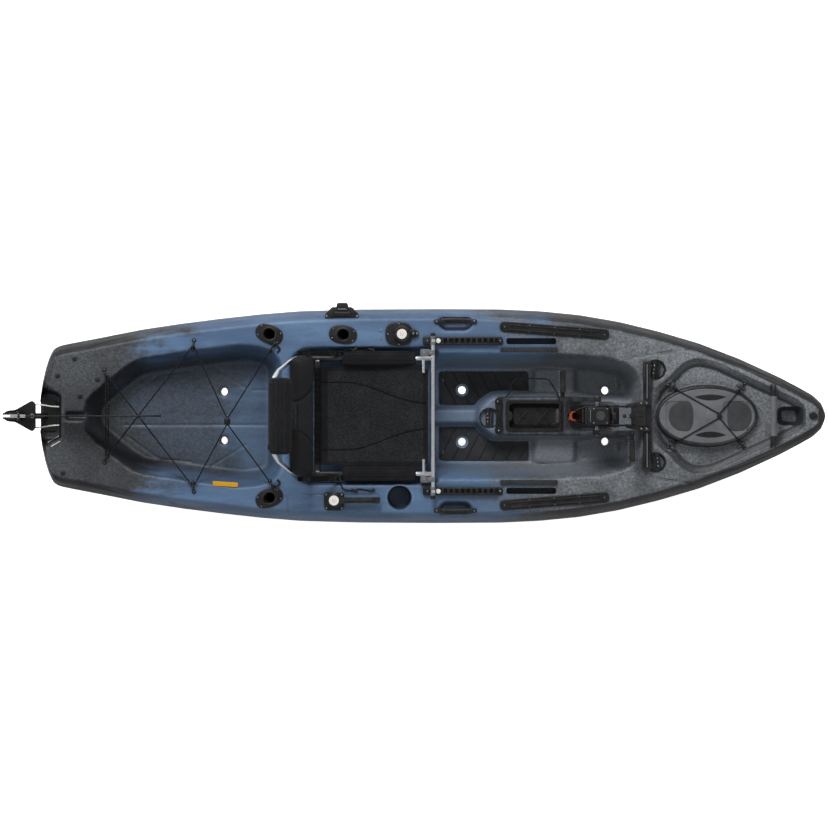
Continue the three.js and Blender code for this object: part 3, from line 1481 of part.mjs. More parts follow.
// Bracket that carries the drive's hinge from the cross rail
const DRIVE_HINGE_Z = 330;
const HINGE_PIN_RADIUS = 5;
const HINGE_BARREL_RADIUS = 12;
const HINGE_BARREL_HALF_WIDTH = 34;
const BRACKET_ARM_WIDTH = 8;
const BRACKET_ARM_INNER_Y = HINGE_BARREL_HALF_WIDTH + 2 * RUNNING_GAP;
const BRACKET_FOOT_HALF_WIDTH = 66;
const BRACKET_FOOT_THICKNESS = 7;
const BRACKET_PLATE_AFT_X_OFFSET = 66;
const BRACKET_PLATE_AFT_X = RAIL_X - BRACKET_PLATE_AFT_X_OFFSET;
const RAIL_TOP = RAIL_SEAT + GAP + RAIL_HEIGHT;
function driveBracket() {
  const foot = RAIL_TOP + GAP;
  const top = foot + BRACKET_FOOT_THICKNESS;
  const foreX = RAIL_X + RAIL_WIDTH / 2;
  const aftFootX = RAIL_X - RAIL_WIDTH / 2;
  const barrel = ellipse(HINGE_BARREL_RADIUS, HINGE_BARREL_RADIUS, 16).filter(([x]) => x < 1);
  const profile = [
    ...barrel.map(([x, z]) => [DRIVE_HINGE_X + x, DRIVE_HINGE_Z + z]),
    [aftFootX - OVERRUN, foot - 8],
    [aftFootX, foot],
    [foreX, foot],
    [foreX, top],
    [aftFootX - OVERRUN, top],
  ];
  const arms = SIDES.map(([, side]) =>
    sidePlate(profile, side * BRACKET_ARM_INNER_Y, side * (BRACKET_ARM_INNER_Y + BRACKET_ARM_WIDTH)),
  );
  const plate = slab(
    [
      [foreX, BRACKET_FOOT_HALF_WIDTH],
      [aftFootX - RUNNING_GAP, BRACKET_FOOT_HALF_WIDTH],
      [BRACKET_PLATE_AFT_X, BRACKET_ARM_INNER_Y + 1],
      [BRACKET_PLATE_AFT_X, -BRACKET_ARM_INNER_Y - 1],
      [aftFootX - RUNNING_GAP, -BRACKET_FOOT_HALF_WIDTH],
      [foreX, -BRACKET_FOOT_HALF_WIDTH],
    ],
    foot,
    BRACKET_FOOT_THICKNESS,
    1,
  );
  const bore = crosswise(
    DRIVE_HINGE_X,
    DRIVE_HINGE_Z,
    -HALF_BEAM,
    HALF_BEAM,
    HINGE_PIN_RADIUS + RUNNING_GAP,
    12,
  );
  const bolts = [1, -1].map((side) =>
    upright(RAIL_X, side * (BRACKET_FOOT_HALF_WIDTH - 14), top - 1, top + 5, 7, 6),
  );
  return cut(joined(plate, ...arms, ...bolts), bore);
}
piece(kayak, "drive_bracket", driveBracket(), FINISHES.blackAluminium);

// Rudder: bracket and pin on the stern
const RUDDER_X = along(-0.5139);
const RUDDER_PIN_RADIUS = 6;
const RUDDER_BARREL_RADIUS = 14;
const RUDDER_BRACKET_TOP = 298;
const RUDDER_BARREL_FOOT = 248;
const RUDDER_BASE_THICKNESS = 8;
const RUDDER_BASE_HALF_WIDTH = 62;
const RUDDER_BASE_AFT_X_OFFSET = 12;
const RUDDER_BASE_AFT_X = STERN + RUDDER_BASE_AFT_X_OFFSET;
const RUDDER_BASE_FORE_X_OFFSET = 8;
const RUDDER_BASE_FORE_X = STERN_NOTCH_FORE - RUDDER_BASE_FORE_X_OFFSET;
const RUDDER_ARM_WIDTH = 24;
function rudderBracket() {
  const foot = STERN_NOTCH_FLOOR + GAP;
  const outline = [
    [RUDDER_BASE_FORE_X - FLOOR_FILLET, RUDDER_BASE_HALF_WIDTH],
    [RUDDER_BASE_AFT_X, RUDDER_BASE_HALF_WIDTH],
    [RUDDER_BASE_AFT_X, -RUDDER_BASE_HALF_WIDTH],
    [RUDDER_BASE_FORE_X - FLOOR_FILLET, -RUDDER_BASE_HALF_WIDTH],
  ];
  const arm = sidePlate(
    [
      [RUDDER_X, RUDDER_BARREL_FOOT],
      [RUDDER_X, RUDDER_BRACKET_TOP],
      [RUDDER_BASE_AFT_X, RUDDER_BRACKET_TOP],
      [RUDDER_BASE_FORE_X - 2 * OVERRUN, foot + RUDDER_BASE_THICKNESS],
      [RUDDER_BASE_AFT_X + OVERRUN / 2, foot + 1],
      [RUDDER_BASE_AFT_X, RUDDER_BARREL_FOOT],
    ],
    -RUDDER_ARM_WIDTH / 2,
    RUDDER_ARM_WIDTH / 2,
  );
  const barrel = upright(
    RUDDER_X,
    0,
    RUDDER_BARREL_FOOT,
    RUDDER_BRACKET_TOP,
    RUDDER_BARREL_RADIUS,
    16,
  );
  const bore = upright(RUDDER_X, 0, 0, DECK + HULL_DEPTH, RUDDER_PIN_RADIUS + GAP, 12);
  const pits = [1, -1].map((side) =>
    screwPit(
      RUDDER_BASE_FORE_X - 2 * OVERRUN,
      side * 0.7 * RUDDER_BASE_HALF_WIDTH,
      foot + RUDDER_BASE_THICKNESS,
      SCREW_PIT_RADIUS,
      SCREW_PIT_DEPTH,
    ),
  );
  return cut(joined(slab(rounded(outline, 10, 2), foot, RUDDER_BASE_THICKNESS, 1), arm, barrel), bore, ...pits);
}
piece(kayak, "rudder_bracket", rudderBracket(), FINISHES.blackAluminium);

const YOKE_GAP = 2;
const YOKE_PLATE_THICKNESS = 6;
const YOKE_HUB_HEIGHT = 38;
const YOKE_HUB_FOOT = RUDDER_BRACKET_TOP + YOKE_GAP;
const YOKE_PLATE_FOOT = YOKE_HUB_FOOT + YOKE_HUB_HEIGHT;
const YOKE_PLATE_TOP = YOKE_PLATE_FOOT + YOKE_PLATE_THICKNESS;
const YOKE_HALF_WIDTH = 65;
const YOKE_FRONT = 14;
const YOKE_NECK = 73;
const YOKE_NECK_HALF_WIDTH = 24;
const YOKE_TAIL = 120;
const CHEEK_INNER_Y = 4.6;
const CHEEK_OUTER_Y = 13;
const BLADE_PIVOT_BACK = 53;
const BLADE_PIVOT_RISE = 41;
const BLADE_PIVOT_X = RUDDER_X - BLADE_PIVOT_BACK;
const BLADE_PIVOT_Z = YOKE_PLATE_TOP + BLADE_PIVOT_RISE;
const BLADE_BOLT_RADIUS = 5;
const CHEEK_TOP = 19;
function rudderPin() {
  return joined(
    upright(RUDDER_X, 0, RUDDER_BARREL_FOOT - 7, YOKE_PLATE_TOP + 1, RUDDER_PIN_RADIUS, 12),
    upright(RUDDER_X, 0, YOKE_PLATE_TOP + RUNNING_GAP, YOKE_PLATE_TOP + 5, RUDDER_PIN_RADIUS + 4, 12),
    upright(RUDDER_X, 0, RUDDER_BARREL_FOOT - 8, RUDDER_BARREL_FOOT - GAP, RUDDER_PIN_RADIUS + 4, 6),
  );
}
piece(kayak, "rudder_pin", rudderPin(), FINISHES.steel);

function rudderYoke() {
  const outline = mirrored([
    [RUDDER_X - YOKE_TAIL, CHEEK_OUTER_Y],
    [RUDDER_X - YOKE_TAIL + 22, YOKE_NECK_HALF_WIDTH],
    [RUDDER_X - YOKE_NECK, YOKE_NECK_HALF_WIDTH],
    [RUDDER_X, YOKE_HALF_WIDTH],
    [RUDDER_X + YOKE_FRONT, YOKE_HALF_WIDTH - YOKE_FRONT],
  ]);
  const cheekOutline = [
    [RUDDER_X - YOKE_TAIL, YOKE_PLATE_FOOT + 1],
    [BLADE_PIVOT_X + 22, YOKE_PLATE_FOOT + 1],
    [BLADE_PIVOT_X + CHEEK_TOP, BLADE_PIVOT_Z + 6],
    [BLADE_PIVOT_X + 8, BLADE_PIVOT_Z + CHEEK_TOP],
    [BLADE_PIVOT_X - 14, BLADE_PIVOT_Z + CHEEK_TOP],
    [RUDDER_X - YOKE_TAIL, YOKE_PLATE_TOP + 22],
  ];
  const cheeks = SIDES.map(([, side]) =>
    sidePlate(cheekOutline, side * CHEEK_INNER_Y, side * CHEEK_OUTER_Y),
  );
  const hub = upright(RUDDER_X, 0, YOKE_HUB_FOOT, YOKE_PLATE_FOOT + 1, RUDDER_BARREL_RADIUS, 16);
  const bladeSlot = block(
    point(RUDDER_X - 2 * YOKE_TAIL, -CHEEK_INNER_Y, 0),
    point(BLADE_PIVOT_X + 24, CHEEK_INNER_Y, HULL_LENGTH),
  );
  return cut(
    joined(slab(rounded(outline, 10, 2), YOKE_PLATE_FOOT, YOKE_PLATE_THICKNESS, 1), hub, ...cheeks),
    bladeSlot,
    upright(RUDDER_X, 0, 0, 2 * HULL_DEPTH, RUDDER_PIN_RADIUS + RUNNING_GAP, 12),
    crosswise(
      BLADE_PIVOT_X,
      BLADE_PIVOT_Z,
      -HALF_BEAM,
      HALF_BEAM,
      BLADE_BOLT_RADIUS + GAP,
      12,
    ),
  );
}
piece(kayak, "rudder_yoke", rudderYoke(), FINISHES.blackAluminium);

const BLADE_THICKNESS = 6.5;
const BLADE_EDGE_WIDTH = 3;
const BLADE_REACH = 588;
const BLADE_DEPTH = 72;
// Outline of the blade, from its bolt: forward along the deck and up, as shares of reach and depth
const BLADE_SHARES = [
  [-0.062, 0.14],
  [-0.048, 0.34],
  [-0.03, 0.41],
  [0.12, 0.4],
  [0.3, 0.62],
  [0.52, 0.93],
  [0.78, 1],
  [0.92, 0.75],
  [0.98, 0.4],
  [1, -0.05],
  [0.97, -0.28],
  [0.86, -0.41],
  [0.5, -0.45],
  [0.15, -0.45],
  [-0.03, -0.41],
  [-0.048, -0.34],
  [-0.062, -0.14],
];
function rudderBlade() {
  const outline = BLADE_SHARES.map(([run, rise]) => [run * BLADE_REACH, rise * BLADE_DEPTH]);
  const ring = (inset, y) =>
    grown(outline, -inset).map(([x, z]) => point(BLADE_PIVOT_X + x, y, BLADE_PIVOT_Z + z));
  const half = BLADE_THICKNESS / 2;
  const body = loft(
    [ring(BLADE_EDGE_WIDTH, -half), ring(0, -half / 2), ring(0, half / 2), ring(BLADE_EDGE_WIDTH, half)],
    seenFromSide,
  );
  const bore = crosswise(
    BLADE_PIVOT_X,
    BLADE_PIVOT_Z,
    -HALF_BEAM,
    HALF_BEAM,
    BLADE_BOLT_RADIUS + RUNNING_GAP,
    12,
  );
  return cut(body, bore);
}
piece(kayak, "rudder_blade", rudderBlade(), FINISHES.blackAluminium);
piece(
  kayak,
  "blade_bolt",
  joined(
    crosswise(BLADE_PIVOT_X, BLADE_PIVOT_Z, -CHEEK_OUTER_Y - 1, CHEEK_OUTER_Y + 1, BLADE_BOLT_RADIUS, 12),
    ...SIDES.map(([, side]) =>
      crosswise(
        BLADE_PIVOT_X,
        BLADE_PIVOT_Z,
        side * (CHEEK_OUTER_Y + GAP),
        side * (CHEEK_OUTER_Y + 6),
        BLADE_BOLT_RADIUS + 4,
        8,
      ),
    ),
  ),
  FINISHES.steel,
);

// Steering cables from under the yoke into the hull
const CABLE_RADIUS = 3;
const CABLE_YOKE_Y = 48;
const CABLE_HULL_Y = 38;
const CABLE_SAG = 8;
const CABLE_STEPS = 8;
SIDES.forEach(([name, side]) => {
  const yokeX = RUDDER_X + YOKE_FRONT - 2 * CABLE_RADIUS;
  const cableZ = YOKE_PLATE_FOOT - CABLE_RADIUS - GAP;
  const hullX = STERN_NOTCH_FORE - LIP - 2;
  const path = new THREE.CatmullRomCurve3([
    point(yokeX, side * CABLE_YOKE_Y, cableZ),
    point((2 * yokeX + hullX) / 3, side * (CABLE_YOKE_Y - 3), cableZ - CABLE_SAG),
    point((yokeX + 2 * hullX) / 3, side * (CABLE_HULL_Y + 2), cableZ - 3 * CABLE_SAG),
    point(hullX, side * CABLE_HULL_Y, cableZ - 5 * CABLE_SAG),
  ]);
  piece(
    kayak,
    `${name}_steering_cable`,
    sweep(path.getPoints(CABLE_STEPS), CABLE_RADIUS, CORD_SIDES),
    FINISHES.cord,
  );
});

// Elastic cords: each is one line that passes under its padeyes
const CORD_RISE = PADEYE_RISE - PADEYE_BAR * Math.cos(Math.PI / PADEYE_SIDES) - CORD_RADIUS - GAP;
const CLIP_BLOCK_X = along(-0.266);
const CLIP_BLOCK_Y = across(-0.05);
const CLIP_BLOCK_LENGTH = 26;
const CLIP_BLOCK_WIDTH = 30;
const CLIP_BLOCK_HEIGHT = 14;
const CORD_LIFT = 9;
function tankwellBungee() {
  const rest = (x) => deckAt(x) + CORD_RISE;
  const eye = (index) => {
    const { x, y } = STERN_PADEYES[index];
    return point(x, y, rest(x));
  };
  const [portAft, starboardAft, portMid, starboardMid, portFore, starboardFore] = [0, 1, 2, 3, 4, 5].map(eye);
  const clipZ = DECK + CORD_RISE + CORD_LIFT;
  const clip = (side) =>
    point(CLIP_BLOCK_X, CLIP_BLOCK_Y + (side * CLIP_BLOCK_WIDTH) / 2 - side * CORD_RADIUS * 2, clipZ);
  const lifted = (from, to, share) =>
    from.clone().lerp(to, share).add(point(0, 0, CORD_LIFT));
  const path = bentPoints(
    [
      portFore,
      clip(1),
      portMid,
      lifted(portMid, starboardAft, 0.55),
      starboardAft,
      portAft,
      starboardMid,
      clip(-1),
      starboardFore,
    ],
    10,
  );
  const clipBlock = slab(
    shifted(rounded(rectangle(CLIP_BLOCK_LENGTH, CLIP_BLOCK_WIDTH), 6, 2), CLIP_BLOCK_X, CLIP_BLOCK_Y),
    clipZ - CLIP_BLOCK_HEIGHT / 2,
    CLIP_BLOCK_HEIGHT,
    3,
  );
  return joined(sweep(path, CORD_RADIUS, CORD_SIDES), clipBlock);
}
piece(kayak, "tankwell_bungee", tankwellBungee(), FINISHES.cord);

// Bow grab handle
const BOW_HANDLE_X = along(0.4278);
const BOW_HANDLE_HALF_SPAN = across(0.272);
const BOW_HANDLE_RISE = 36;
const BOW_HANDLE_RADIUS = 8;
const BOW_GRIP_RADIUS = 12;
const BOW_GRIP_SHARE = 0.72;
function bowHandle() {
  const foot = deckAt(BOW_HANDLE_X + BOW_HANDLE_RADIUS + 2) + GAP;
  const top = foot + BOW_HANDLE_RISE;
  const half = BOW_HANDLE_HALF_SPAN;
  const path = bentPoints(
    [
      point(BOW_HANDLE_X, half, foot),
      point(BOW_HANDLE_X, half, top),
      point(BOW_HANDLE_X, -half, top),
      point(BOW_HANDLE_X, -half, foot),
    ],
    22,
  );
  return joined(
    sweep(path, BOW_HANDLE_RADIUS),
    crosswise(BOW_HANDLE_X, top, -BOW_GRIP_SHARE * half, BOW_GRIP_SHARE * half, BOW_GRIP_RADIUS, 14),
  );
}
piece(kayak, "bow_handle", bowHandle(), FINISHES.blackPlastic);

// Hatch: a lid with a soft seal under its rim
const LID_THICKNESS = 12;
const LID_CHAMFER = 5;
const SEAL_THICKNESS = 3;
const SEAL_WIDTH = 12;
const LID_PAD_LENGTH = 104;
const LID_PAD_WIDTH = 122;
const LID_PAD_DEPTH = 3;
const LID_PAD_OFFSET = 118;
const LID_FOOT = HATCH_PLANE + GAP + SEAL_THICKNESS + GAP;
const LID_TOP = LID_FOOT + LID_THICKNESS;
const SEAL_GROOVE_INSET = 4;
function hatchSeal() {
  const outer = slab(hatchEllipse(-SEAL_GROOVE_INSET), HATCH_PLANE + GAP, SEAL_THICKNESS);
  const inner = slab(hatchEllipse(-SEAL_GROOVE_INSET - SEAL_WIDTH), HATCH_PLANE - 1, 2 * OVERRUN);
  return cut(outer, inner);
}
piece(kayak, "hatch_seal", hatchSeal(), FINISHES.foam);
function hatchLid() {
  const pads = [-1, 1].map((end) =>
    slab(
      rounded(
        shifted(rectangle(LID_PAD_LENGTH, LID_PAD_WIDTH), HATCH_X + end * LID_PAD_OFFSET, 0),
        20,
        2,
      ),
      LID_TOP - LID_PAD_DEPTH,
      OVERRUN,
    ),
  );
  return cut(slab(hatchEllipse(0), LID_FOOT, LID_THICKNESS, LID_CHAMFER), ...pads);
}
piece(kayak, "hatch_lid", hatchLid(), FINISHES.greyPlastic);

// Cord over the hatch, crossing through a small clip
const HATCH_CLIP_TO_HATCH = 50;
const HATCH_CLIP_X = HATCH_X + HATCH_CLIP_TO_HATCH;
const HATCH_CLIP_RADIUS = 11;
const HATCH_CLIP_HEIGHT = 9;
const BOW_CORD_RISE = 7;
function bowBungee() {
  const over = LID_TOP + CORD_RADIUS + GAP;
  const [portAft, starboardAft, portFore, starboardFore] = BOW_PADEYES.map(({ x, y, z }) =>
    point(x, y, z + BOW_CORD_RISE),
  );
  const lidEdge = (eye, share) => {
    const crossing = eye.clone().lerp(point(HATCH_CLIP_X, 0, over), share);
    return point(crossing.x, crossing.y, over);
  };
  const clip = (side) => point(HATCH_CLIP_X, side * 3 * CORD_RADIUS, over);
  const line = (aft, fore, side) =>
    sweep(
      bentPoints([aft, lidEdge(aft, 0.12), clip(side), lidEdge(fore, 0.17), fore], 12),
      CORD_RADIUS,
      CORD_SIDES,
    );
  const knob = turned(
    discProfile(HATCH_CLIP_RADIUS, over - CORD_RADIUS, over - CORD_RADIUS + HATCH_CLIP_HEIGHT, 2),
    14,
  ).translate(HATCH_CLIP_X, 0, 0);
  return joined(line(portAft, portFore, 1), line(starboardAft, starboardFore, -1), knob);
}
piece(kayak, "bow_bungee", bowBungee(), FINISHES.cord);

// Drain plug: a slotted cap on a short stem
const DRAIN_STEM_LENGTH = 14;
const DRAIN_SLOT_WIDTH = 4;
function drainPlug() {
  const foot = deckAt(DRAIN_X + DRAIN_CAP_RADIUS) + GAP;
  const top = foot + DRAIN_CAP_HEIGHT;
  const slot = slab(rectangle(DRAIN_CAP_RADIUS, DRAIN_SLOT_WIDTH), top - DRAIN_SLOT_WIDTH, OVERRUN);
  return cut(
    joined(
      turned(discProfile(DRAIN_CAP_RADIUS, foot, top, 2), 18),
      upright(0, 0, foot - DRAIN_STEM_LENGTH, foot + 1, DRAIN_HOLE_RADIUS - RUNNING_GAP, 12),
    ),
    slot,
  ).translate([DRAIN_X, 0, 0]);
}
piece(kayak, "drain_plug", drainPlug(), FINISHES.blackPlastic);

// Carry handles amidships: a grip that swings on two end arms
const HANDLE_HINGE_OUT = 10;
const HANDLE_EYE_RADIUS = 7;
const HANDLE_ARM_WIDTH = 13;
const HANDLE_HINGE_Z = DECK + GAP + HANDLE_EYE_RADIUS;
SIDES.forEach(([name, side]) => {
  const half = HANDLE_LENGTH / 2;
  const gripY = side * (HANDLE_GRIP_Y - HANDLE_HINGE_OUT);
  const hingeY = side * HANDLE_GRIP_Y;
  const gripZ = HANDLE_HINGE_Z + HANDLE_GRIP_RADIUS - HANDLE_EYE_RADIUS;
  const arms = [-1, 1].map((end) => {
    const [from, to] = [end * (half - HANDLE_ARM_WIDTH), end * half].map((x) => HANDLE_X + x);
    return joined(
      lengthwise(hingeY, HANDLE_HINGE_Z, from, to, HANDLE_EYE_RADIUS, 10),
      lengthwise(gripY, gripZ, from, to, HANDLE_GRIP_RADIUS, 10),
    );
  });
  const grip = lengthwise(
    gripY,
    gripZ,
    HANDLE_X - half + 1,
    HANDLE_X + half - 1,
    HANDLE_GRIP_RADIUS,
    10,
  );
  piece(kayak, `${name}_carry_handle`, joined(grip, ...arms), FINISHES.blackPlastic);
});


// Seat frame: bent tube with a front cross tube that rests on the notched rails
const SEAT_TUBE_RADIUS = 11;
const SEAT_FRONT_TUBE_RADIUS = 9;
const SEAT_RAIL_Y = across(0.535);
const SEAT_RAIL_Z_OFFSET = 8;
const SEAT_RAIL_Z = DECK - SEAT_RAIL_Z_OFFSET;
const SEAT_FRONT_X = along(-0.0043);
const SEAT_FRONT_HALF_SPAN = across(0.765);
const SEAT_FRONT_Z = NOTCH_RAIL_TOP + RUNNING_GAP + SEAT_FRONT_TUBE_RADIUS;
const SEAT_REAR_X = along(-0.1512);
const SEAT_BACK_X = along(-0.1636);
const SEAT_LEG_X = along(-0.1636);
const SEAT_LEG_Y = across(0.45);
const SEAT_TUBE_BEND = 34;
const BACK_HINGE_Z_OFFSET = 24;
const BACK_HINGE_Z = SEAT_RAIL_Z + BACK_HINGE_Z_OFFSET;
const BACK_PIN_RADIUS = 4;
const LUG_THICKNESS = 5;
const LUG_HALF_LENGTH = 16;
const LUG_Y_OFFSET = 9.5;
const LUG_Y = SEAT_RAIL_Y + LUG_Y_OFFSET;
const seatRailLine = (side) =>
  bentPoints(
    [
      point(SEAT_FRONT_X, side * SEAT_RAIL_Y, SEAT_FRONT_Z),
      point(SEAT_FRONT_X - 2 * SEAT_TUBE_BEND, side * SEAT_RAIL_Y, SEAT_RAIL_Z),
      point(SEAT_LEG_X, side * SEAT_RAIL_Y, SEAT_RAIL_Z),
      point(SEAT_LEG_X - SEAT_TUBE_RADIUS, side * SEAT_LEG_Y, SEAT_WELL_FLOOR + GAP),
    ],
    SEAT_TUBE_BEND,
  );
function seatFrame() {
  const rails = SIDES.flatMap(([, side]) => {
    const lugFoot = block(
      point(SEAT_BACK_X - LUG_HALF_LENGTH, Math.min(side * SEAT_RAIL_Y, side * (LUG_Y + 1)), SEAT_RAIL_Z - 4),
      point(SEAT_BACK_X + LUG_HALF_LENGTH, Math.max(side * SEAT_RAIL_Y, side * (LUG_Y + 1)), SEAT_RAIL_Z + 4),
    );
    const lug = cut(
      sidePlate(
        [
          [SEAT_BACK_X - LUG_HALF_LENGTH, SEAT_RAIL_Z],
          [SEAT_BACK_X + LUG_HALF_LENGTH, SEAT_RAIL_Z],
          [SEAT_BACK_X + LUG_HALF_LENGTH / 2, BACK_HINGE_Z + 9],
          [SEAT_BACK_X - LUG_HALF_LENGTH / 2, BACK_HINGE_Z + 9],
        ],
        side * LUG_Y,
        side * (LUG_Y + LUG_THICKNESS),
      ),
      crosswise(SEAT_BACK_X, BACK_HINGE_Z, -HALF_BEAM, HALF_BEAM, BACK_PIN_RADIUS + RUNNING_GAP, 10),
    );
    return [sweep(seatRailLine(side), SEAT_TUBE_RADIUS), lugFoot, lug];
  });
  const acrossTube = (x, z, half, radius) => crosswise(x, z, -half, half, radius, TUBE_SIDES);
  const whole = joined(
    ...rails,
    acrossTube(SEAT_FRONT_X, SEAT_FRONT_Z, SEAT_FRONT_HALF_SPAN, SEAT_FRONT_TUBE_RADIUS),
    acrossTube(SEAT_REAR_X, SEAT_RAIL_Z, SEAT_RAIL_Y, SEAT_TUBE_RADIUS),
  );
  return cut(
    whole,
    slab(
      shifted(rectangle(HULL_DEPTH, HULL_BEAM), SEAT_LEG_X, 0),
      SEAT_WELL_FLOOR + GAP - OVERRUN,
      OVERRUN,
    ),
  );
}
piece(kayak, "seat_frame", seatFrame(), FINISHES.brightTube);

// Soft forms: a sheet of cells with a face each side; place gives the middle of the sheet and its half thickness
function softPanel(alongCells, acrossCells, place) {
  const positions = [];
  const rows = alongCells + 1;
  const columns = acrossCells + 1;
  for (const side of [1, -1]) {
    for (let row = 0; row < rows; row++) {
      for (let column = 0; column < columns; column++) {
        const { middle, half, normal } = place(row / alongCells, (2 * column) / acrossCells - 1);
        positions.push(...middle.clone().addScaledVector(normal, side * half).toArray());
      }
    }
  }
  const sheet = rows * columns;
  const at = (row, column) => row * columns + column;
  const faces = [];
  for (let row = 0; row < alongCells; row++) {
    for (let column = 0; column < acrossCells; column++) {
      const [a, b, c, d] = [
        at(row, column),
        at(row + 1, column),
        at(row + 1, column + 1),
        at(row, column + 1),
      ];
      faces.push(a, b, c, a, c, d);
      faces.push(sheet + a, sheet + c, sheet + b, sheet + a, sheet + d, sheet + c);
    }
  }
  const rim = [];
  for (let column = 0; column < acrossCells; column++) rim.push(at(0, column));
  for (let row = 0; row < alongCells; row++) rim.push(at(row, acrossCells));
  for (let column = acrossCells; column > 0; column--) rim.push(at(alongCells, column));
  for (let row = alongCells; row > 0; row--) rim.push(at(row, 0));
  rim.forEach((a, index) => {
    const b = rim[(index + 1) % rim.length];
    faces.push(a, b, sheet + b, a, sheet + b, sheet + a);
  });
  return closedGeometry(positions, facingOut(positions, faces));
}
// The crown of a stuffed panel: full in the middle and thin at its edges
const crown = (run, out) => Math.pow((1 - Math.pow(2 * run - 1, 6)) * (1 - Math.pow(out, 6)), 0.5);

// Seat sling: mesh that hangs between the bolsters and rises towards the front
const SLING_AFT_X = SEAT_REAR_X + SEAT_TUBE_RADIUS + GAP;
const SLING_FORE_X = along(-0.0105);
const SLING_HALF_WIDTH = across(0.462);
const SLING_HALF_THICKNESS = 3;
const SLING_SAG = 15;
const SLING_DIP = 10;
const SLING_FRONT_RISE = 22;
const SLING_DROOP_SHARE = 0.3;
function seatSling() {
  return softPanel(10, 8, (run, out) => {
    const x = THREE.MathUtils.lerp(SLING_AFT_X, SLING_FORE_X, run);
    const sag = SLING_SAG * (1 - out * out);
    const height =
      SEAT_RAIL_Z - SLING_DIP * Math.sin(HALF_TURN * run) - sag + SLING_FRONT_RISE * run ** 3;
    return {
      middle: point(x, out * SLING_HALF_WIDTH * (1 - 0.06 * run * run), height),
      half: SLING_HALF_THICKNESS,
      normal: point(0, 0, 1),
    };
  });
}
piece(kayak, "seat_sling", seatSling(), FINISHES.mesh);

// Padded bolsters over the seat's side rails
const BOLSTER_AFT_X = along(-0.1198);
const BOLSTER_FORE_X = along(-0.0253);
const BOLSTER_END_SHARE = 0.12;
// Cross section: distance inboard or outboard of the rail and height over its middle, as shares of the two below
const BOLSTER_REACH = 34;
const BOLSTER_RISE = 24;
const BOLSTER_SHARES = [
  [-0.8, -0.55],
  [-0.5, -0.63],
  [0.32, -0.63],
  [0.44, 0.4],
  [0.98, 0.42],
  [1, 0.72],
  [0.7, 0.95],
  [0, 1],
  [-0.6, 0.94],
  [-0.84, 0.6],
  [-0.86, 0],
];
function seatBolster(side) {
  const rings = [0, 0.03, BOLSTER_END_SHARE, 0.5, 1 - BOLSTER_END_SHARE, 0.97, 1].map((run) => {
    const swell = Math.min(1, 0.82 + 0.18 * Math.sin(HALF_TURN * Math.min(run, 1 - run) * 4));
    const x = THREE.MathUtils.lerp(BOLSTER_AFT_X, BOLSTER_FORE_X, run);
    return BOLSTER_SHARES.map(([out, rise]) =>
      point(
        x,
        side * (SEAT_RAIL_Y + out * BOLSTER_REACH),
        SEAT_RAIL_Z + rise * BOLSTER_RISE * (rise > 0.5 ? swell : 1),
      ),
    );
  });
  return cut(loft(rings, seenFromAhead), sweep(seatRailLine(side), SEAT_TUBE_RADIUS + 2 * GAP));
}
SIDES.forEach(([name, side]) =>
  piece(kayak, `${name}_seat_bolster`, seatBolster(side), FINISHES.fabric),
);

// Backrest: a tube frame that leans back from its hinge, with a pad and a rolled sleeve
const BACK_LEAN = radians(17.6);
const BACK_TUBE_RADIUS = 9;
const BACK_TUBE_BEND = 60;
const BACK_TOP_RISE = 430;
const BACK_BEND_RISE = 166;
const BACK_TOP_HALF_WIDTH = across(0.371);
const backPoint = (rise, y, ahead = 0) =>
  point(
    SEAT_BACK_X - rise * Math.sin(BACK_LEAN) + ahead * Math.cos(BACK_LEAN),
    y,
    BACK_HINGE_Z + rise * Math.cos(BACK_LEAN) + ahead * Math.sin(BACK_LEAN),
  );
function backrestFrame() {
  const corners = [
    backPoint(0, SEAT_RAIL_Y),
    backPoint(BACK_BEND_RISE, SEAT_RAIL_Y),
    backPoint(BACK_TOP_RISE, BACK_TOP_HALF_WIDTH),
    backPoint(BACK_TOP_RISE, -BACK_TOP_HALF_WIDTH),
    backPoint(BACK_BEND_RISE, -SEAT_RAIL_Y),
    backPoint(0, -SEAT_RAIL_Y),
  ];
  const pins = SIDES.map(([, side]) =>
    crosswise(
      SEAT_BACK_X,
      BACK_HINGE_Z,
      side * (SEAT_RAIL_Y - BACK_TUBE_RADIUS),
      side * (LUG_Y + LUG_THICKNESS + 3),
      BACK_PIN_RADIUS,
      10,
    ),
  );
  return joined(sweep(bentPoints(corners, BACK_TUBE_BEND), BACK_TUBE_RADIUS), ...pins);
}
piece(kayak, "backrest_frame", backrestFrame(), FINISHES.brightTube);

const PAD_FOOT_RISE = 40;
const PAD_TOP_RISE = 268;
const PAD_HALF_WIDTH = across(0.59);
const PAD_TOP_NARROW_SHARE = 0.12;
const PAD_THICKNESS = 26;
const PAD_EDGE_THICKNESS = 9;
const PAD_WRAP = 14;
function backrestPad() {
  const front = BACK_TUBE_RADIUS + GAP;
  const normal = point(Math.cos(BACK_LEAN), 0, Math.sin(BACK_LEAN));
  return softPanel(8, 10, (run, out) => {
    const rise = THREE.MathUtils.lerp(PAD_FOOT_RISE, PAD_TOP_RISE, run);
    const half = (PAD_EDGE_THICKNESS + (PAD_THICKNESS - PAD_EDGE_THICKNESS) * crown(run, out)) / 2;
    const width = PAD_HALF_WIDTH * (1 - PAD_TOP_NARROW_SHARE * run * run);
    return {
      middle: backPoint(rise, out * width, front + half + PAD_WRAP * out ** 4 * (1 - run) * 0.5),
      half,
      normal,
    };
  });
}
piece(kayak, "backrest_pad", backrestPad(), FINISHES.fabric);

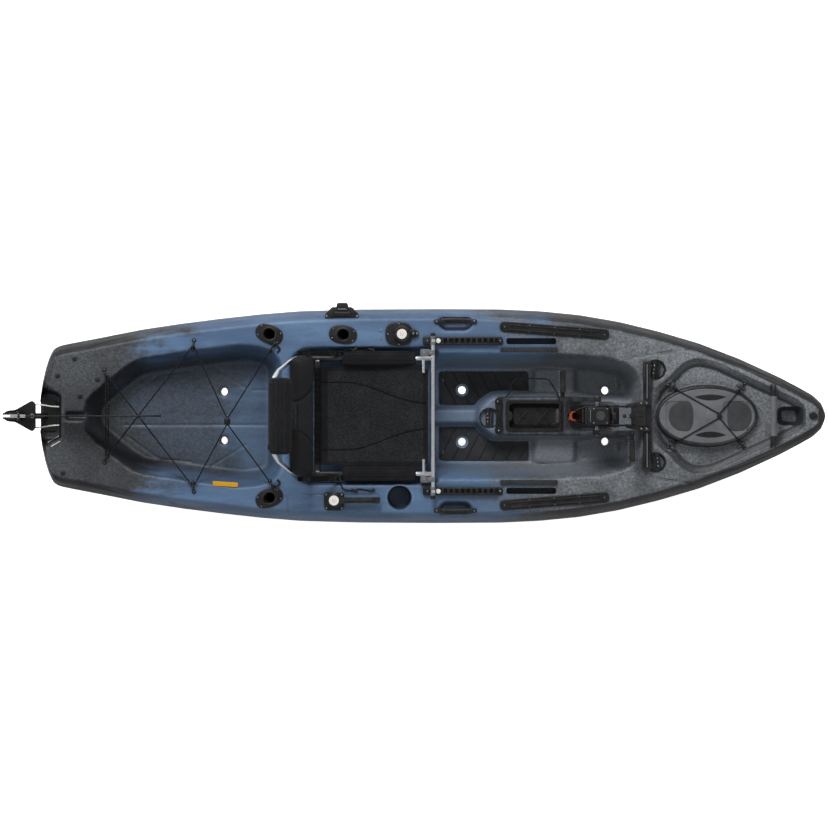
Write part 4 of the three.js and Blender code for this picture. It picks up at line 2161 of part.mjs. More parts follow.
const ROLL_HALF_LENGTH = across(0.352);
const ROLL_HALF_THICKNESS = 36;
const ROLL_HALF_WIDTH = 44;
const ROLL_SIDES = 12;
const ROLL_SHARES = [
  [-1, 0.55],
  [-0.97, 0.88],
  [-0.85, 1],
  [0, 1.03],
  [0.85, 1],
  [0.97, 0.88],
  [1, 0.55],
];
function headRoll() {
  const middle = backPoint(BACK_TOP_RISE, 0, 6);
  const rings = ROLL_SHARES.map(([out, swell]) =>
    ellipse(swell * ROLL_HALF_WIDTH, swell * ROLL_HALF_THICKNESS, ROLL_SIDES).map(([x, z]) =>
      point(middle.x + x, out * ROLL_HALF_LENGTH, middle.z + z),
    ),
  );
  const frame = sweep(
    bentPoints(
      [
        backPoint(BACK_BEND_RISE, SEAT_RAIL_Y),
        backPoint(BACK_TOP_RISE, BACK_TOP_HALF_WIDTH),
        backPoint(BACK_TOP_RISE, -BACK_TOP_HALF_WIDTH),
        backPoint(BACK_BEND_RISE, -SEAT_RAIL_Y),
      ],
      BACK_TUBE_BEND,
    ),
    BACK_TUBE_RADIUS + 3 * GAP,
  );
  return cut(loft(rings, seenFromSide), frame);
}
piece(kayak, "head_roll", headRoll(), FINISHES.fabric);

// Straps from the backrest's bends down to the seat's side rails, with a loop at each end
const STRAP_WIDTH = 24;
const STRAP_THICKNESS = 3;
const STRAP_FOOT_X = along(-0.1235);
const STRAP_RISE_OFFSET = 12;
const STRAP_RISE = BACK_BEND_RISE - STRAP_RISE_OFFSET;
const STRAP_LOOP = 12;
const STRAP_Y_OFFSET = 2;
const STRAP_Y = PAD_HALF_WIDTH + STRAP_Y_OFFSET;
SIDES.forEach(([name, side]) => {
  const top = backPoint(STRAP_RISE, 0);
  const foot = point(STRAP_FOOT_X, 0, SEAT_RAIL_Z + STRAP_LOOP / 2);
  const slope = foot.clone().sub(top).normalize();
  const upward = point(-slope.z, 0, slope.x).multiplyScalar(STRAP_WIDTH / 2);
  const outline = [
    top.clone().add(upward),
    foot.clone().add(upward),
    foot.clone().sub(upward),
    top.clone().sub(upward),
  ].map((at) => [at.x, at.z]);
  const outer = STRAP_Y + STRAP_THICKNESS;
  const loop = (at, innerY) =>
    sidePlate(
      shifted(rectangle(STRAP_LOOP, STRAP_LOOP), at.x, at.z),
      side * (innerY + 2 * GAP),
      side * (outer - 1),
    );
  const strap = joined(
    sidePlate(outline, side * STRAP_Y, side * outer),
    loop(top, SEAT_RAIL_Y + BACK_TUBE_RADIUS),
    loop(foot, SEAT_RAIL_Y + SEAT_TUBE_RADIUS),
  );
  piece(kayak, `${name}_seat_strap`, strap, FINISHES.fabric);
});

// Pedal drive. Housing: a base plate on the console, a hollow head round the crank's bevel gear, hinge ears ahead
const HEAD_HALF_WIDTH = 38;
const HEAD_WALL = 5;
const HEAD_HALF_LENGTH = 51;
const HEAD_NOSE_X_OFFSET = 83;
const HEAD_NOSE_X = CRANK_X - HEAD_NOSE_X_OFFSET;
const HEAD_CAVITY_FOOT_OFFSET = 46;
const HEAD_CAVITY_FOOT = CRANK_HEIGHT - HEAD_CAVITY_FOOT_OFFSET;
const HEAD_CORNER = 14;
const SHAFT_RADIUS = 5;
const SHAFT_BORE_RADIUS = 9;
const SPINDLE_RADIUS = 8;
const SPINDLE_HALF_LENGTH = 77;
const COVER_HEIGHT = 51;
const headOutline = (aftX, foreX, halfWidth, corner) =>
  rounded(
    shifted(rectangle(foreX - aftX, 2 * halfWidth), (aftX + foreX) / 2, 0),
    corner,
    2,
  );
function driveHousing() {
  const plateTop = DRIVE_RECESS_FLOOR + GAP + DRIVE_SEAT_THICKNESS;
  const foreX = CRANK_X + HEAD_HALF_LENGTH;
  const aftX = CRANK_X - HEAD_HALF_LENGTH;
  const ring = (height, aft, halfWidth) =>
    levelRing(headOutline(aft, foreX, halfWidth, HEAD_CORNER), height);
  const head = loft([
    ring(plateTop - 1, HEAD_NOSE_X, HEAD_HALF_WIDTH - 6),
    ring(plateTop + 2 * OVERRUN, HEAD_NOSE_X + 8, HEAD_HALF_WIDTH - 5),
    ring(HEAD_CAVITY_FOOT, aftX, HEAD_HALF_WIDTH),
    ring(CRANK_HEIGHT - GAP / 2, aftX, HEAD_HALF_WIDTH),
  ]);
  const plate = slab(
    headOutline(DRIVE_SEAT_AFT_X, DRIVE_SEAT_FORE_X, DRIVE_SEAT_HALF_WIDTH, HEAD_CORNER),
    DRIVE_RECESS_FLOOR + GAP,
    DRIVE_SEAT_THICKNESS,
    2,
  );
  const cavity = slab(
    headOutline(aftX + HEAD_WALL, foreX - HEAD_WALL, HEAD_HALF_WIDTH - HEAD_WALL, HEAD_CORNER - HEAD_WALL),
    HEAD_CAVITY_FOOT,
    HULL_DEPTH,
  );
  const ear = sidePlate(
    [
      [foreX - 2, DRIVE_HINGE_Z + HINGE_BARREL_RADIUS],
      [foreX - 2, DRIVE_HINGE_Z - 2 * HINGE_BARREL_RADIUS],
      [DRIVE_HINGE_X, DRIVE_HINGE_Z - HINGE_BARREL_RADIUS],
      [DRIVE_HINGE_X, DRIVE_HINGE_Z + HINGE_BARREL_RADIUS],
    ],
    -HINGE_BARREL_HALF_WIDTH,
    HINGE_BARREL_HALF_WIDTH,
  );
  const barrel = crosswise(
    DRIVE_HINGE_X,
    DRIVE_HINGE_Z,
    -HINGE_BARREL_HALF_WIDTH,
    HINGE_BARREL_HALF_WIDTH,
    HINGE_BARREL_RADIUS,
    16,
  );
  return cut(
    joined(head, plate, ear, barrel),
    cavity,
    upright(CRANK_X, 0, 0, CRANK_HEIGHT, SHAFT_BORE_RADIUS, 12),
    crosswise(CRANK_X, CRANK_HEIGHT, -HALF_BEAM, HALF_BEAM, SPINDLE_RADIUS + RUNNING_GAP, 12),
    crosswise(DRIVE_HINGE_X, DRIVE_HINGE_Z, -HALF_BEAM, HALF_BEAM, HINGE_PIN_RADIUS + GAP, 12),
  );
}
piece(kayak, "drive_housing", driveHousing(), FINISHES.blackPlastic);

// Cover: the upper half of the head, with a split bore for the spindle
const COVER_TOP_HALF_LENGTH = 38;
const COVER_SHOULDER_SHARE = 0.55;
function driveCover() {
  const foot = CRANK_HEIGHT + GAP / 2;
  const dome = (inset) =>
    loft([
      levelRing(
        headOutline(
          CRANK_X - HEAD_HALF_LENGTH + inset,
          CRANK_X + HEAD_HALF_LENGTH - inset,
          HEAD_HALF_WIDTH - 2 - inset,
          HEAD_CORNER - inset,
        ),
        foot - (inset ? OVERRUN : 0),
      ),
      levelRing(
        headOutline(
          CRANK_X - HEAD_HALF_LENGTH + 2 + inset,
          CRANK_X + HEAD_HALF_LENGTH - 2 - inset,
          HEAD_HALF_WIDTH - 2 - inset,
          HEAD_CORNER - inset,
        ),
        foot + COVER_SHOULDER_SHARE * COVER_HEIGHT,
      ),
      levelRing(
        headOutline(
          CRANK_X - COVER_TOP_HALF_LENGTH + inset,
          CRANK_X + COVER_TOP_HALF_LENGTH - inset,
          HEAD_HALF_WIDTH - 8 - inset,
          HEAD_CORNER - inset,
        ),
        foot + COVER_HEIGHT - inset,
      ),
    ]);
  return cut(
    dome(0),
    dome(HEAD_WALL),
    crosswise(CRANK_X, CRANK_HEIGHT, -HALF_BEAM, HALF_BEAM, SPINDLE_RADIUS + RUNNING_GAP, 12),
  );
}
piece(kayak, "drive_cover", driveCover(), FINISHES.greyPlastic);

piece(
  kayak,
  "drive_hinge_pin",
  joined(
    crosswise(
      DRIVE_HINGE_X,
      DRIVE_HINGE_Z,
      -BRACKET_ARM_INNER_Y - BRACKET_ARM_WIDTH - 1,
      BRACKET_ARM_INNER_Y + BRACKET_ARM_WIDTH + 1,
      HINGE_PIN_RADIUS,
      12,
    ),
    ...SIDES.map(([, side]) =>
      crosswise(
        DRIVE_HINGE_X,
        DRIVE_HINGE_Z,
        side * (BRACKET_ARM_INNER_Y + BRACKET_ARM_WIDTH + RUNNING_GAP),
        side * (BRACKET_ARM_INNER_Y + BRACKET_ARM_WIDTH + 6),
        HINGE_PIN_RADIUS + 4,
        8,
      ),
    ),
  ),
  FINISHES.steel,
);

// Leg: a foil section down to a round gear case, hollow for the shaft
const PROP_Z = -240;
const GEARCASE_RADIUS = 26;
const GEARCASE_BORE = 22.8;
const GEARCASE_AFT_X_OFFSET = 76;
const GEARCASE_AFT_X = CRANK_X - GEARCASE_AFT_X_OFFSET;
const GEARCASE_FORE_X_OFFSET = 64;
const GEARCASE_FORE_X = CRANK_X + GEARCASE_FORE_X_OFFSET;
const GEARCASE_BORE_HALF_LENGTH = 30;
const PROP_SHAFT_RADIUS = 5;
const LEG_SHARES = [
  [0, 0.12],
  [0.25, 0.72],
  [0.5, 1],
  [0.78, 0.85],
  [0.94, 0.45],
  [1, 0.1],
];
function driveLeg() {
  const section = mirrored(
    LEG_SHARES.map(([run, out]) => [LEG_AFT_X + run * LEG_CHORD, (out * LEG_THICKNESS) / 2]),
  );
  const foil = loft([levelRing(section, PROP_Z), levelRing(section, DRIVE_RECESS_FLOOR)]);
  const gearcase = turned(
    [
      [0, GEARCASE_AFT_X],
      [0.72 * GEARCASE_RADIUS, GEARCASE_AFT_X],
      [GEARCASE_RADIUS, GEARCASE_AFT_X + 34],
      [GEARCASE_RADIUS, GEARCASE_FORE_X - 34],
      [0.8 * GEARCASE_RADIUS, GEARCASE_FORE_X - 12],
      [0.4 * GEARCASE_RADIUS, GEARCASE_FORE_X - 2],
      [0, GEARCASE_FORE_X],
    ],
    16,
  )
    .rotateY(QUARTER_TURN)
    .translate(0, 0, PROP_Z);
  const chamber = lengthwise(
    0,
    PROP_Z,
    CRANK_X - GEARCASE_BORE_HALF_LENGTH,
    CRANK_X + GEARCASE_BORE_HALF_LENGTH - 6,
    GEARCASE_BORE,
    16,
  );
  return cut(
    joined(foil, gearcase),
    chamber,
    upright(CRANK_X, 0, PROP_Z, DRIVE_RECESS_FLOOR + OVERRUN, SHAFT_BORE_RADIUS, 12),
    lengthwise(0, PROP_Z, GEARCASE_AFT_X - OVERRUN, CRANK_X, PROP_SHAFT_RADIUS + RUNNING_GAP, 12),
  );
}
piece(kayak, "drive_leg", driveLeg(), FINISHES.blackPlastic);

// Release handle at the aft end of the housing
const RELEASE_LENGTH = 28;
const RELEASE_HALF_WIDTH = 23;
const RELEASE_TIP_HALF_WIDTH = 13;
const RELEASE_THICKNESS = 12;
const RELEASE_Z_OFFSET = 34;
const RELEASE_Z = DRIVE_RECESS_FLOOR + RELEASE_Z_OFFSET;
const RELEASE_AFT_X_OFFSET = 3;
const RELEASE_AFT_X = HEAD_NOSE_X + RELEASE_AFT_X_OFFSET - RELEASE_LENGTH;
function releaseHandle() {
  const outline = [
    [RELEASE_AFT_X + RELEASE_LENGTH, RELEASE_HALF_WIDTH],
    [RELEASE_AFT_X + 0.4 * RELEASE_LENGTH, RELEASE_HALF_WIDTH],
    [RELEASE_AFT_X, RELEASE_TIP_HALF_WIDTH],
    [RELEASE_AFT_X, -RELEASE_TIP_HALF_WIDTH],
    [RELEASE_AFT_X + 0.4 * RELEASE_LENGTH, -RELEASE_HALF_WIDTH],
    [RELEASE_AFT_X + RELEASE_LENGTH, -RELEASE_HALF_WIDTH],
  ];
  return slab(outline, RELEASE_Z - RELEASE_THICKNESS / 2, RELEASE_THICKNESS, 3);
}
piece(kayak, "release_handle", releaseHandle(), FINISHES.orangePlastic);

// Bevel gears. A wheel about Z whose pitch cone opens downwards from its apex at the origin.
const TOOTH_TIP_SHARE = 0.13;
const TOOTH_ROOT_SHARE = 0.28;
const ADDENDUM_SHARE = 0.75;
const DEDENDUM_SHARE = 1.05;
function bevelWheel({ teeth, pitchRadius, coneHeight, face, body, turn = 0 }) {
  const slant = Math.hypot(pitchRadius, coneHeight);
  const [sine, cosine] = [pitchRadius / slant, coneHeight / slant];
  const module = (2 * pitchRadius) / teeth;
  const toothed = (scale) =>
    Array.from({ length: teeth }, (_, tooth) =>
      [
        [-TOOTH_ROOT_SHARE, -DEDENDUM_SHARE],
        [-TOOTH_TIP_SHARE, ADDENDUM_SHARE],
        [TOOTH_TIP_SHARE, ADDENDUM_SHARE],
        [TOOTH_ROOT_SHARE, -DEDENDUM_SHARE],
      ].map(([share, height]) => {
        const angle = ((tooth + share + turn) / teeth) * 2 * HALF_TURN;
        const radius = scale * (pitchRadius + height * module * cosine);
        return point(
          radius * Math.cos(angle),
          radius * Math.sin(angle),
          scale * (-coneHeight + height * module * sine),
        );
      }),
    ).flat();
  const smooth = (ring, share, height) =>
    ring.map((at) => point(at.x, at.y, 0).setLength(share * pitchRadius).setZ(height));
  const outer = toothed(1);
  const inner = toothed(1 - face / slant);
  const backHeight = -coneHeight - DEDENDUM_SHARE * module * sine - body;
  return loft([smooth(outer, body > 6 ? 0.45 : 0.86, backHeight), outer, inner]);
}
const CRANK_TEETH = 24;
const SHAFT_TOP_TEETH = 6;
const SHAFT_FOOT_TEETH = 15;
const PROP_TEETH = 6;
const CRANK_GEAR_RADIUS = 38;
const FOOT_GEAR_RADIUS = 19;
const TOP_FACE = 9;
const FOOT_FACE = 5;
const TOP_PINION_RADIUS = (CRANK_GEAR_RADIUS * SHAFT_TOP_TEETH) / CRANK_TEETH;
const PROP_PINION_RADIUS = (FOOT_GEAR_RADIUS * PROP_TEETH) / SHAFT_FOOT_TEETH;
const HALF_TOOTH = 0.5;

const spindle = group(kayak, CRANK_X, 0, CRANK_HEIGHT);
piece(
  spindle,
  "crank_spindle",
  crosswise(0, 0, -SPINDLE_HALF_LENGTH, SPINDLE_HALF_LENGTH, SPINDLE_RADIUS, 12),
  FINISHES.steel,
);
function crankGear() {
  const wheel = bevelWheel({
    teeth: CRANK_TEETH,
    pitchRadius: CRANK_GEAR_RADIUS,
    coneHeight: TOP_PINION_RADIUS,
    face: TOP_FACE,
    body: 9,
    turn: HALF_TOOTH,
  }).rotateX(QUARTER_TURN);
  return cut(wheel, crosswise(0, 0, -HALF_BEAM, HALF_BEAM, SPINDLE_RADIUS + GAP, 12));
}
piece(spindle, "crank_gear", crankGear(), FINISHES.steel);

function driveShaft() {
  const pinion = bevelWheel({
    teeth: SHAFT_TOP_TEETH,
    pitchRadius: TOP_PINION_RADIUS,
    coneHeight: CRANK_GEAR_RADIUS,
    face: TOP_FACE,
    body: 4,
    turn: HALF_TOOTH,
  }).translate(0, 0, CRANK_HEIGHT);
  const wheel = bevelWheel({
    teeth: SHAFT_FOOT_TEETH,
    pitchRadius: FOOT_GEAR_RADIUS,
    coneHeight: PROP_PINION_RADIUS,
    face: FOOT_FACE,
    body: 3,
    turn: HALF_TOOTH,
  })
    .rotateX(HALF_TURN)
    .translate(0, 0, PROP_Z);
  const footHeight = PROP_Z + PROP_PINION_RADIUS + 4;
  const rodBetween = upright(0, 0, footHeight, CRANK_HEIGHT - CRANK_GEAR_RADIUS, SHAFT_RADIUS, 10);
  return joined(pinion, wheel, rodBetween);
}
piece(group(kayak, CRANK_X, 0, 0), "drive_shaft", driveShaft(), FINISHES.steel);

// Propeller with its shaft and pinion
const PROP_RADIUS = 110;
const PROP_BLADES = 3;
const PROP_HUB_RADIUS = 17;
const PROP_HUB_LENGTH = 28;
const PROP_PITCH = 150;
const PROP_BLADE_CHORD = 42;
const PROP_BLADE_THICKNESS = 5;
const PROP_BLADE_SHARES = [
  [0.08, 0.5],
  [0.35, 0.95],
  [0.65, 1],
  [0.88, 0.75],
  [1, 0.3],
];
function propeller() {
  const hubX = GEARCASE_AFT_X - RUNNING_GAP - PROP_HUB_LENGTH / 2 - 1;
  const hub = turned(
    [
      [0, hubX + PROP_HUB_LENGTH / 2],
      [PROP_HUB_RADIUS, hubX + PROP_HUB_LENGTH / 2],
      [PROP_HUB_RADIUS - 1, hubX - PROP_HUB_LENGTH / 2],
      [0.6 * PROP_HUB_RADIUS, hubX - PROP_HUB_LENGTH],
      [0, hubX - 1.2 * PROP_HUB_LENGTH],
    ],
    14,
  ).rotateY(QUARTER_TURN);
  const blade = loft(
    PROP_BLADE_SHARES.map(([run, share]) => {
      const radius = run * PROP_RADIUS;
      const twist = Math.atan2(PROP_PITCH, 2 * HALF_TURN * Math.max(radius, PROP_HUB_RADIUS));
      const half = (share * PROP_BLADE_CHORD) / 2;
      const thick = PROP_BLADE_THICKNESS * (1 - 0.6 * run);
      return ellipse(half, thick / 2, 8).map(([chord, thickness]) =>
        point(
          hubX + chord * Math.sin(twist) + thickness * Math.cos(twist),
          chord * Math.cos(twist) - thickness * Math.sin(twist),
          radius,
        ),
      );
    }),
  );
  const blades = turns(PROP_BLADES).map((turn) => blade.clone().rotateX(turn));
  const pinion = bevelWheel({
    teeth: PROP_TEETH,
    pitchRadius: PROP_PINION_RADIUS,
    coneHeight: FOOT_GEAR_RADIUS,
    face: FOOT_FACE,
    body: 3,
    turn: HALF_TOOTH,
  })
    .rotateY(QUARTER_TURN)
    .translate(CRANK_X, 0, 0);
  const shaft = lengthwise(
    0,
    0,
    hubX,
    CRANK_X - FOOT_GEAR_RADIUS,
    PROP_SHAFT_RADIUS,
    10,
  );
  return joined(hub, ...blades, shaft, pinion).translate([0, 0, PROP_Z]);
}
piece(kayak, "propeller", propeller(), FINISHES.blackPlastic);

// Crank arms and pedals
const CRANK_ANGLE = radians(18.8);
const ARM_INNER_Y = 60;
const ARM_THICKNESS = 18;
const ARM_HUB_RADIUS = 17;
const ARM_END_RADIUS = 12;
const PEDAL_AXLE_RADIUS = 6;
const PEDAL_INNER_Y = across(0.222);
const PEDAL_WIDTH = 89;
const PEDAL_THICKNESS = 24;
const PEDAL_HEIGHT = 84;
const PEDAL_WINDOW_SHARE = 0.34;
function crankArm(side, angle) {
  const endX = CRANK_LENGTH * Math.cos(angle);
  const endZ = CRANK_LENGTH * Math.sin(angle);
  const tangent = Math.acos((ARM_HUB_RADIUS - ARM_END_RADIUS) / CRANK_LENGTH);
  const arc = (x, z, radius, from, to) =>
    Array.from({ length: 7 }, (_, step) => {
      const turn = angle + THREE.MathUtils.lerp(from, to, step / 6);
      return [x + radius * Math.cos(turn), z + radius * Math.sin(turn)];
    });
  const outline = [
    ...arc(0, 0, ARM_HUB_RADIUS, tangent, 2 * HALF_TURN - tangent),
    ...arc(endX, endZ, ARM_END_RADIUS, -tangent, tangent),
  ];
  const [inner, outer] = [side * ARM_INNER_Y, side * (ARM_INNER_Y + ARM_THICKNESS)];
  return cut(
    sidePlate(outline, inner, outer),
    crosswise(0, 0, -HALF_BEAM, HALF_BEAM, SPINDLE_RADIUS + GAP, 12),
    crosswise(endX, endZ, -HALF_BEAM, HALF_BEAM, PEDAL_AXLE_RADIUS + RUNNING_GAP, 12),
  ).translate([CRANK_X, 0, CRANK_HEIGHT]);
}
function pedal(side, angle) {
  const [inner, outer] = [side * PEDAL_INNER_Y, side * (PEDAL_INNER_Y + PEDAL_WIDTH)];
  const body = sidePlate(rounded(rectangle(PEDAL_THICKNESS, PEDAL_HEIGHT), 8, 2), inner, outer);
  const windows = [-1, 1].map((half) =>
    block(
      point(
        -PEDAL_HEIGHT,
        side * (PEDAL_INNER_Y + PEDAL_WIDTH / 2) - PEDAL_WINDOW_SHARE * PEDAL_WIDTH,
        half > 0 ? 14 : -PEDAL_HEIGHT / 2 + 9,
      ),
      point(
        PEDAL_HEIGHT,
        side * (PEDAL_INNER_Y + PEDAL_WIDTH / 2) + PEDAL_WINDOW_SHARE * PEDAL_WIDTH,
        half > 0 ? PEDAL_HEIGHT / 2 - 9 : -14,
      ),
    ),
  );
  const axle = crosswise(0, 0, side * (ARM_INNER_Y - 1), side * (PEDAL_INNER_Y + 2), PEDAL_AXLE_RADIUS, 10);
  const collar = crosswise(
    0,
    0,
    side * (ARM_INNER_Y + ARM_THICKNESS + RUNNING_GAP),
    side * (PEDAL_INNER_Y + 1),
    PEDAL_AXLE_RADIUS + 3,
    10,
  );
  return joined(cut(body, ...windows), axle, collar).translate([
    CRANK_X + CRANK_LENGTH * Math.cos(angle),
    0,
    CRANK_HEIGHT + CRANK_LENGTH * Math.sin(angle),
  ]);
}
[
  ["port", 1, HALF_TURN + CRANK_ANGLE],
  ["starboard", -1, CRANK_ANGLE],
].forEach(([name, side, angle]) => {
  piece(kayak, `${name}_crank_arm`, crankArm(side, angle), FINISHES.blackAluminium);
  piece(kayak, `${name}_pedal`, pedal(side, angle), FINISHES.blackPlastic);
});

export default kayak;
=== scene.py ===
"""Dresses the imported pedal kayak: moulded hull, framed mesh seat, pedal drive, rudder and fittings."""

import logging
import math
from dataclasses import dataclass, field
from enum import Enum
from typing import Callable, Iterable, Sequence

import bmesh
import bpy
import numpy as np
from mathutils import Matrix, Vector
from mathutils.bvhtree import BVHTree


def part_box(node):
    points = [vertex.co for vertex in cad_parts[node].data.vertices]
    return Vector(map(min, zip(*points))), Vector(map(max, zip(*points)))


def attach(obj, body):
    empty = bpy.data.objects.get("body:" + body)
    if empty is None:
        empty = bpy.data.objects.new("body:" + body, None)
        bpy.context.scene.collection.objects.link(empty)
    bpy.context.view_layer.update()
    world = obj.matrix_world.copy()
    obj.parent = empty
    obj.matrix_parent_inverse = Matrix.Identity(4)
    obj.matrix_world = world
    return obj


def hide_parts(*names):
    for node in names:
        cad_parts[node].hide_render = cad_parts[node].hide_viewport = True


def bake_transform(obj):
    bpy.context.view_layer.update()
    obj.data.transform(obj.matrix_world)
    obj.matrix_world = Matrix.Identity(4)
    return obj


log = logging.getLogger("kayak")
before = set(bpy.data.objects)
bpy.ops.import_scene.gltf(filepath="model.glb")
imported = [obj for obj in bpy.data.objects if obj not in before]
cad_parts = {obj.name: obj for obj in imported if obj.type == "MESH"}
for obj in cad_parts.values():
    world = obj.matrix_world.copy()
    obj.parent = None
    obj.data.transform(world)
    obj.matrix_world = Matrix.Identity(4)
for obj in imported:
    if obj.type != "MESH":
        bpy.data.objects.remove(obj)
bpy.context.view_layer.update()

Point = tuple[float, float, float]
Outline = list[tuple[float, float]]
MM = 0.001
SIDES = ((1, "port"), (-1, "starboard"))


# Finishes


class Pattern(Enum):
    """What a finish shows close up."""

    MOULDED = "moulded"
    BRUSHED = "brushed"
    WOVEN = "woven"
    NET = "net"
    FOAM = "foam"
    BRAID = "braid"
    HULL = "hull"


def srgb(red: int, green: int, blue: int) -> tuple[float, float, float, float]:
    """Turns a screen colour into the linear one that a material takes.

    Args:
        red: Red, 0 to 255.
        green: Green, 0 to 255.
        blue: Blue, 0 to 255.

    Returns:
        The linear colour with full alpha.
    """
    channels = [
        c / 255 / 12.92 if c / 255 <= 0.04045 else ((c / 255 + 0.055) / 1.055) ** 2.4
        for c in (red, green, blue)
    ]
    return (*channels, 1.0)


class Wiring:
    """Adds nodes to a tree and joins them, so that a tree reads from top to bottom."""

    def __init__(self, tree: bpy.types.NodeTree) -> None:
        """Keeps the tree that it wires."""
        self.tree = tree

    def add(self, kind: str, inputs: dict | None = None, **settings: object) -> bpy.types.Node:
        """Adds one node.

        Args:
            kind: Blender's name of the node's type.
            inputs: What each socket gets, a value or another node's output.
            settings: The node's own properties.

        Returns:
            The new node.
        """
        node = self.tree.nodes.new(kind)
        for name, value in settings.items():
            setattr(node, name, value)
        for socket, value in (inputs or {}).items():
            self.set(node.inputs[socket], value)
        return node

    def set(self, socket: bpy.types.NodeSocket, value: object) -> None:
        """Joins an output to the socket, or writes a plain value on it."""
        if isinstance(value, bpy.types.NodeSocket):
            self.tree.links.new(value, socket)
        else:
            socket.default_value = value

    def math(self, operation: str, *values: object, clamp: bool = False) -> bpy.types.NodeSocket:
        """Adds a Math node.

        Args:
            operation: The node's operation.
            values: Numbers or outputs, in order.
            clamp: Whether the result is kept from 0 to 1.

        Returns:
            The node's output.
        """
        node = self.add("ShaderNodeMath", operation=operation, use_clamp=clamp)
        for i, value in enumerate(values):
            self.set(node.inputs[i], value)
        return node.outputs[0]

    def times(self, first: object, *others: object) -> bpy.types.NodeSocket:
        """Multiplies values one after the other."""
        for other in others:
            first = self.math("MULTIPLY", first, other)
        return first

    def ramp(
        self, value: object, low: float, high: float, out_low: float = 0.0, out_high: float = 1.0
    ) -> bpy.types.NodeSocket:
        """Maps a value smoothly from one range to another.

        Args:
            value: The output that is mapped.
            low: Where the range starts.
            high: Where it ends.
            out_low: The result at the start.
            out_high: The result at the end.

        Returns:
            The mapped value.
        """
        node = self.add("ShaderNodeMapRange", interpolation_type="SMOOTHSTEP")
        for i, v in enumerate((value, low, high, out_low, out_high)):
            self.set(node.inputs[i], v)
        return node.outputs[0]

    def mix(self, factor: object, first: object, second: object) -> bpy.types.NodeSocket:
        """Mixes two colours.

        Args:
            factor: How much of the second shows.
            first: The first colour.
            second: The second colour.

        Returns:
            The mixed colour.
        """
        node = self.add("ShaderNodeMix", data_type="RGBA")
        self.set(node.inputs["Factor"], factor)
        colours = [s for s in node.inputs if s.type == "RGBA"]
        self.set(colours[0], first)
        self.set(colours[1], second)
        return next(s for s in node.outputs if s.type == "RGBA")

    def noise(
        self, vector: object, scale: object, detail: float = 3.0, rough: float = 0.55
    ) -> bpy.types.NodeSocket:
        """Adds a noise pattern and gives its value."""
        node = self.add(
            "ShaderNodeTexNoise", {"Vector": vector, "Scale": scale, "Detail": detail, "Roughness": rough}
        )
        return node.outputs["Fac"]


def shader_group(
    name: str, inputs: dict[str, tuple[str, float]], outputs: Sequence[str]
) -> tuple[bpy.types.NodeTree, Wiring, bpy.types.Node, bpy.types.Node]:
    """Starts a shader group with named sockets.

    Args:
        name: The group's name.
        inputs: Each input's socket type and default.
        outputs: The names of its value outputs.

    Returns:
        The tree, its wiring, its input node and its output node.
    """
    tree = bpy.data.node_groups.new(name, "ShaderNodeTree")
    for label, (kind, default) in inputs.items():
        socket = tree.interface.new_socket(label, in_out="INPUT", socket_type=kind)
        if kind == "NodeSocketFloat":
            socket.default_value = default
    for label in outputs:
        tree.interface.new_socket(label, in_out="OUTPUT", socket_type="NodeSocketFloat")
    wiring = Wiring(tree)
    return tree, wiring, wiring.add("NodeGroupInput"), wiring.add("NodeGroupOutput")


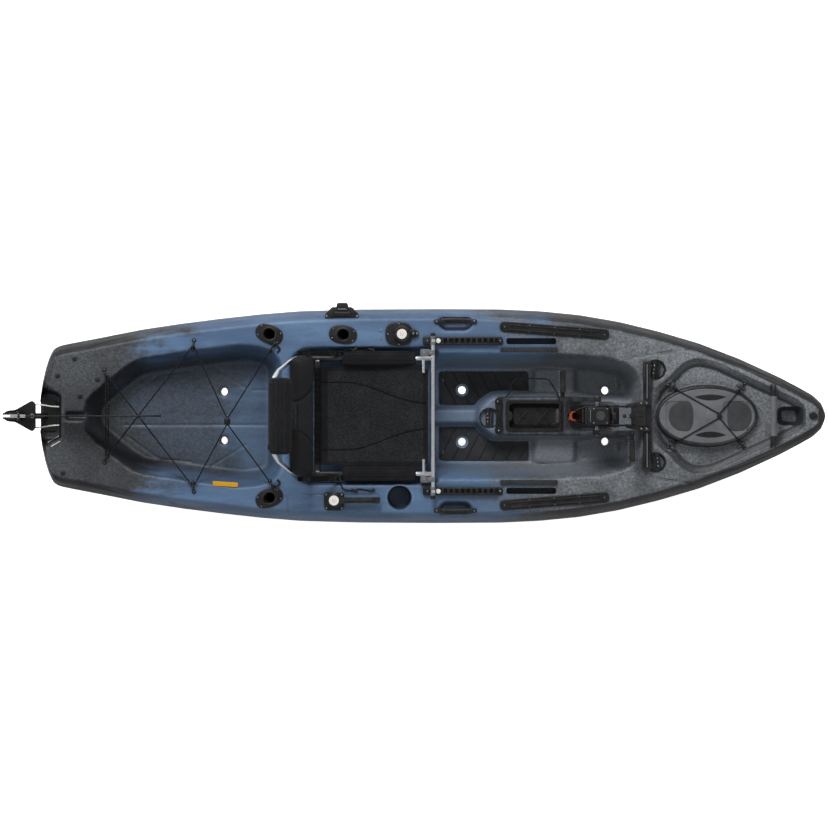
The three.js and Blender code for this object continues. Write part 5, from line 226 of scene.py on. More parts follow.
class Effects:
    """The shader groups that several finishes share, each built once."""

    _built: dict[str, bpy.types.NodeTree] = {}

    @classmethod
    def get(cls, name: str) -> bpy.types.NodeTree:
        """Gives a group by name and builds it the first time."""
        if name not in cls._built:
            cls._built[name] = getattr(cls, f"_{name}")()
        return cls._built[name]

    @staticmethod
    def _grain() -> bpy.types.NodeTree:
        """Moulded grain: a broad drift of tone and a fine pebble height."""
        tree, w, start, end = shader_group(
            "moulded_grain",
            {
                "Vector": ("NodeSocketVector", 0),
                "Drift Scale": ("NodeSocketFloat", 9),
                "Pebble Scale": ("NodeSocketFloat", 900),
            },
            ("Drift", "Pebble"),
        )
        drift = w.noise(start.outputs["Vector"], start.outputs["Drift Scale"], 5.0, 0.6)
        pebble = w.add(
            "ShaderNodeTexVoronoi",
            {"Vector": start.outputs["Vector"], "Scale": start.outputs["Pebble Scale"]},
        )
        fine = w.noise(start.outputs["Vector"], start.outputs["Pebble Scale"], 2.0)
        w.set(end.inputs["Drift"], drift)
        w.set(end.inputs["Pebble"], w.math("ADD", pebble.outputs["Distance"], fine))
        return tree

    @staticmethod
    def _rub() -> bpy.types.NodeTree:
        """Rubbed edges: a mask that is broken by noise and strongest on outer corners."""
        tree, w, start, end = shader_group(
            "rubbed_edges",
            {
                "Vector": ("NodeSocketVector", 0),
                "Reach": ("NodeSocketFloat", 0.06),
                "Scale": ("NodeSocketFloat", 40),
            },
            ("Mask",),
        )
        geometry = w.add("ShaderNodeNewGeometry")
        corner = w.math("SUBTRACT", geometry.outputs["Pointiness"], 0.5)
        edge = w.math("DIVIDE", corner, start.outputs["Reach"], clamp=True)
        broken = w.ramp(w.noise(start.outputs["Vector"], start.outputs["Scale"], 4.0), 0.35, 0.65)
        w.set(end.inputs["Mask"], w.math("MULTIPLY", edge, broken))
        return tree

    @staticmethod
    def _weave() -> bpy.types.NodeTree:
        """Crossed threads of a given pitch: their height, and a mask of one direction."""
        tree, w, start, end = shader_group(
            "crossed_threads",
            {"Vector": ("NodeSocketVector", 0), "Pitch": ("NodeSocketFloat", 0.003)},
            ("Height", "Across"),
        )
        split = w.add("ShaderNodeSeparateXYZ", {"Vector": start.outputs["Vector"]})
        turn = w.math("DIVIDE", math.tau, start.outputs["Pitch"])
        waves = []
        for axis in ("X", "Y"):
            along = w.math("ADD", split.outputs[axis], w.math("MULTIPLY", split.outputs["Z"], 0.9))
            waves.append(w.math("SINE", w.math("MULTIPLY", along, turn)))
        product = w.math("MULTIPLY", waves[0], waves[1])
        w.set(end.inputs["Height"], w.math("ABSOLUTE", product))
        w.set(end.inputs["Across"], w.ramp(product, -0.25, 0.25))
        return tree

    @staticmethod
    def _dust() -> bpy.types.NodeTree:
        """Dust that settles on what faces up, broken by noise."""
        tree, w, start, end = shader_group(
            "settled_dust",
            {"Vector": ("NodeSocketVector", 0), "Scale": ("NodeSocketFloat", 14)},
            ("Mask",),
        )
        geometry = w.add("ShaderNodeNewGeometry")
        up = w.add("ShaderNodeSeparateXYZ", {"Vector": geometry.outputs["Normal"]})
        facing = w.ramp(up.outputs["Z"], 0.5, 1.0)
        patches = w.ramp(w.noise(start.outputs["Vector"], start.outputs["Scale"], 5.0, 0.7), 0.42, 0.75)
        w.set(end.inputs["Mask"], w.math("MULTIPLY", facing, patches))
        return tree


class HullCoat:
    """The hull's colours and its painted shade: each method lays one more of them over what is there."""

    def __init__(self, w: Wiring, vector: object) -> None:
        """Adds the patterns and masks that several colours share.

        Args:
            w: The wiring of the hull's material.
            vector: The coordinates that its patterns follow.
        """
        self.w = w
        self.vector = vector
        split = w.add("ShaderNodeSeparateXYZ", {"Vector": vector})
        self.x, self.y, self.z = (split.outputs[axis] for axis in "XYZ")
        self.cloud = w.noise(vector, 3.2, 6.0, 0.62)
        drawn = w.add("ShaderNodeMapping", {"Vector": vector, "Scale": (0.35, 1.6, 1.0)})
        self.streak = w.noise(drawn.outputs["Vector"], 6.0, 5.0, 0.66)
        both = w.math("ADD", self.cloud, self.streak)
        self.swirl = w.times(w.math("SUBTRACT", both, 1.0), 0.9)
        self.speck = w.ramp(w.noise(vector, 260.0, 3.0, 0.7), 0.47, 0.6)
        self.grit = w.ramp(w.noise(vector, 90.0, 5.0, 0.75), 0.4, 0.64)
        self.rim = w.add("ShaderNodeAttribute", attribute_name="rim").outputs["Fac"]
        normal = w.add("ShaderNodeNewGeometry").outputs["True Normal"]
        self.facing = w.add("ShaderNodeSeparateXYZ", {"Vector": normal}).outputs["Z"]
        self.inner = self.within(self.y, 0.0, 0.255, 0.285)
        self.footwell = w.times(self.inner, self.within(self.x, 0.44, 0.44, 0.48))
        self.lower = w.ramp(self.z, 0.20, 0.30, 1.0, 0.0)
        self.broken = self._blue()

    def within(self, value: object, centre: float, near: float, far: float) -> bpy.types.NodeSocket:
        """Gives a mask that is whole up to one distance from a centre and gone at another."""
        off = self.w.math("ABSOLUTE", self.w.math("SUBTRACT", value, centre))
        return self.w.ramp(off, near, far, 1.0, 0.0)

    def shifted(self, value: object, pattern: object, share: float) -> bpy.types.NodeSocket:
        """Adds a share of a pattern to a value, so that its edge wanders."""
        return self.w.math("ADD", value, self.w.times(pattern, share))

    def centred(self, pattern: object) -> bpy.types.NodeSocket:
        """Gives a pattern less its middle value."""
        return self.w.math("SUBTRACT", pattern, 0.5)

    def _blue(self) -> bpy.types.NodeSocket:
        """Gives the mask of the blue stretch amidships, with broken ends."""
        w = self.w
        run = w.math("ADD", self.x, self.swirl)
        blue = w.times(w.ramp(run, -1.42, -0.98), w.ramp(run, 0.10, 0.62, 1.0, 0.0))
        return w.ramp(self.shifted(blue, self.centred(self.grit), 0.07), 0.05, 0.95)

    def two_tones(self) -> bpy.types.NodeSocket:
        """Gives the blue amidships and the speckled charcoal towards both ends, paler towards the bow
        partly as a painted highlight.
        """
        w = self.w
        # Paler towards the bow: the grey's own tone with a painted highlight laid in.
        bow = w.ramp(self.x, -0.6, 1.3)
        dark = w.mix(bow, srgb(46, 48, 51), srgb(84, 87, 91))
        pale = w.mix(bow, srgb(72, 75, 79), srgb(128, 132, 137))
        ash = w.mix(self.grit, dark, pale)
        ash = w.mix(w.times(self.speck, 0.34), ash, w.mix(bow, srgb(112, 117, 123), srgb(168, 172, 177)))
        ash = w.mix(w.ramp(self.cloud, 0.38, 0.6, 0.45, 1.0), srgb(34, 35, 38), ash)
        sea = w.mix(w.ramp(self.streak, 0.35, 0.68), srgb(70, 94, 124), srgb(90, 117, 149))
        sea = w.mix(w.times(self.grit, 0.12), sea, srgb(64, 82, 108))
        return w.mix(self.broken, ash, sea)

    def wells(self, colour: object) -> bpy.types.NodeSocket:
        """Lays the pale grey of the footwell, the charcoal of the tankwell and the console's sides.

        Args:
            colour: The colour so far.

        Returns:
            The colour with the wells.
        """
        w = self.w
        footwell = w.times(self.footwell, self.lower, w.ramp(self.x, -0.1, 0.5, 0.3, 0.7))
        colour = w.mix(footwell, colour, w.mix(self.speck, srgb(98, 104, 112), srgb(128, 133, 140)))
        fading = w.ramp(self.shifted(self.x, self.swirl, 0.5), -0.9, -0.68, 0.82, 0.40)
        tankwell = w.times(self.inner, self.within(self.x, -0.97, 0.36, 0.42), self.lower, fading)
        colour = w.mix(tankwell, colour, w.mix(self.grit, srgb(42, 45, 49), srgb(66, 70, 76)))
        console = w.times(self.within(self.x, 0.43, 0.165, 0.18), self.within(self.y, 0.0, 0.080, 0.084))
        console = w.times(console, w.ramp(self.z, 0.150, 0.165), 0.85)
        return w.mix(console, colour, w.mix(self.grit, srgb(38, 40, 43), srgb(58, 60, 64)))

    def dark_rim_and_flank_shade(self, colour: object) -> bpy.types.NodeSocket:
        """Lays the black band that follows the rim towards both ends and low on the sides: partly the
        hull's own dark colour, partly painted shade on the flanks that turn away from the light.

        Args:
            colour: The colour so far.

        Returns:
            The colour with the band.
        """
        w = self.w
        wavy = self.shifted(self.rim, self.centred(w.noise(self.vector, 11.0, 4.0)), 0.016)
        away = w.math("ABSOLUTE", w.math("ADD", self.x, 0.42))
        ends = w.ramp(self.shifted(away, self.swirl, 0.3), 0.66, 0.98)
        # Painted shade mixed with the hull's dark colour: a band along the rim at both ends, and low on the
        # flanks.
        band = w.times(w.ramp(wavy, 0.036, 0.047, 1.0, 0.0), ends)
        low = w.times(w.ramp(self.z, 0.15, 0.3, 1.0, 0.0), w.ramp(wavy, 0.035, 0.05, 1.0, 0.0))
        low = w.times(low, w.ramp(w.math("SUBTRACT", away, 0.2), 0.3, 0.8, 0.35, 1.0))
        return w.mix(w.times(w.math("MAXIMUM", band, low), 0.95), colour, srgb(19, 20, 22))

    def shadows(self, colour: object) -> bpy.types.NodeSocket:
        """Darkens steep walls, the banks of the bow recess and the corners that light misses.

        Args:
            colour: The colour so far.

        Returns:
            The colour with its shadows.
        """
        w = self.w
        spared = w.math("MAXIMUM", w.times(self.broken, 0.65), w.times(self.footwell, 0.92))
        wall = w.times(w.ramp(self.facing, 0.55, 0.93, 1.0, 0.0), w.math("SUBTRACT", 1.0, spared))
        colour = w.mix(w.times(wall, 0.72), colour, srgb(26, 27, 30))
        banks = w.times(w.ramp(self.facing, 0.90, 0.985, 1.0, 0.0), w.ramp(self.x, 0.88, 0.94))
        banks = w.times(banks, w.ramp(self.rim, 0.055, 0.075), 0.8)
        colour = w.mix(banks, colour, w.mix(self.speck, srgb(34, 36, 39), srgb(58, 61, 65)))
        hidden = w.add("ShaderNodeAmbientOcclusion", {"Distance": 0.11}, samples=4).outputs["AO"]
        lit = w.math("SUBTRACT", 1.0, w.times(self.footwell, 0.85))
        return w.mix(w.times(w.ramp(hidden, 0.35, 0.95, 0.62, 0.0), lit), colour, srgb(22, 24, 28))


@dataclass(frozen=True)
class Finish:
    """One finish of the kayak and how its material is wired."""

    name: str
    colour: tuple[float, float, float, float]
    second: tuple[float, float, float, float]
    roughness: float = 0.5
    metallic: float = 0.0
    pattern: Pattern = Pattern.MOULDED
    scale: float = 900.0
    depth: float = 0.15
    drift: float = 9.0
    rub: float = 0.35
    sheen: float = 0.0
    gloss: float = 0.5

    def material(self) -> bpy.types.Material:
        """Builds the material once and gives it.

        Returns:
            The Blender material of this finish.
        """
        found = bpy.data.materials.get(f"finish_{self.name}")
        if found:
            return found
        made = bpy.data.materials.new(f"finish_{self.name}")
        made.use_nodes = True
        made.node_tree.nodes.clear()
        w = Wiring(made.node_tree)
        vector = w.add("ShaderNodeTexCoord").outputs["Object"]
        shader = w.add(
            "ShaderNodeBsdfPrincipled",
            {
                "Metallic": self.metallic,
                "Sheen Weight": self.sheen,
                "Sheen Roughness": 0.5,
                "Specular IOR Level": self.gloss,
            },
        )
        grain = w.add("ShaderNodeGroup", node_tree=Effects.get("grain"))
        grain.inputs["Drift Scale"].default_value = self.drift
        grain.inputs["Pebble Scale"].default_value = self.scale
        w.set(grain.inputs["Vector"], vector)
        colour, rough, height = getattr(self, f"_{self.pattern.value}")(w, vector, grain)
        dust = w.add("ShaderNodeGroup", {"Vector": vector}, node_tree=Effects.get("dust"))
        dusty = w.math("MULTIPLY", dust.outputs["Mask"], 0.012)
        colour = w.mix(dusty, colour, srgb(196, 192, 184))
        w.set(shader.inputs["Base Color"], colour)
        w.set(shader.inputs["Roughness"], rough)
        bump = w.add("ShaderNodeBump", {"Strength": 1.0, "Distance": self.depth * MM, "Height": height})
        w.set(shader.inputs["Normal"], bump.outputs["Normal"])
        w.add("ShaderNodeOutputMaterial", {"Surface": shader.outputs["BSDF"]})
        return made

    def _moulded(self, w: Wiring, vector: object, grain: bpy.types.Node) -> tuple:
        """Moulded plastic or paint: drifting tone, pebble bump, paler rubbed corners.

        Args:
            w: The wiring of the material.
            vector: The coordinates that its patterns follow.
            grain: The node of the shared moulded grain.

        Returns:
            The colour, the roughness and the bump's height.
        """
        tone = w.ramp(grain.outputs["Drift"], 0.3, 0.7)
        rub = w.add("ShaderNodeGroup", {"Vector": vector}, node_tree=Effects.get("rub"))
        paler = tuple(min(1.0, c * 2.2 + 0.04) for c in self.colour[:3]) + (1.0,)
        base = w.mix(tone, self.colour, self.second)
        worn = w.mix(w.math("MULTIPLY", rub.outputs["Mask"], self.rub), base, paler)
        rough = w.ramp(grain.outputs["Drift"], 0.25, 0.75, self.roughness - 0.06, self.roughness + 0.08)
        return worn, rough, grain.outputs["Pebble"]

    def _brushed(self, w: Wiring, vector: object, grain: bpy.types.Node) -> tuple:
        """Brushed or drawn metal: fine scratches across the piece.

        Args:
            w: The wiring of the material.
            vector: The coordinates that its patterns follow.
            grain: The node of the shared moulded grain.

        Returns:
            The colour, the roughness and the bump's height.
        """
        stretched = w.add("ShaderNodeMapping", {"Vector": vector, "Scale": (1.0, 0.06, 1.0)})
        lines = w.noise(stretched.outputs["Vector"], self.scale, 4.0, 0.7)
        colour = w.mix(w.ramp(grain.outputs["Drift"], 0.3, 0.7), self.colour, self.second)
        rough = w.ramp(lines, 0.3, 0.7, self.roughness - 0.05, self.roughness + 0.12)
        return colour, rough, lines

    def _woven(self, w: Wiring, vector: object, grain: bpy.types.Node) -> tuple:
        """Woven cloth: crossed threads that differ a little in tone.

        Args:
            w: The wiring of the material.
            vector: The coordinates that its patterns follow.
            grain: The node of the shared moulded grain.

        Returns:
            The colour, the roughness and the bump's height.
        """
        weave = w.add(
            "ShaderNodeGroup", {"Vector": vector, "Pitch": self.scale}, node_tree=Effects.get("weave")
        )
        threads = w.mix(weave.outputs["Across"], self.colour, self.second)
        worn = w.mix(w.ramp(grain.outputs["Drift"], 0.35, 0.75, 0.0, 0.12), threads, self.second)
        rough = w.ramp(grain.outputs["Drift"], 0.3, 0.7, self.roughness - 0.05, self.roughness + 0.05)
        return worn, rough, weave.outputs["Height"]

    def _net(self, w: Wiring, vector: object, grain: bpy.types.Node) -> tuple:
        """Open mesh cloth: dark gaps between paler threads.

        Args:
            w: The wiring of the material.
            vector: The coordinates that its patterns follow.
            grain: The node of the shared moulded grain.

        Returns:
            The colour, the roughness and the bump's height.
        """
        weave = w.add(
            "ShaderNodeGroup", {"Vector": vector, "Pitch": self.scale}, node_tree=Effects.get("weave")
        )
        gap = w.math(
            "MULTIPLY",
            w.ramp(weave.outputs["Height"], 0.15, 0.6),
            w.ramp(w.noise(vector, 150.0, 3.0, 0.7), 0.40, 0.62, 0.4, 1.0),
        )
        threads = w.mix(gap, self.second, self.colour)
        rough = w.ramp(grain.outputs["Drift"], 0.3, 0.7, self.roughness - 0.05, self.roughness + 0.05)
        return threads, rough, weave.outputs["Height"]

    def _foam(self, w: Wiring, vector: object, grain: bpy.types.Node) -> tuple:
        """Closed-cell foam: small round cells.

        Args:
            w: The wiring of the material.
            vector: The coordinates that its patterns follow.
            grain: The node of the shared moulded grain.

        Returns:
            The colour, the roughness and the bump's height.
        """
        cells = w.add("ShaderNodeTexVoronoi", {"Vector": vector, "Scale": self.scale})
        tone = w.mix(w.ramp(grain.outputs["Drift"], 0.3, 0.7), self.colour, self.second)
        rough = w.ramp(grain.outputs["Drift"], 0.3, 0.7, self.roughness - 0.04, self.roughness + 0.04)
        return tone, rough, cells.outputs["Distance"]

    def _braid(self, w: Wiring, vector: object, grain: bpy.types.Node) -> tuple:
        """Braided cord: short slanting strands with a few paler flecks.

        Args:
            w: The wiring of the material.
            vector: The coordinates that its patterns follow.
            grain: The node of the shared moulded grain.

        Returns:
            The colour, the roughness and the bump's height.
        """
        split = w.add("ShaderNodeSeparateXYZ", {"Vector": vector})
        sides = [
            w.math(
                "SINE", w.math("MULTIPLY", w.math(sign, split.outputs["X"], split.outputs["Y"]), self.scale)
            )
            for sign in ("ADD", "SUBTRACT")
        ]
        strands = w.math("ABSOLUTE", w.math("MULTIPLY", sides[0], sides[1]))
        fleck = w.ramp(w.noise(vector, 700.0, 1.0), 0.66, 0.7, 0.0, 0.6)
        colour = w.mix(fleck, w.mix(strands, self.colour, self.second), srgb(150, 150, 150))
        rough = w.ramp(strands, 0.0, 1.0, self.roughness, self.roughness + 0.1)
        return colour, rough, strands

    def _hull(self, w: Wiring, vector: object, grain: bpy.types.Node) -> tuple:
        """Two-tone moulded hull, with painted shade in its hollows, on its walls and on its flanks, and
        paler rubbed corners.

        Args:
            w: The wiring of the material.
            vector: The coordinates that its patterns follow.
            grain: The node of the shared moulded grain.

        Returns:
            The colour, the roughness and the bump's height.
        """
        coat = HullCoat(w, vector)
        colour = coat.shadows(coat.dark_rim_and_flank_shade(coat.wells(coat.two_tones())))
        rub = w.add("ShaderNodeGroup", {"Vector": vector}, node_tree=Effects.get("rub"))
        colour = w.mix(w.times(rub.outputs["Mask"], self.rub), colour, srgb(168, 178, 192))
        rough = w.ramp(grain.outputs["Drift"], 0.25, 0.75, self.roughness - 0.05, self.roughness + 0.07)
        return colour, rough, grain.outputs["Pebble"]


HULL = Finish(
    "hull_plastic", srgb(92, 120, 154), srgb(60, 63, 68), 0.46, pattern=Pattern.HULL, scale=420.0,
    depth=0.25, rub=0.12, gloss=0.3,
)
BLACK = Finish("black_plastic", srgb(10, 10, 12), srgb(20, 20, 22), 0.36, rub=0.3, gloss=0.28)
CHARCOAL = Finish("charcoal_plastic", srgb(42, 43, 46), srgb(54, 56, 59), 0.48, rub=0.3, gloss=0.3)
GREY = Finish("grey_plastic", srgb(84, 86, 90), srgb(104, 106, 110), 0.5, rub=0.2, gloss=0.3)
PALE = Finish("pale_cap", srgb(214, 213, 208), srgb(226, 225, 222), 0.4, rub=0.0)
RED = Finish("red_print", srgb(178, 40, 34), srgb(190, 52, 44), 0.4, rub=0.0)
ORANGE = Finish("orange_plastic", srgb(214, 84, 30), srgb(196, 70, 22), 0.4, rub=0.1, gloss=0.3)
YELLOW = Finish("yellow_label", srgb(190, 138, 20), srgb(204, 150, 30), 0.45, rub=0.0, gloss=0.2)
TUBE = Finish(
    "bright_tube", srgb(214, 216, 220), srgb(200, 202, 206), 0.22, 1.0, Pattern.BRUSHED, 700.0, 0.02,
    rub=0.05,
)
ANODISED = Finish(
    "black_aluminium", srgb(14, 14, 16), srgb(26, 26, 29), 0.34, 0.4, depth=0.05, rub=0.6, gloss=0.4
)
STEEL = Finish("steel", srgb(140, 142, 147), srgb(118, 121, 126), 0.3, 1.0, Pattern.BRUSHED, 900.0, 0.02)
FOAM = Finish(
    "foam", srgb(42, 43, 46), srgb(56, 57, 60), 0.85, pattern=Pattern.FOAM, scale=520.0, depth=0.4,
    gloss=0.12,
)
FABRIC = Finish(
    "fabric", srgb(14, 14, 16), srgb(32, 33, 35), 0.88, pattern=Pattern.WOVEN, scale=0.0042, depth=0.5,
    sheen=0.04, gloss=0.1,
)
MESH = Finish(
    "mesh", srgb(58, 60, 63), srgb(7, 7, 9), 0.8, pattern=Pattern.NET, scale=0.0064, depth=0.8, sheen=0.03,
    gloss=0.12,
)
WEBBING = Finish(
    "webbing", srgb(8, 8, 9), srgb(20, 20, 22), 0.82, pattern=Pattern.WOVEN, scale=0.003, depth=0.4,
    gloss=0.12,
)
CORD = Finish(
    "cord", srgb(11, 11, 13), srgb(26, 26, 28), 0.75, pattern=Pattern.BRAID, scale=1100.0, depth=0.5,
    gloss=0.12,
)


# Meshes


class Form:
    """Gathers the faces of one piece in the shared frame and makes its object."""

    def __init__(self, name: str) -> None:
        """Starts an empty form."""
        self.name = name
        self.verts: list[tuple[float, float, float]] = []
        self.faces: list[tuple[int, ...]] = []

    def add(
        self, verts: Iterable[Sequence[float]], faces: Iterable[Sequence[int]], place: Matrix | None = None
    ) -> "Form":
        """Adds a closed shell.

        Args:
            verts: Its points.
            faces: Its faces.
            place: Where it goes, or nothing where the points are in place.

        Returns:
            This form, so that calls can follow each other.
        """
        start = len(self.verts)
        moved = [place @ Vector(v) if place else Vector(v) for v in verts]
        self.verts += [tuple(v) for v in moved]
        self.faces += [tuple(start + i for i in face) for face in faces]
        return self

    def rings(self, rings: Sequence[Sequence[Sequence[float]]], place: Matrix | None = None) -> "Form":
        """Adds a shell that is lofted through rings of equal counts and capped at both ends.

        Args:
            rings: The rings, from one end to the other.
            place: Where the shell goes.

        Returns:
            This form.
        """
        count = len(rings[0])
        verts = [p for ring in rings for p in ring]
        faces = [
            (
                r * count + i, r * count + (i + 1) % count,
                (r + 1) * count + (i + 1) % count,
                (r + 1) * count + i,
            )
            for r in range(len(rings) - 1)
            for i in range(count)
        ]
        last = (len(rings) - 1) * count
        faces += [tuple(range(count))[::-1], tuple(range(last, last + count))]
        return self.add(verts, faces, place)

    def slab(
        self, outline: Outline, foot: float, top: float, edge: float = 0.0015, place: Matrix | None = None,
        crown: float = 0.0,
    ) -> "Form":
        """Adds a plate with a rounded upper edge.

        Args:
            outline: Its outline in plan, anticlockwise.
            foot: The height of its underside.
            top: The height of its top.
            edge: The radius of the upper edge.
            place: Where it goes.
            crown: How far the middle of the top rises.

        Returns:
            This form.
        """
        rings = [raised(outline, foot)]
        for step in range(4):
            turn = step / 3 * math.pi / 2
            inset = edge * (1 - math.cos(turn))
            level = top - edge + edge * math.sin(turn)
            rings.append(raised(inset_outline(outline, inset), level))
        if crown:
            centre = np.mean(np.array(outline), axis=0)
            for share in (0.75, 0.45, 0.15):
                base = inset_outline(outline, edge)
                rings.append(
                    [
                        (
                            centre[0] + (x - centre[0]) * share,
                            centre[1] + (y - centre[1]) * share,
                            top + crown * (1 - share**2),
                        )
                        for x, y in base
                    ]
                )
        return self.rings(rings, place)

    def hoop(
        self, section: Sequence[tuple[float, float]], radius_x: float, radius_y: float,
        place: Matrix | None = None, sides: int = 72,
    ) -> "Form":
        """Adds an open ring from a section of distance outwards and height.

        Args:
            section: The section's points, each a distance outwards and a height.
            radius_x: Half the hoop's length.
            radius_y: Half its width.
            place: Where it goes.
            sides: How many sides it has.

        Returns:
            This form.
        """
        count = len(section)
        verts = [
            ((radius_x + d) * math.cos(a), (radius_y + d) * math.sin(a), h)
            for a in turns(sides)
            for d, h in section
        ]
        faces = [
            (
                r * count + i, r * count + (i + 1) % count,
                ((r + 1) % sides) * count + (i + 1) % count,
                ((r + 1) % sides) * count + i,
            )
            for r in range(sides)
            for i in range(count)
        ]
        return self.add(verts, faces, place)

    def lathe(
        self, profile: Sequence[tuple[float, float]], place: Matrix | None = None, sides: int = 32
    ) -> "Form":
        """Adds a turned shell from a profile of radius and height, foot first."""
        rings = [
            [(r * math.cos(a), r * math.sin(a), z) for a in turns(sides)]
            for r, z in profile
        ]
        return self.rings(rings, place)

    def tube(
        self, path: Sequence[Sequence[float]], radius: float, sides: int = 12, flat: float = 1.0,
        up: Sequence[float] = (0, 0, 1),
    ) -> "Form":
        """Adds a round or flattened bar along a path.

        Args:
            path: The points that its middle follows.
            radius: Half its width.
            sides: How many sides its section has.
            flat: Its thickness as a share of its width.
            up: The direction that a flattened bar's thin side faces.

        Returns:
            This form.
        """
        pts = [Vector(p) for p in path]
        rings, side = [], None
        for i, p in enumerate(pts):
            ahead = (pts[min(i + 1, len(pts) - 1)] - pts[max(i - 1, 0)]).normalized()
            if side is None:
                side = ahead.cross(Vector(up))
                if side.length < 1e-4:
                    side = ahead.cross(Vector((1, 0, 0)))
            side = (side - ahead * side.dot(ahead)).normalized()
            rise = side.cross(ahead).normalized()
            rings.append(
                [
                    tuple(p + side * (radius * math.cos(a)) + rise * (radius * flat * math.sin(a)))
                    for a in turns(sides)
                ]
            )
        return self.rings(rings)

    def object(self, smooth: float = 35.0) -> bpy.types.Object:
        """Makes the mesh object with outward faces.

        Args:
            smooth: The angle in degrees up to which faces shade as one.

        Returns:
            The new object at the origin.
        """
        mesh = bpy.data.meshes.new(self.name)
        mesh.from_pydata(self.verts, [], self.faces)
        work = bmesh.new()
        work.from_mesh(mesh)
        bmesh.ops.recalc_face_normals(work, faces=work.faces)
        work.to_mesh(mesh)
        work.free()
        made = bpy.data.objects.new(self.name, mesh)
        bpy.context.scene.collection.objects.link(made)
        shade(made, smooth)
        return made


def turns(count: int) -> list[float]:
    """Gives the angles of points spread evenly round a circle."""
    return [i / count * math.tau for i in range(count)]


def inset_outline(outline: Outline, inset: float) -> Outline:
    """Moves an anticlockwise outline inwards by the same distance all round.

    Args:
        outline: The outline.
        inset: The distance.

    Returns:
        The smaller outline.
    """
    if not inset:
        return list(outline)
    made, count = [], len(outline)
    for i, (x, y) in enumerate(outline):
        before, after = Vector(outline[i - 1]), Vector(outline[(i + 1) % count])
        here = Vector((x, y))
        first, second = (here - before), (after - here)
        if first.length < 1e-9 or second.length < 1e-9:
            made.append((x, y))
            continue
        first.normalize()
        second.normalize()
        normal = Vector((-first.y - second.y, first.x + second.x))
        length = max(normal.length, 0.4)
        normal = normal.normalized() * (inset * 2 / length)
        made.append((x + normal.x, y + normal.y))
    return made


def rounded(points: Outline, radius: float, steps: int = 5) -> Outline:
    """Rounds the corners of an outline.

    Args:
        points: The corners, anticlockwise.
        radius: The corner radius.
        steps: How many points a corner gets.

    Returns:
        The rounded outline.
    """
    made: Outline = []
    for i, corner in enumerate(points):
        here, before, after = Vector(corner), Vector(points[i - 1]), Vector(points[(i + 1) % len(points)])
        to_before, to_after = (before - here), (after - here)
        reach = min(radius, to_before.length * 0.48, to_after.length * 0.48)
        start, end = here + to_before.normalized() * reach, here + to_after.normalized() * reach
        for step in range(steps + 1):
            t = step / steps
            made.append(tuple(start * (1 - t) ** 2 + here * 2 * t * (1 - t) + end * t**2))
    return made


def box_outline(length: float, width: float, radius: float, x: float = 0.0, y: float = 0.0) -> Outline:
    """Gives a rounded rectangle about a centre."""
    a, b = length / 2, width / 2
    return rounded([(x + a, y + b), (x - a, y + b), (x - a, y - b), (x + a, y - b)], radius)


def disc_outline(
    radius_x: float, radius_y: float, x: float = 0.0, y: float = 0.0, sides: int = 48
) -> Outline:
    """Gives an ellipse about a centre."""
    return [(x + radius_x * math.cos(a), y + radius_y * math.sin(a)) for a in turns(sides)]


def raised(outline: Outline, level: float) -> list[Point]:
    """Gives an outline's points at one height."""
    return [(x, y, level) for x, y in outline]


def smooth_path(points: Sequence[Sequence[float]], steps: int = 8) -> list[Vector]:
    """Runs a smooth line through points.

    Args:
        points: The points that it passes.
        steps: How many pieces each stretch gets.

    Returns:
        The points of the line.
    """
    p = [Vector(q) for q in points]
    p = [p[0] * 2 - p[1], *p, p[-1] * 2 - p[-2]]
    made = []
    for i in range(1, len(p) - 2):
        for step in range(steps):
            t = step / steps
            made.append(
                0.5
                * (
                    2 * p[i]
                    + (p[i + 1] - p[i - 1]) * t
                    + (2 * p[i - 1] - 5 * p[i] + 4 * p[i + 1] - p[i + 2]) * t**2
                    + (3 * p[i] - p[i - 1] - 3 * p[i + 1] + p[i + 2]) * t**3
                )
            )
    return [*made, p[-2]]


def bent_path(points: Sequence[Sequence[float]], bend: float, steps: int = 6) -> list[Vector]:
    """Runs straight between points and rounds each corner.

    Args:
        points: The corners.
        bend: How far from a corner its round starts.
        steps: How many pieces a round gets.

    Returns:
        The points of the line.
    """
    p = [Vector(q) for q in points]
    made = [p[0]]
    for before, here, after in zip(p, p[1:], p[2:]):
        reach = min(bend, (before - here).length * 0.49, (after - here).length * 0.49)
        start, end = here + (before - here).normalized() * reach, here + (after - here).normalized() * reach
        made += [
            start * (1 - t) ** 2 + here * 2 * t * (1 - t) + end * t**2
            for t in (s / steps for s in range(steps + 1))
        ]
    return [*made, p[-1]]


def at(x: float, y: float, z: float, turn: float = 0.0, tilt: float = 0.0, roll: float = 0.0) -> Matrix:
    """Gives a placing matrix: tilt about Y and roll about X in degrees, then turn about Z."""
    spin = Matrix.Rotation(
        math.radians(turn), 4, "Z"
    ) @ Matrix.Rotation(math.radians(tilt), 4, "Y") @ Matrix.Rotation(math.radians(roll), 4, "X")
    return Matrix.Translation((x, y, z)) @ spin


def shade(obj: bpy.types.Object, angle: float = 35.0) -> None:
    """Shades a mesh smooth up to an angle in degrees.

    Args:
        obj: The mesh object.
        angle: The angle.
    """
    mesh = obj.data
    mesh.polygons.foreach_set("use_smooth", [True] * len(mesh.polygons))
    mesh.set_sharp_from_angle(angle=math.radians(angle))
    mesh.update()


def baked(obj: bpy.types.Object, name: str | None = None) -> bpy.types.Object:
    """Turns an object with modifiers into a plain mesh and removes the first one.

    Args:
        obj: The object whose result is kept.
        name: The name of the result, or nothing to keep the object's.

    Returns:
        The plain mesh object.
    """
    bpy.context.view_layer.update()
    evaluated = obj.evaluated_get(bpy.context.evaluated_depsgraph_get())
    mesh = bpy.data.meshes.new_from_object(evaluated)
    name = name or obj.name
    bpy.data.objects.remove(obj)
    made = bpy.data.objects.new(name, mesh)
    made.name = name
    bpy.context.scene.collection.objects.link(made)
    return made


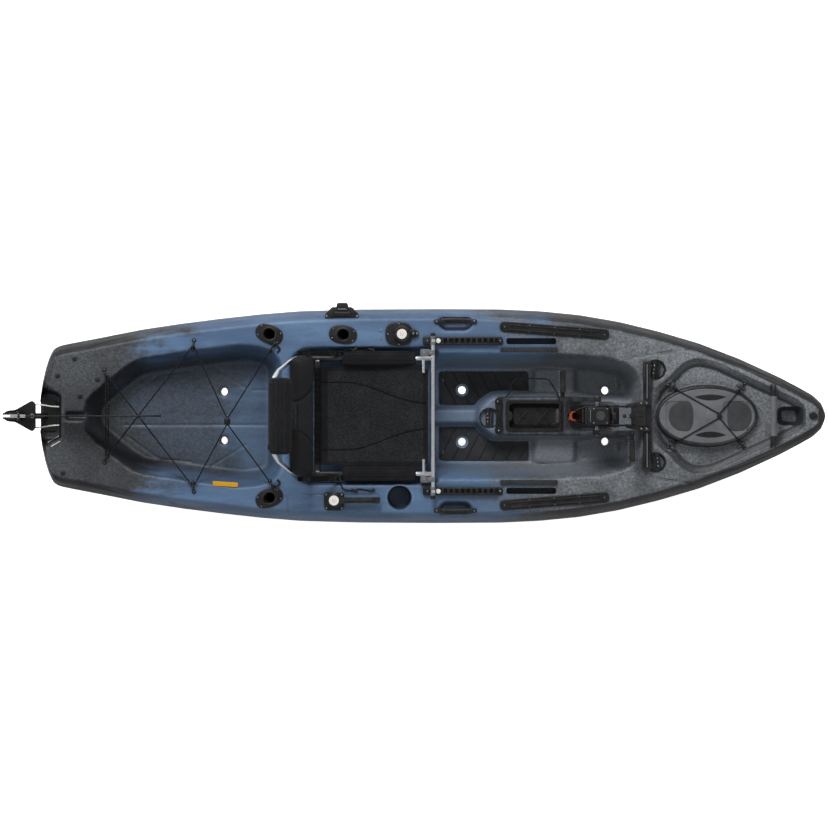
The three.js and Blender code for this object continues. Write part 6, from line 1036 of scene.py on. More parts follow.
def dress(
    obj: bpy.types.Object, body: str, finish: Finish, replaces: Sequence[str] = ()
) -> bpy.types.Object:
    """Gives a finished mesh its material and body, and hides the CAD nodes that it stands for.

    Args:
        obj: The piece, in place.
        body: The CAD body that carries it, or nothing for a piece that spans two bodies and is left
            unparented.
        finish: Its finish.
        replaces: The CAD nodes that it stands for.

    Returns:
        The same piece.
    """
    obj.data.materials.clear()
    obj.data.materials.append(finish.material())
    if body:
        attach(obj, body)
    if replaces:
        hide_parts(*replaces)
    log.info("%s rides on %s, %d faces", obj.name, body or "two bodies", len(obj.data.polygons))
    return obj


def soften(obj: bpy.types.Object, width: float, segments: int = 2, angle: float = 35.0) -> None:
    """Adds a small bevel and even normals to a piece with hard edges.

    Args:
        obj: The piece.
        width: The bevel's width.
        segments: How many steps it has.
        angle: The angle in degrees from which an edge counts as hard.
    """
    bevel = obj.modifiers.new("edge", "BEVEL")
    bevel.width, bevel.segments, bevel.limit_method = width, segments, "ANGLE"
    bevel.angle_limit = math.radians(angle)
    bevel.use_clamp_overlap = True
    obj.modifiers.new("normals", "WEIGHTED_NORMAL")


def keep_node(name: str, finish: Finish, edge: float = 0.0008) -> None:
    """Keeps a CAD node and gives it a finish and soft edges.

    Args:
        name: The node's name.
        finish: Its finish.
        edge: The width of the softened edges.
    """
    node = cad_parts[name]
    mesh = node.data
    mesh.materials.clear()
    mesh.materials.append(finish.material())
    if "custom_normal" in mesh.attributes:
        mesh.attributes.remove(mesh.attributes["custom_normal"])
    mesh.polygons.foreach_set("use_smooth", [True] * len(mesh.polygons))
    weld = node.modifiers.new("weld", "WELD")
    weld.merge_threshold = 0.00002
    soften(node, edge)


# Geometry nodes


class Rules:
    """Geometry node trees that place what repeats and follow what runs along a path."""

    _trees: dict[str, bpy.types.NodeTree] = {}

    @classmethod
    def get(cls, name: str) -> bpy.types.NodeTree:
        """Gives a rule by name and builds it the first time."""
        if name not in cls._trees:
            cls._trees[name] = getattr(cls, f"_{name}")()
        return cls._trees[name]

    @classmethod
    def _start(
        cls, name: str, inputs: dict[str, tuple[str, object]]
    ) -> tuple[bpy.types.NodeTree, Wiring, bpy.types.Node]:
        """Starts a tree with a geometry input and output and further named inputs.

        Args:
            name: The tree's name.
            inputs: Each input's socket type and default.

        Returns:
            The tree, its wiring and its input node.
        """
        tree = bpy.data.node_groups.new(name, "GeometryNodeTree")
        tree.interface.new_socket("Geometry", in_out="INPUT", socket_type="NodeSocketGeometry")
        for label, (kind, default) in inputs.items():
            socket = tree.interface.new_socket(label, in_out="INPUT", socket_type=kind)
            if default is not None:
                socket.default_value = default
        tree.interface.new_socket("Geometry", in_out="OUTPUT", socket_type="NodeSocketGeometry")
        wiring = Wiring(tree)
        return tree, wiring, wiring.add("NodeGroupInput")

    @classmethod
    def _end(cls, w: Wiring, start: bpy.types.Node, geometry: object) -> None:
        """Ends a tree in Realize Instances and Set Material.

        Args:
            w: The tree's wiring.
            start: Its input node.
            geometry: What it has made.
        """
        real = w.add("GeometryNodeRealizeInstances", {"Geometry": geometry})
        painted = w.add(
            "GeometryNodeSetMaterial", {"Geometry": real.outputs[0], "Material": start.outputs["Finish"]}
        )
        w.add("NodeGroupOutput", {"Geometry": painted.outputs[0]})

    @classmethod
    def _fasteners(cls) -> bpy.types.NodeTree:
        """A copy of a fastener on each point, along the point's facing, with a seeded spin."""
        tree, w, start = cls._start(
            "place_fasteners",
            {
                "Fastener": ("NodeSocketObject", None),
                "Size": ("NodeSocketFloat", 1.0),
                "Spin": ("NodeSocketFloat", math.pi),
                "Seed": ("NodeSocketInt", 7),
                "Finish": ("NodeSocketMaterial", None),
            },
        )
        source = w.add("GeometryNodeObjectInfo", {"Object": start.outputs["Fastener"]})
        facing = w.add("GeometryNodeInputNamedAttribute", {"Name": "facing"}, data_type="FLOAT_VECTOR")
        turn = w.add("FunctionNodeAlignRotationToVector", {"Vector": facing.outputs["Attribute"]}, axis="Z")
        spin = w.add("FunctionNodeRandomValue", {"Seed": start.outputs["Seed"]}, data_type="FLOAT")
        low, high = [s for s in spin.inputs if s.type == "VALUE"][:2]
        low.default_value = 0.0
        w.set(high, start.outputs["Spin"])
        value = next(s for s in spin.outputs if s.type == "VALUE")
        set_turn = w.add("GeometryNodeInputNamedAttribute", {"Name": "turn"}, data_type="FLOAT")
        value = w.math("ADD", value, set_turn.outputs["Attribute"])
        about = w.add("FunctionNodeAxisAngleToRotation", {"Angle": value})
        about.inputs["Axis"].default_value = (0, 0, 1)
        both = w.add(
            "FunctionNodeRotateRotation",
            {"Rotation": turn.outputs[0], "Rotate By": about.outputs[0]},
            rotation_space="LOCAL",
        )
        placed = w.add(
            "GeometryNodeInstanceOnPoints",
            {
                "Points": start.outputs["Geometry"],
                "Instance": source.outputs["Geometry"],
                "Rotation": both.outputs[0],
                "Scale": start.outputs["Size"],
            },
        )
        cls._end(w, start, placed.outputs[0])
        return tree

    @classmethod
    def _cords(cls) -> bpy.types.NodeTree:
        """A round cord along each curve, with closed ends."""
        tree, w, start = cls._start(
            "run_cord",
            {
                "Radius": ("NodeSocketFloat", 0.0025),
                "Sides": ("NodeSocketInt", 10),
                "Finish": ("NodeSocketMaterial", None),
            },
        )
        section = w.add(
            "GeometryNodeCurvePrimitiveCircle",
            {"Resolution": start.outputs["Sides"], "Radius": start.outputs["Radius"]},
        )
        run = w.add("GeometryNodeMeshToCurve", {"Mesh": start.outputs["Geometry"]})
        made = w.add(
            "GeometryNodeCurveToMesh",
            {"Curve": run.outputs[0], "Profile Curve": section.outputs[0], "Fill Caps": True},
        )
        cls._end(w, start, made.outputs[0])
        return tree

    @classmethod
    def _stitches(cls) -> bpy.types.NodeTree:
        """A copy of a stitch at even steps along each curve, turned to its run."""
        tree, w, start = cls._start(
            "sew_stitches",
            {
                "Stitch": ("NodeSocketObject", None),
                "Spacing": ("NodeSocketFloat", 0.006),
                "Size": ("NodeSocketFloat", 1.0),
                "Finish": ("NodeSocketMaterial", None),
            },
        )
        run = w.add("GeometryNodeMeshToCurve", {"Mesh": start.outputs["Geometry"]})
        points = w.add(
            "GeometryNodeCurveToPoints",
            {"Curve": run.outputs[0], "Length": start.outputs["Spacing"]},
            mode="LENGTH",
        )
        source = w.add("GeometryNodeObjectInfo", {"Object": start.outputs["Stitch"]})
        turn = w.add("FunctionNodeAlignRotationToVector", {"Vector": points.outputs["Tangent"]}, axis="X")
        placed = w.add(
            "GeometryNodeInstanceOnPoints",
            {
                "Points": points.outputs["Points"],
                "Instance": source.outputs["Geometry"],
                "Rotation": turn.outputs[0],
                "Scale": start.outputs["Size"],
            },
        )
        cls._end(w, start, placed.outputs[0])
        return tree


def host(
    name: str,
    verts: Sequence[Sequence[float]],
    edges: Sequence[tuple[int, int]] = (),
    facing: Sequence[Sequence[float]] | None = None,
    turn: Sequence[float] | None = None,
) -> bpy.types.Object:
    """Makes a mesh of points or lines that a rule works on.

    Args:
        name: The name of the piece that the rule will make.
        verts: The points.
        edges: The lines between them.
        facing: The direction of each point, where the rule reads one.
        turn: The turn of each point's copy in radians, where it isn't left to the seed.

    Returns:
        The host object.
    """
    mesh = bpy.data.meshes.new(name)
    mesh.from_pydata([tuple(v) for v in verts], list(edges), [])
    if facing is not None:
        attribute = mesh.attributes.new("facing", "FLOAT_VECTOR", "POINT")
        attribute.data.foreach_set("vector", np.array([tuple(f) for f in facing], np.float32).ravel())
    if turn is not None:
        mesh.attributes.new("turn", "FLOAT", "POINT").data.foreach_set("value", list(turn))
    made = bpy.data.objects.new(name, mesh)
    bpy.context.scene.collection.objects.link(made)
    return made


def runs_host(name: str, runs: Sequence[Sequence[Sequence[float]]]) -> bpy.types.Object:
    """Makes a host of separate open lines.

    Args:
        name: The name of the piece that the rule will make.
        runs: The lines.

    Returns:
        The host object.
    """
    verts, edges = [], []
    for run in runs:
        start = len(verts)
        verts += [tuple(p) for p in run]
        edges += [(start + i, start + i + 1) for i in range(len(run) - 1)]
    return host(name, verts, edges)


def ruled(
    obj: bpy.types.Object, tree: bpy.types.NodeTree, body: str, finish: Finish, slot: str,
    replaces: Sequence[str] = (), **inputs: object,
) -> bpy.types.Object:
    """Runs a rule on its host and keeps the result as a plain piece.

    Args:
        obj: The host.
        tree: The rule's node tree.
        body: The CAD body that carries the result.
        finish: Its finish.
        slot: Not used.
        replaces: The CAD nodes that it stands for.
        inputs: The tree's inputs, with a low line for each space.

    Returns:
        The finished piece.
    """
    modifier = obj.modifiers.new("rule", "NODES")
    modifier.node_group = tree
    names = {
        s.name: s.identifier
        for s in tree.interface.items_tree
        if s.item_type == "SOCKET" and s.in_out == "INPUT"
    }
    modifier[names["Finish"]] = finish.material()
    for label, value in inputs.items():
        modifier[names[label.replace("_", " ")]] = value
    made = baked(obj)
    shade(made, 50.0)
    return dress(made, body, finish, replaces)


class Hardware:
    """Small repeated pieces: screw heads, padeyes and stitches, and where they go."""

    def __init__(self) -> None:
        """Makes the sources that the rules copy."""
        self.sources: dict[str, bpy.types.Object] = {}

    def source(self, kind: str) -> bpy.types.Object:
        """Gives the object that a rule copies, made the first time."""
        if kind not in self.sources:
            self.sources[kind] = getattr(self, f"_{kind}")()
        return self.sources[kind]

    def clear(self) -> None:
        """Removes the sources once every rule has run."""
        for source in self.sources.values():
            bpy.data.objects.remove(source)
        self.sources.clear()

    @staticmethod
    def _screw() -> bpy.types.Object:
        """A pan head of 8 mm with a cross recess."""
        form = Form("source_screw")
        form.lathe(
            [(0.0038, -0.0015), (0.0041, 0.0002), (0.0039, 0.0012), (0.003, 0.002), (0.0016, 0.0024)],
            sides=14,
        )
        for turn in (0, 90):
            form.rings(
                [
                    [
                        (x, y, z)
                        for x, y in (
                            (0.0022, 0.0003), (-0.0022, 0.0003), (-0.0022, -0.0003), (0.0022, -0.0003)
                        )
                    ]
                    for z in (0.0018, 0.00262)
                ],
                Matrix.Rotation(math.radians(turn), 4, "Z"),
            )
        return form.object()

    @staticmethod
    def _padeye() -> bpy.types.Object:
        """A moulded arch on two feet, for an elastic cord."""
        form = Form("source_padeye")
        arch = smooth_path(
            [
                (0, -0.0165, 0.001), (0, -0.0142, 0.0105), (0, -0.0075, 0.0168), (0, 0, 0.0182),
                (0, 0.0075, 0.0168), (0, 0.0142, 0.0105), (0, 0.0165, 0.001),
            ],
            4,
        )
        form.tube(arch, 0.0036, 10)
        for side in (-1, 1):
            form.slab(disc_outline(0.0085, 0.0085, 0, side * 0.0195, 18), -0.002, 0.0042, 0.0015)
            form.lathe([(0.0042, 0.004), (0.0036, 0.0056), (0.0018, 0.0062)], at(0, side * 0.0195, 0), 12)
        return form.object()

    @staticmethod
    def _stitch() -> bpy.types.Object:
        """One thread over two holes."""
        form = Form("source_stitch")
        form.tube(
            [(-0.0018, 0, -0.0003), (-0.0012, 0, 0.0004), (0.0012, 0, 0.0004), (0.0018, 0, -0.0003)],
            0.00045, 6,
        )
        return form.object()

    def screws(self, name: str, body: str, places: Sequence[Point], size: float = 1.0) -> bpy.types.Object:
        """Sets a steel screw head that faces up on each place.

        Args:
            name: The piece's name.
            body: The CAD body that carries it.
            places: Where the heads sit.
            size: Their size as a share of 8 mm.

        Returns:
            One piece with all the heads.
        """
        made = host(name, places, facing=[(0, 0, 1)] * len(places))
        return ruled(
            made, Rules.get("fasteners"), body, STEEL, "steel", Fastener=self.source("screw"), Size=size,
            Spin=math.pi, Seed=len(places),
        )

    def stitching(
        self, name: str, body: str, runs: Sequence[Sequence[Sequence[float]]], finish: Finish,
        slot: str = "fabric", spacing: float = 0.006,
    ) -> bpy.types.Object:
        """Sews a line of stitches along each run."""
        return ruled(
            runs_host(name, runs), Rules.get("stitches"), body, finish, slot, Stitch=self.source("stitch"),
            Spacing=spacing, Size=1.0,
        )


# Hull


def surface_of(*nodes: str) -> BVHTree:
    """Gives a tree of CAD nodes that rays can be sent at.

    Args:
        nodes: The names of the nodes.

    Returns:
        The tree of their faces.
    """
    verts, faces = [], []
    for name in nodes:
        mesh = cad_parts[name].data
        start = len(verts)
        verts += [v.co.copy() for v in mesh.vertices]
        faces += [[start + i for i in p.vertices] for p in mesh.polygons]
    return BVHTree.FromPolygons(verts, faces)


HULL_SURFACE = surface_of("hull_shell")


def deck_height(x: float, y: float, high: float = 1.0) -> float:
    """Gives the height of the hull straight below a point, or zero where there is a hole."""
    hit = HULL_SURFACE.ray_cast(Vector((x, y, high)), Vector((0, 0, -1)))[0]
    return hit.z if hit else 0.0


@dataclass
class Groove:
    """A line moulded into the hull or standing on it."""

    points: Outline
    width: float = 0.006
    depth: float = 0.0025
    mirrored: bool = False
    closed: bool = False


@dataclass
class HullShell:
    """The moulded hull: a fine skin over the CAD hull with its openings cut through."""

    rows: int = 620
    columns: int = 170
    length: float = 3.24
    beam: float = 0.89
    depth: float = 0.32
    console_top: float = 0.195
    hatch_centre: float = 1.11618
    hatch_plane: float = 0.3372
    cup: tuple[float, float] = (-0.151956, -0.336865)
    pocket: tuple[float, float] = (0.39204, 0.30883)
    most_triangles: int = 185000
    stations: list[tuple[float, float, float, float]] = field(
        default_factory=lambda: [
            (-0.5062, 0.13, 0.42, 1.01), (-0.5037, 0.28, 0.38, 1.01), (-0.4985, 0.45, 0.33, 1.01),
            (-0.4938, 0.56, 0.29, 1.01), (-0.4886, 0.635, 0.26, 1.01), (-0.48, 0.66, 0.22, 1.01),
            (-0.4543, 0.697, 0.14, 1.005), (-0.4287, 0.733, 0.09, 1.0), (-0.3778, 0.807, 0.03, 1.0),
            (-0.3269, 0.863, 0.0, 1.0), (-0.2759, 0.91, 0.0, 1.0), (-0.2247, 0.951, 0.0, 1.0),
            (-0.1738, 0.98, 0.0, 1.0), (-0.0972, 0.996, 0.0, 1.0), (0.0, 1.0, 0.0, 1.0),
            (0.0812, 0.997, 0.0, 1.0), (0.1324, 0.98, 0.0, 1.0), (0.1833, 0.944, 0.0, 1.0),
            (0.2343, 0.88, 0.0, 1.0), (0.2855, 0.789, 0.01, 1.025), (0.3364, 0.679, 0.04, 1.06),
            (0.3873, 0.535, 0.1, 1.1), (0.4383, 0.362, 0.21, 1.14), (0.4639, 0.261, 0.33, 1.165),
            (0.4793, 0.195, 0.47, 1.185), (0.4895, 0.121, 0.64, 1.195), (0.4932, 0.05, 0.8, 1.2),
            (0.4938, 0.018, 0.88, 1.2),
        ]
    )
    grooves: list[Groove] = field(
        default_factory=lambda: [
            Groove([(-1.300, 0.035), (-1.297, 0.060), (-1.150, 0.172), (-1.020, 0.188)], 0.006, 0.003),
            Groove([(-1.290, -0.080), (-1.150, -0.180), (-1.020, -0.190)], 0.006, 0.003),
            Groove([(-1.297, -0.037), (-0.700, -0.037)], 0.007, 0.004),
            Groove([(-0.940, -0.210), (-0.790, -0.118)], 0.006, 0.003),
            Groove([(-0.940, 0.210), (-0.790, 0.118)], 0.006, 0.003),
            Groove([(-0.760, 0.108), (-0.690, 0.108)], 0.006, 0.003),
            Groove([(-1.605, 0.118), (-1.555, 0.088)], 0.007, 0.005, True),
            Groove([(-1.568, 0.250), (-1.603, 0.118)], 0.007, 0.004, True),
            Groove(
                [(-0.612, -0.325), (-0.240, -0.325), (-0.226, -0.362), (-0.240, -0.400), (-0.612, -0.400)],
                0.005, 0.003, False, True,
            ),
            Groove([(0.812, 0.241), (1.049, 0.279)], 0.006, 0.003, True),
            Groove([(-0.610, 0.405), (-0.300, 0.412), (-0.020, 0.414)], 0.005, 0.002, True),
            Groove(
                [
                    (0.180, 0.404), (0.420, 0.392), (0.700, 0.352), (0.980, 0.292), (1.250, 0.208),
                    (1.420, 0.140),
                ],
                0.007, 0.0035, True,
            ),
            Groove(
                [(-1.480, 0.268), (-1.240, 0.335), (-0.980, 0.374), (-0.640, 0.400)], 0.007, 0.0035, True
            ),
            Groove([(0.030, 0.040), (0.030, 0.205)], 0.006, -0.004, True),
            Groove([(0.430, 0.060), (0.430, 0.200)], 0.005, -0.003, True),
            Groove([(0.755, 0.120), (0.755, 0.225)], 0.010, -0.005, True),
        ]
    )

    def curve(self, xs: np.ndarray, column: int) -> np.ndarray:
        """Gives a station value along the hull, faired between the stations.

        Args:
            xs: The places along the hull in metres.
            column: 1 for breadth, 2 for keel and 3 for deck.

        Returns:
            The values.
        """
        table = np.array(self.stations)
        fine = np.linspace(xs[0], xs[-1], 2400)
        values = np.interp(fine, table[:, 0] * self.length, table[:, column])
        reach = 22
        kernel = np.exp(-0.5 * (np.arange(-reach, reach + 1) / (reach / 2.6)) ** 2)
        kernel /= kernel.sum()
        faired = np.convolve(np.pad(values, reach, mode="edge"), kernel, mode="valid")
        near_end = np.clip((np.minimum(fine - fine[0], fine[-1] - fine)) / 0.09, 0, 1)
        return np.interp(xs, fine, values * (1 - near_end) + faired * near_end)

    @staticmethod
    def blurred(heights: np.ndarray, sigma: float) -> np.ndarray:
        """Blurs a grid of heights by a number of cells.

        Args:
            heights: The heights.
            sigma: The number of cells.

        Returns:
            The blurred heights.
        """
        reach = max(1, int(math.ceil(sigma * 3)))
        kernel = np.exp(-0.5 * (np.arange(-reach, reach + 1) / sigma) ** 2)
        kernel /= kernel.sum()
        for axis in (0, 1):
            pad = [(0, 0), (0, 0)]
            pad[axis] = (reach, reach)
            wide = np.pad(heights, pad, mode="edge")
            size = heights.shape[axis]
            heights = sum(
                k * np.take(wide, np.arange(i, i + size), axis=axis) for i, k in enumerate(kernel)
            )
        return heights

    @staticmethod
    def distance(xs: np.ndarray, ys: np.ndarray, line: Outline) -> np.ndarray:
        """Gives each grid point's distance to a line of straight runs.

        Args:
            xs: The points' places along the hull.
            ys: Their places across it.
            line: The line's corners.

        Returns:
            The distances.
        """
        best = np.full(xs.shape, 1e9)
        for (ax, ay), (bx, by) in zip(line, line[1:]):
            dx, dy = bx - ax, by - ay
            t = np.clip(((xs - ax) * dx + (ys - ay) * dy) / (dx * dx + dy * dy), 0, 1)
            best = np.minimum(best, np.hypot(xs - ax - t * dx, ys - ay - t * dy))
        return best

    def deck(self, xs: np.ndarray, ys: np.ndarray) -> np.ndarray:
        """Reads the deck's heights off the CAD hull and rounds them as moulding does.

        Args:
            xs: The grid's places along the hull.
            ys: The grid's places across it.

        Returns:
            The height of each grid point.
        """
        cast = HULL_SURFACE.ray_cast
        down = Vector((0, 0, -1))
        z = np.zeros(xs.shape)
        for index in np.ndindex(xs.shape):
            hit = cast(Vector((xs[index], ys[index], 1.0)), down)[0]
            z[index] = hit.z if hit else -1.0
        slot = (np.abs(xs - 0.630) < 0.135) & (np.abs(ys) < 0.034)
        z[slot & (z < self.console_top - 0.017)] = self.console_top - 0.014
        z[((xs - self.hatch_centre) / 0.196) ** 2 + (ys / 0.111) ** 2 < 1] = self.hatch_plane

        def off(x: float, y: float) -> np.ndarray:
            """Gives each grid point's distance from a place."""
            return np.hypot(xs - x, ys - y)

        def dip(x: float, y: float, reach: float, drop: float) -> np.ndarray:
            """Gives a round dip that eases in over 8 mm."""
            share = np.clip((reach - off(x, y)) / 0.008, 0, 1)
            return drop * share * share * (3 - 2 * share)

        for x, y, radius in SCUPPERS:
            near = off(x, y) < radius + 0.004
            ring = (off(x, y) < radius + 0.02) & ~near & (z > 0)
            z[near] = float(np.median(z[ring]))
        for x, y in PADEYE_PLACES:
            far = off(x, y)
            level = float(np.median(z[(far > 0.034) & (far < 0.044)]))
            z[(far < 0.034) & (z > level)] = level
        z[off(*self.cup) < 0.062] = self.depth
        for side in (-1, 1):
            across = np.abs(ys - side * self.pocket[1])
            z[(np.abs(xs - self.pocket[0]) < 0.108) & (across < 0.017)] = self.depth
        for x, y, _ in ROD_HOLDERS:
            z[off(x, y) < 0.040] = self.depth
        for x, y, mouth in TIE_DOWNS:
            z[off(x, y) < 0.043] = mouth
        z = self.blurred(z, 0.95)
        for x, y, _ in TIE_DOWNS:
            z -= dip(x, y, 0.041, 0.015)
        for x, y, _ in SCUPPERS:
            z -= dip(x, y, 0.026, 0.004)
        for groove in self.grooves:
            line = [*groove.points, groove.points[0]] if groove.closed else groove.points
            for side in (1, -1) if groove.mirrored else (1,):
                far = self.distance(xs, ys, [(x, side * y) for x, y in line])
                z -= groove.depth * np.exp(-((far / (groove.width * 0.75)) ** 2))
        return z

    def skin(self) -> bpy.types.Object:
        """Lofts the hull's closed skin.

        Returns:
            The hull before its openings are cut.
        """
        lo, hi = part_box("hull_shell")
        ends = (lo.x + 0.0004, hi.x - 0.0004)
        t = np.linspace(0, 1, self.rows)
        x = ends[0] + (ends[1] - ends[0]) * (t - 0.018 * np.sin(t * math.tau))
        breadth = self.curve(x, 1) * self.beam / 2
        keel = self.curve(x, 2) * self.depth
        top = self.curve(x, 3) * self.depth
        s = np.linspace(-1, 1, self.columns)
        across = 0.985 * np.sign(s) * (1 - (1 - np.abs(s)) ** 1.04)
        xs = np.repeat(x[:, None], self.columns, axis=1)
        ys = -across[None, :] * breadth[:, None]
        z = self.deck(xs, ys)
        least = keel[:, None] + 0.70 * (top - keel)[:, None]
        edge = np.abs(across)[None, :] > 0.972
        z = np.where(edge, np.maximum(z, least), z)
        flank = [
            (0.9955, 0.685), (1.0, 0.6), (0.995, 0.51), (0.98, 0.42), (0.955, 0.33), (0.92, 0.24),
            (0.87, 0.165), (0.80, 0.10), (0.70, 0.045), (0.58, 0.018), (0.42, 0.0), (0.22, 0.0),
        ]
        rings = []
        for i in range(self.rows):
            rise = top[i] - keel[i]
            deck = [(x[i], ys[i, j], z[i, j]) for j in range(self.columns)]
            star = [(x[i], -breadth[i] * w, keel[i] + rise * h) for w, h in flank]
            port = [(x[i], breadth[i] * w, keel[i] + rise * h) for w, h in reversed(flank)]
            rings.append(deck + star + [(x[i], 0.0, keel[i])] + port)
        form = Form("hull")
        form.rings(rings)
        return form.object(60.0)

    def cutters(self) -> bpy.types.Object:
        """Makes the solids that open the hull: scuppers, drive slot, hatch and deep pockets."""
        form = Form("hull_cutters")
        for x, y, radius in SCUPPERS:
            form.lathe([(radius, -0.1), (radius, 0.4)], at(x, y, 0), 40)
        slot_top, slot_foot = 0.214, -0.03
        fore, aft_top, aft_keel, half = 0.72496, 0.545, 0.447, 0.028
        slope = (aft_top - aft_keel) / 0.181
        side = [
            (aft_keel + slope * slot_foot, slot_foot),
            (aft_keel + slope * slot_top, slot_top),
            (fore, slot_top), (fore, slot_foot),
        ]
        form.rings([[(px, py, pz) for px, pz in side] for py in (half, -half)])
        opening = ((0.02, 0.11), (1.0, 0.11), (1.0, 0.42))
        form.rings(
            [raised(disc_outline(0.174 * r, 0.089 * r, self.hatch_centre, 0, 64), h) for r, h in opening]
        )
        form.lathe(
            [(0.041, 0.2295), (0.0435, 0.233), (0.050, 0.318), (0.0545, 0.326), (0.0545, 0.40)],
            at(*self.cup, 0), 48,
        )
        for edge in (-1, 1):
            pocket = box_outline(0.206, 0.026, 0.010, self.pocket[0], edge * self.pocket[1])
            form.rings([raised(pocket, h) for h in (0.251, 0.36)])
        for x, y, turn in ROD_HOLDERS:
            place = at(x, y, self.depth, turn, -25)
            form.lathe([(0.0245, -0.195), (0.0245, 0.03)], place, 32)
        return form.object()

    def mark_rim(self, mesh: bpy.types.Mesh) -> None:
        """Writes how far each point lies inside the hull's outline, for its finish.

        Args:
            mesh: The hull's mesh.
        """
        points = Upholstery.points(mesh)
        order = np.linspace(points[:, 0].min(), points[:, 0].max(), 900)
        breadth = self.curve(order, 1) * self.beam / 2
        inside = np.interp(points[:, 0], order, breadth) - np.abs(points[:, 1])
        ends = np.minimum(points[:, 0] - order[0] + 0.012, order[-1] - points[:, 0] + 0.012)
        mesh.attributes.new("rim", "FLOAT", "POINT").data.foreach_set(
            "value", np.minimum(inside, ends).astype(np.float32)
        )

    def build(self) -> None:
        """Builds the hull, cuts it and dresses it."""
        hull, cutters = self.skin(), self.cutters()
        cut = hull.modifiers.new("openings", "BOOLEAN")
        cut.operation, cut.object, cut.solver = "DIFFERENCE", cutters, "MANIFOLD"
        hull = baked(hull, "hull")
        bpy.data.objects.remove(cutters)
        triangles = sum(len(p.vertices) - 2 for p in hull.data.polygons)
        log.info("hull has %d triangles before thinning", triangles)
        thin = hull.modifiers.new("thin", "DECIMATE")
        thin.ratio = min(1.0, self.most_triangles / triangles)
        hull = baked(hull, "hull")
        shade(hull, 48.0)
        self.mark_rim(hull.data)
        dress(hull, "hull", HULL, ["hull_shell"])


SCUPPERS = [
    (run, side * out, 0.0165)
    for run, out in ((-0.883872, 0.101905), (0.108864, 0.108135), (0.706968, 0.1068))
    for side in (1, -1)
]
ROD_HOLDERS = [(-0.689148, 0.3382, -22.0), (-0.689148, -0.3382, 22.0), (-0.384912, 0.335975, -8.0)]
TIE_DOWNS = [(0.22194, -0.00801, 0.195), (0.905904, 0.19135, 0.3272), (0.905904, -0.19135, 0.3272)]
PADEYE_PLACES: Outline = [
    (x, side * y)
    for x, y in (
        (-1.36307, 0.1731), (-1.00213, 0.29326), (-0.67716, 0.28391), (0.97316, 0.118), (1.25916, 0.118)
    )
    for side in (1, -1)
]


# Stage


@dataclass(frozen=True)
class Studio:
    """The floor, the lights and the camera."""

    centre_x: float = -0.0919
    centre_y: float = 0.0083
    distance: float = 17.7
    span: float = 3.421
    floor: float = -0.356

    def build(self) -> None:
        """Sets the stage."""
        scene = bpy.context.scene
        scene.view_settings.view_transform = "Standard"
        self._floor()
        self._world(scene)
        self._lamp("key", (-1.2, 4.6, 4.6), 2.2, 330.0)
        self._lamp("fill", (3.0, -3.4, 5.0), 4.0, 60.0)
        self._lamp("rim", (-5.0, 1.0, 2.4), 2.0, 40.0)
        data = bpy.data.cameras.new("camera")
        data.sensor_width = 36.0
        data.lens = 36.0 * self.distance / self.span
        data.clip_end = 100.0
        camera = bpy.data.objects.new("camera", data)
        camera.location = (self.centre_x, self.centre_y, self.distance + 0.3)
        scene.collection.objects.link(camera)
        scene.camera = camera

    def _floor(self) -> None:
        """Lays a plain pale floor."""
        form = Form("floor")
        form.slab([(9, 9), (-9, 9), (-9, -9), (9, -9)], self.floor - 0.02, self.floor, 0.001)
        floor = form.object()
        made = bpy.data.materials.new("floor")
        made.use_nodes = True
        made.node_tree.nodes.clear()
        w = Wiring(made.node_tree)
        vector = w.add("ShaderNodeTexCoord").outputs["Object"]
        tone = w.mix(w.noise(vector, 2.0), (0.9, 0.9, 0.9, 1), (0.88, 0.88, 0.885, 1))
        diffuse = w.add("ShaderNodeBsdfPrincipled", {"Base Color": tone, "Roughness": 0.9})
        glow = w.add("ShaderNodeEmission", {"Color": (1, 1, 1, 1), "Strength": 0.72})
        ray = w.add("ShaderNodeLightPath")
        seen = w.add("ShaderNodeMixShader", {0: ray.outputs["Is Camera Ray"], 1: diffuse.outputs[0]})
        both = w.add("ShaderNodeAddShader", {0: diffuse.outputs[0], 1: glow.outputs[0]})
        w.set(seen.inputs[2], both.outputs[0])
        w.add("ShaderNodeOutputMaterial", {"Surface": seen.outputs[0]})
        floor.data.materials.append(made)

    def _world(self, scene: bpy.types.Scene) -> None:
        """Lights the scene evenly and shows a white backdrop."""
        world = bpy.data.worlds.new("studio")
        world.use_nodes = True
        world.node_tree.nodes.clear()
        w = Wiring(world.node_tree)
        ray = w.add("ShaderNodeLightPath")
        seen = w.math(
            "MAXIMUM", ray.outputs["Is Camera Ray"], w.math("MULTIPLY", ray.outputs["Is Glossy Ray"], 0.25)
        )
        strength = w.ramp(seen, 0.0, 1.0, 0.42, 1.0)
        back = w.add("ShaderNodeBackground", {"Color": (1, 1, 1, 1), "Strength": strength})
        w.add("ShaderNodeOutputWorld", {"Surface": back.outputs[0]})
        scene.world = world

    def _lamp(self, name: str, place: Point, size: float, power: float) -> None:
        """Hangs one soft lamp that faces the kayak.

        Args:
            name: The lamp's name.
            place: Where it hangs.
            size: Its width.
            power: Its power in watts.
        """
        data = bpy.data.lights.new(name, "AREA")
        data.shape, data.size, data.energy = "SQUARE", size, power
        lamp = bpy.data.objects.new(name, data)
        lamp.location = place
        lamp.rotation_mode = "QUATERNION"
        lamp.rotation_quaternion = Vector(place).to_track_quat("Z", "Y")
        bpy.context.scene.collection.objects.link(lamp)


# Cords and screws


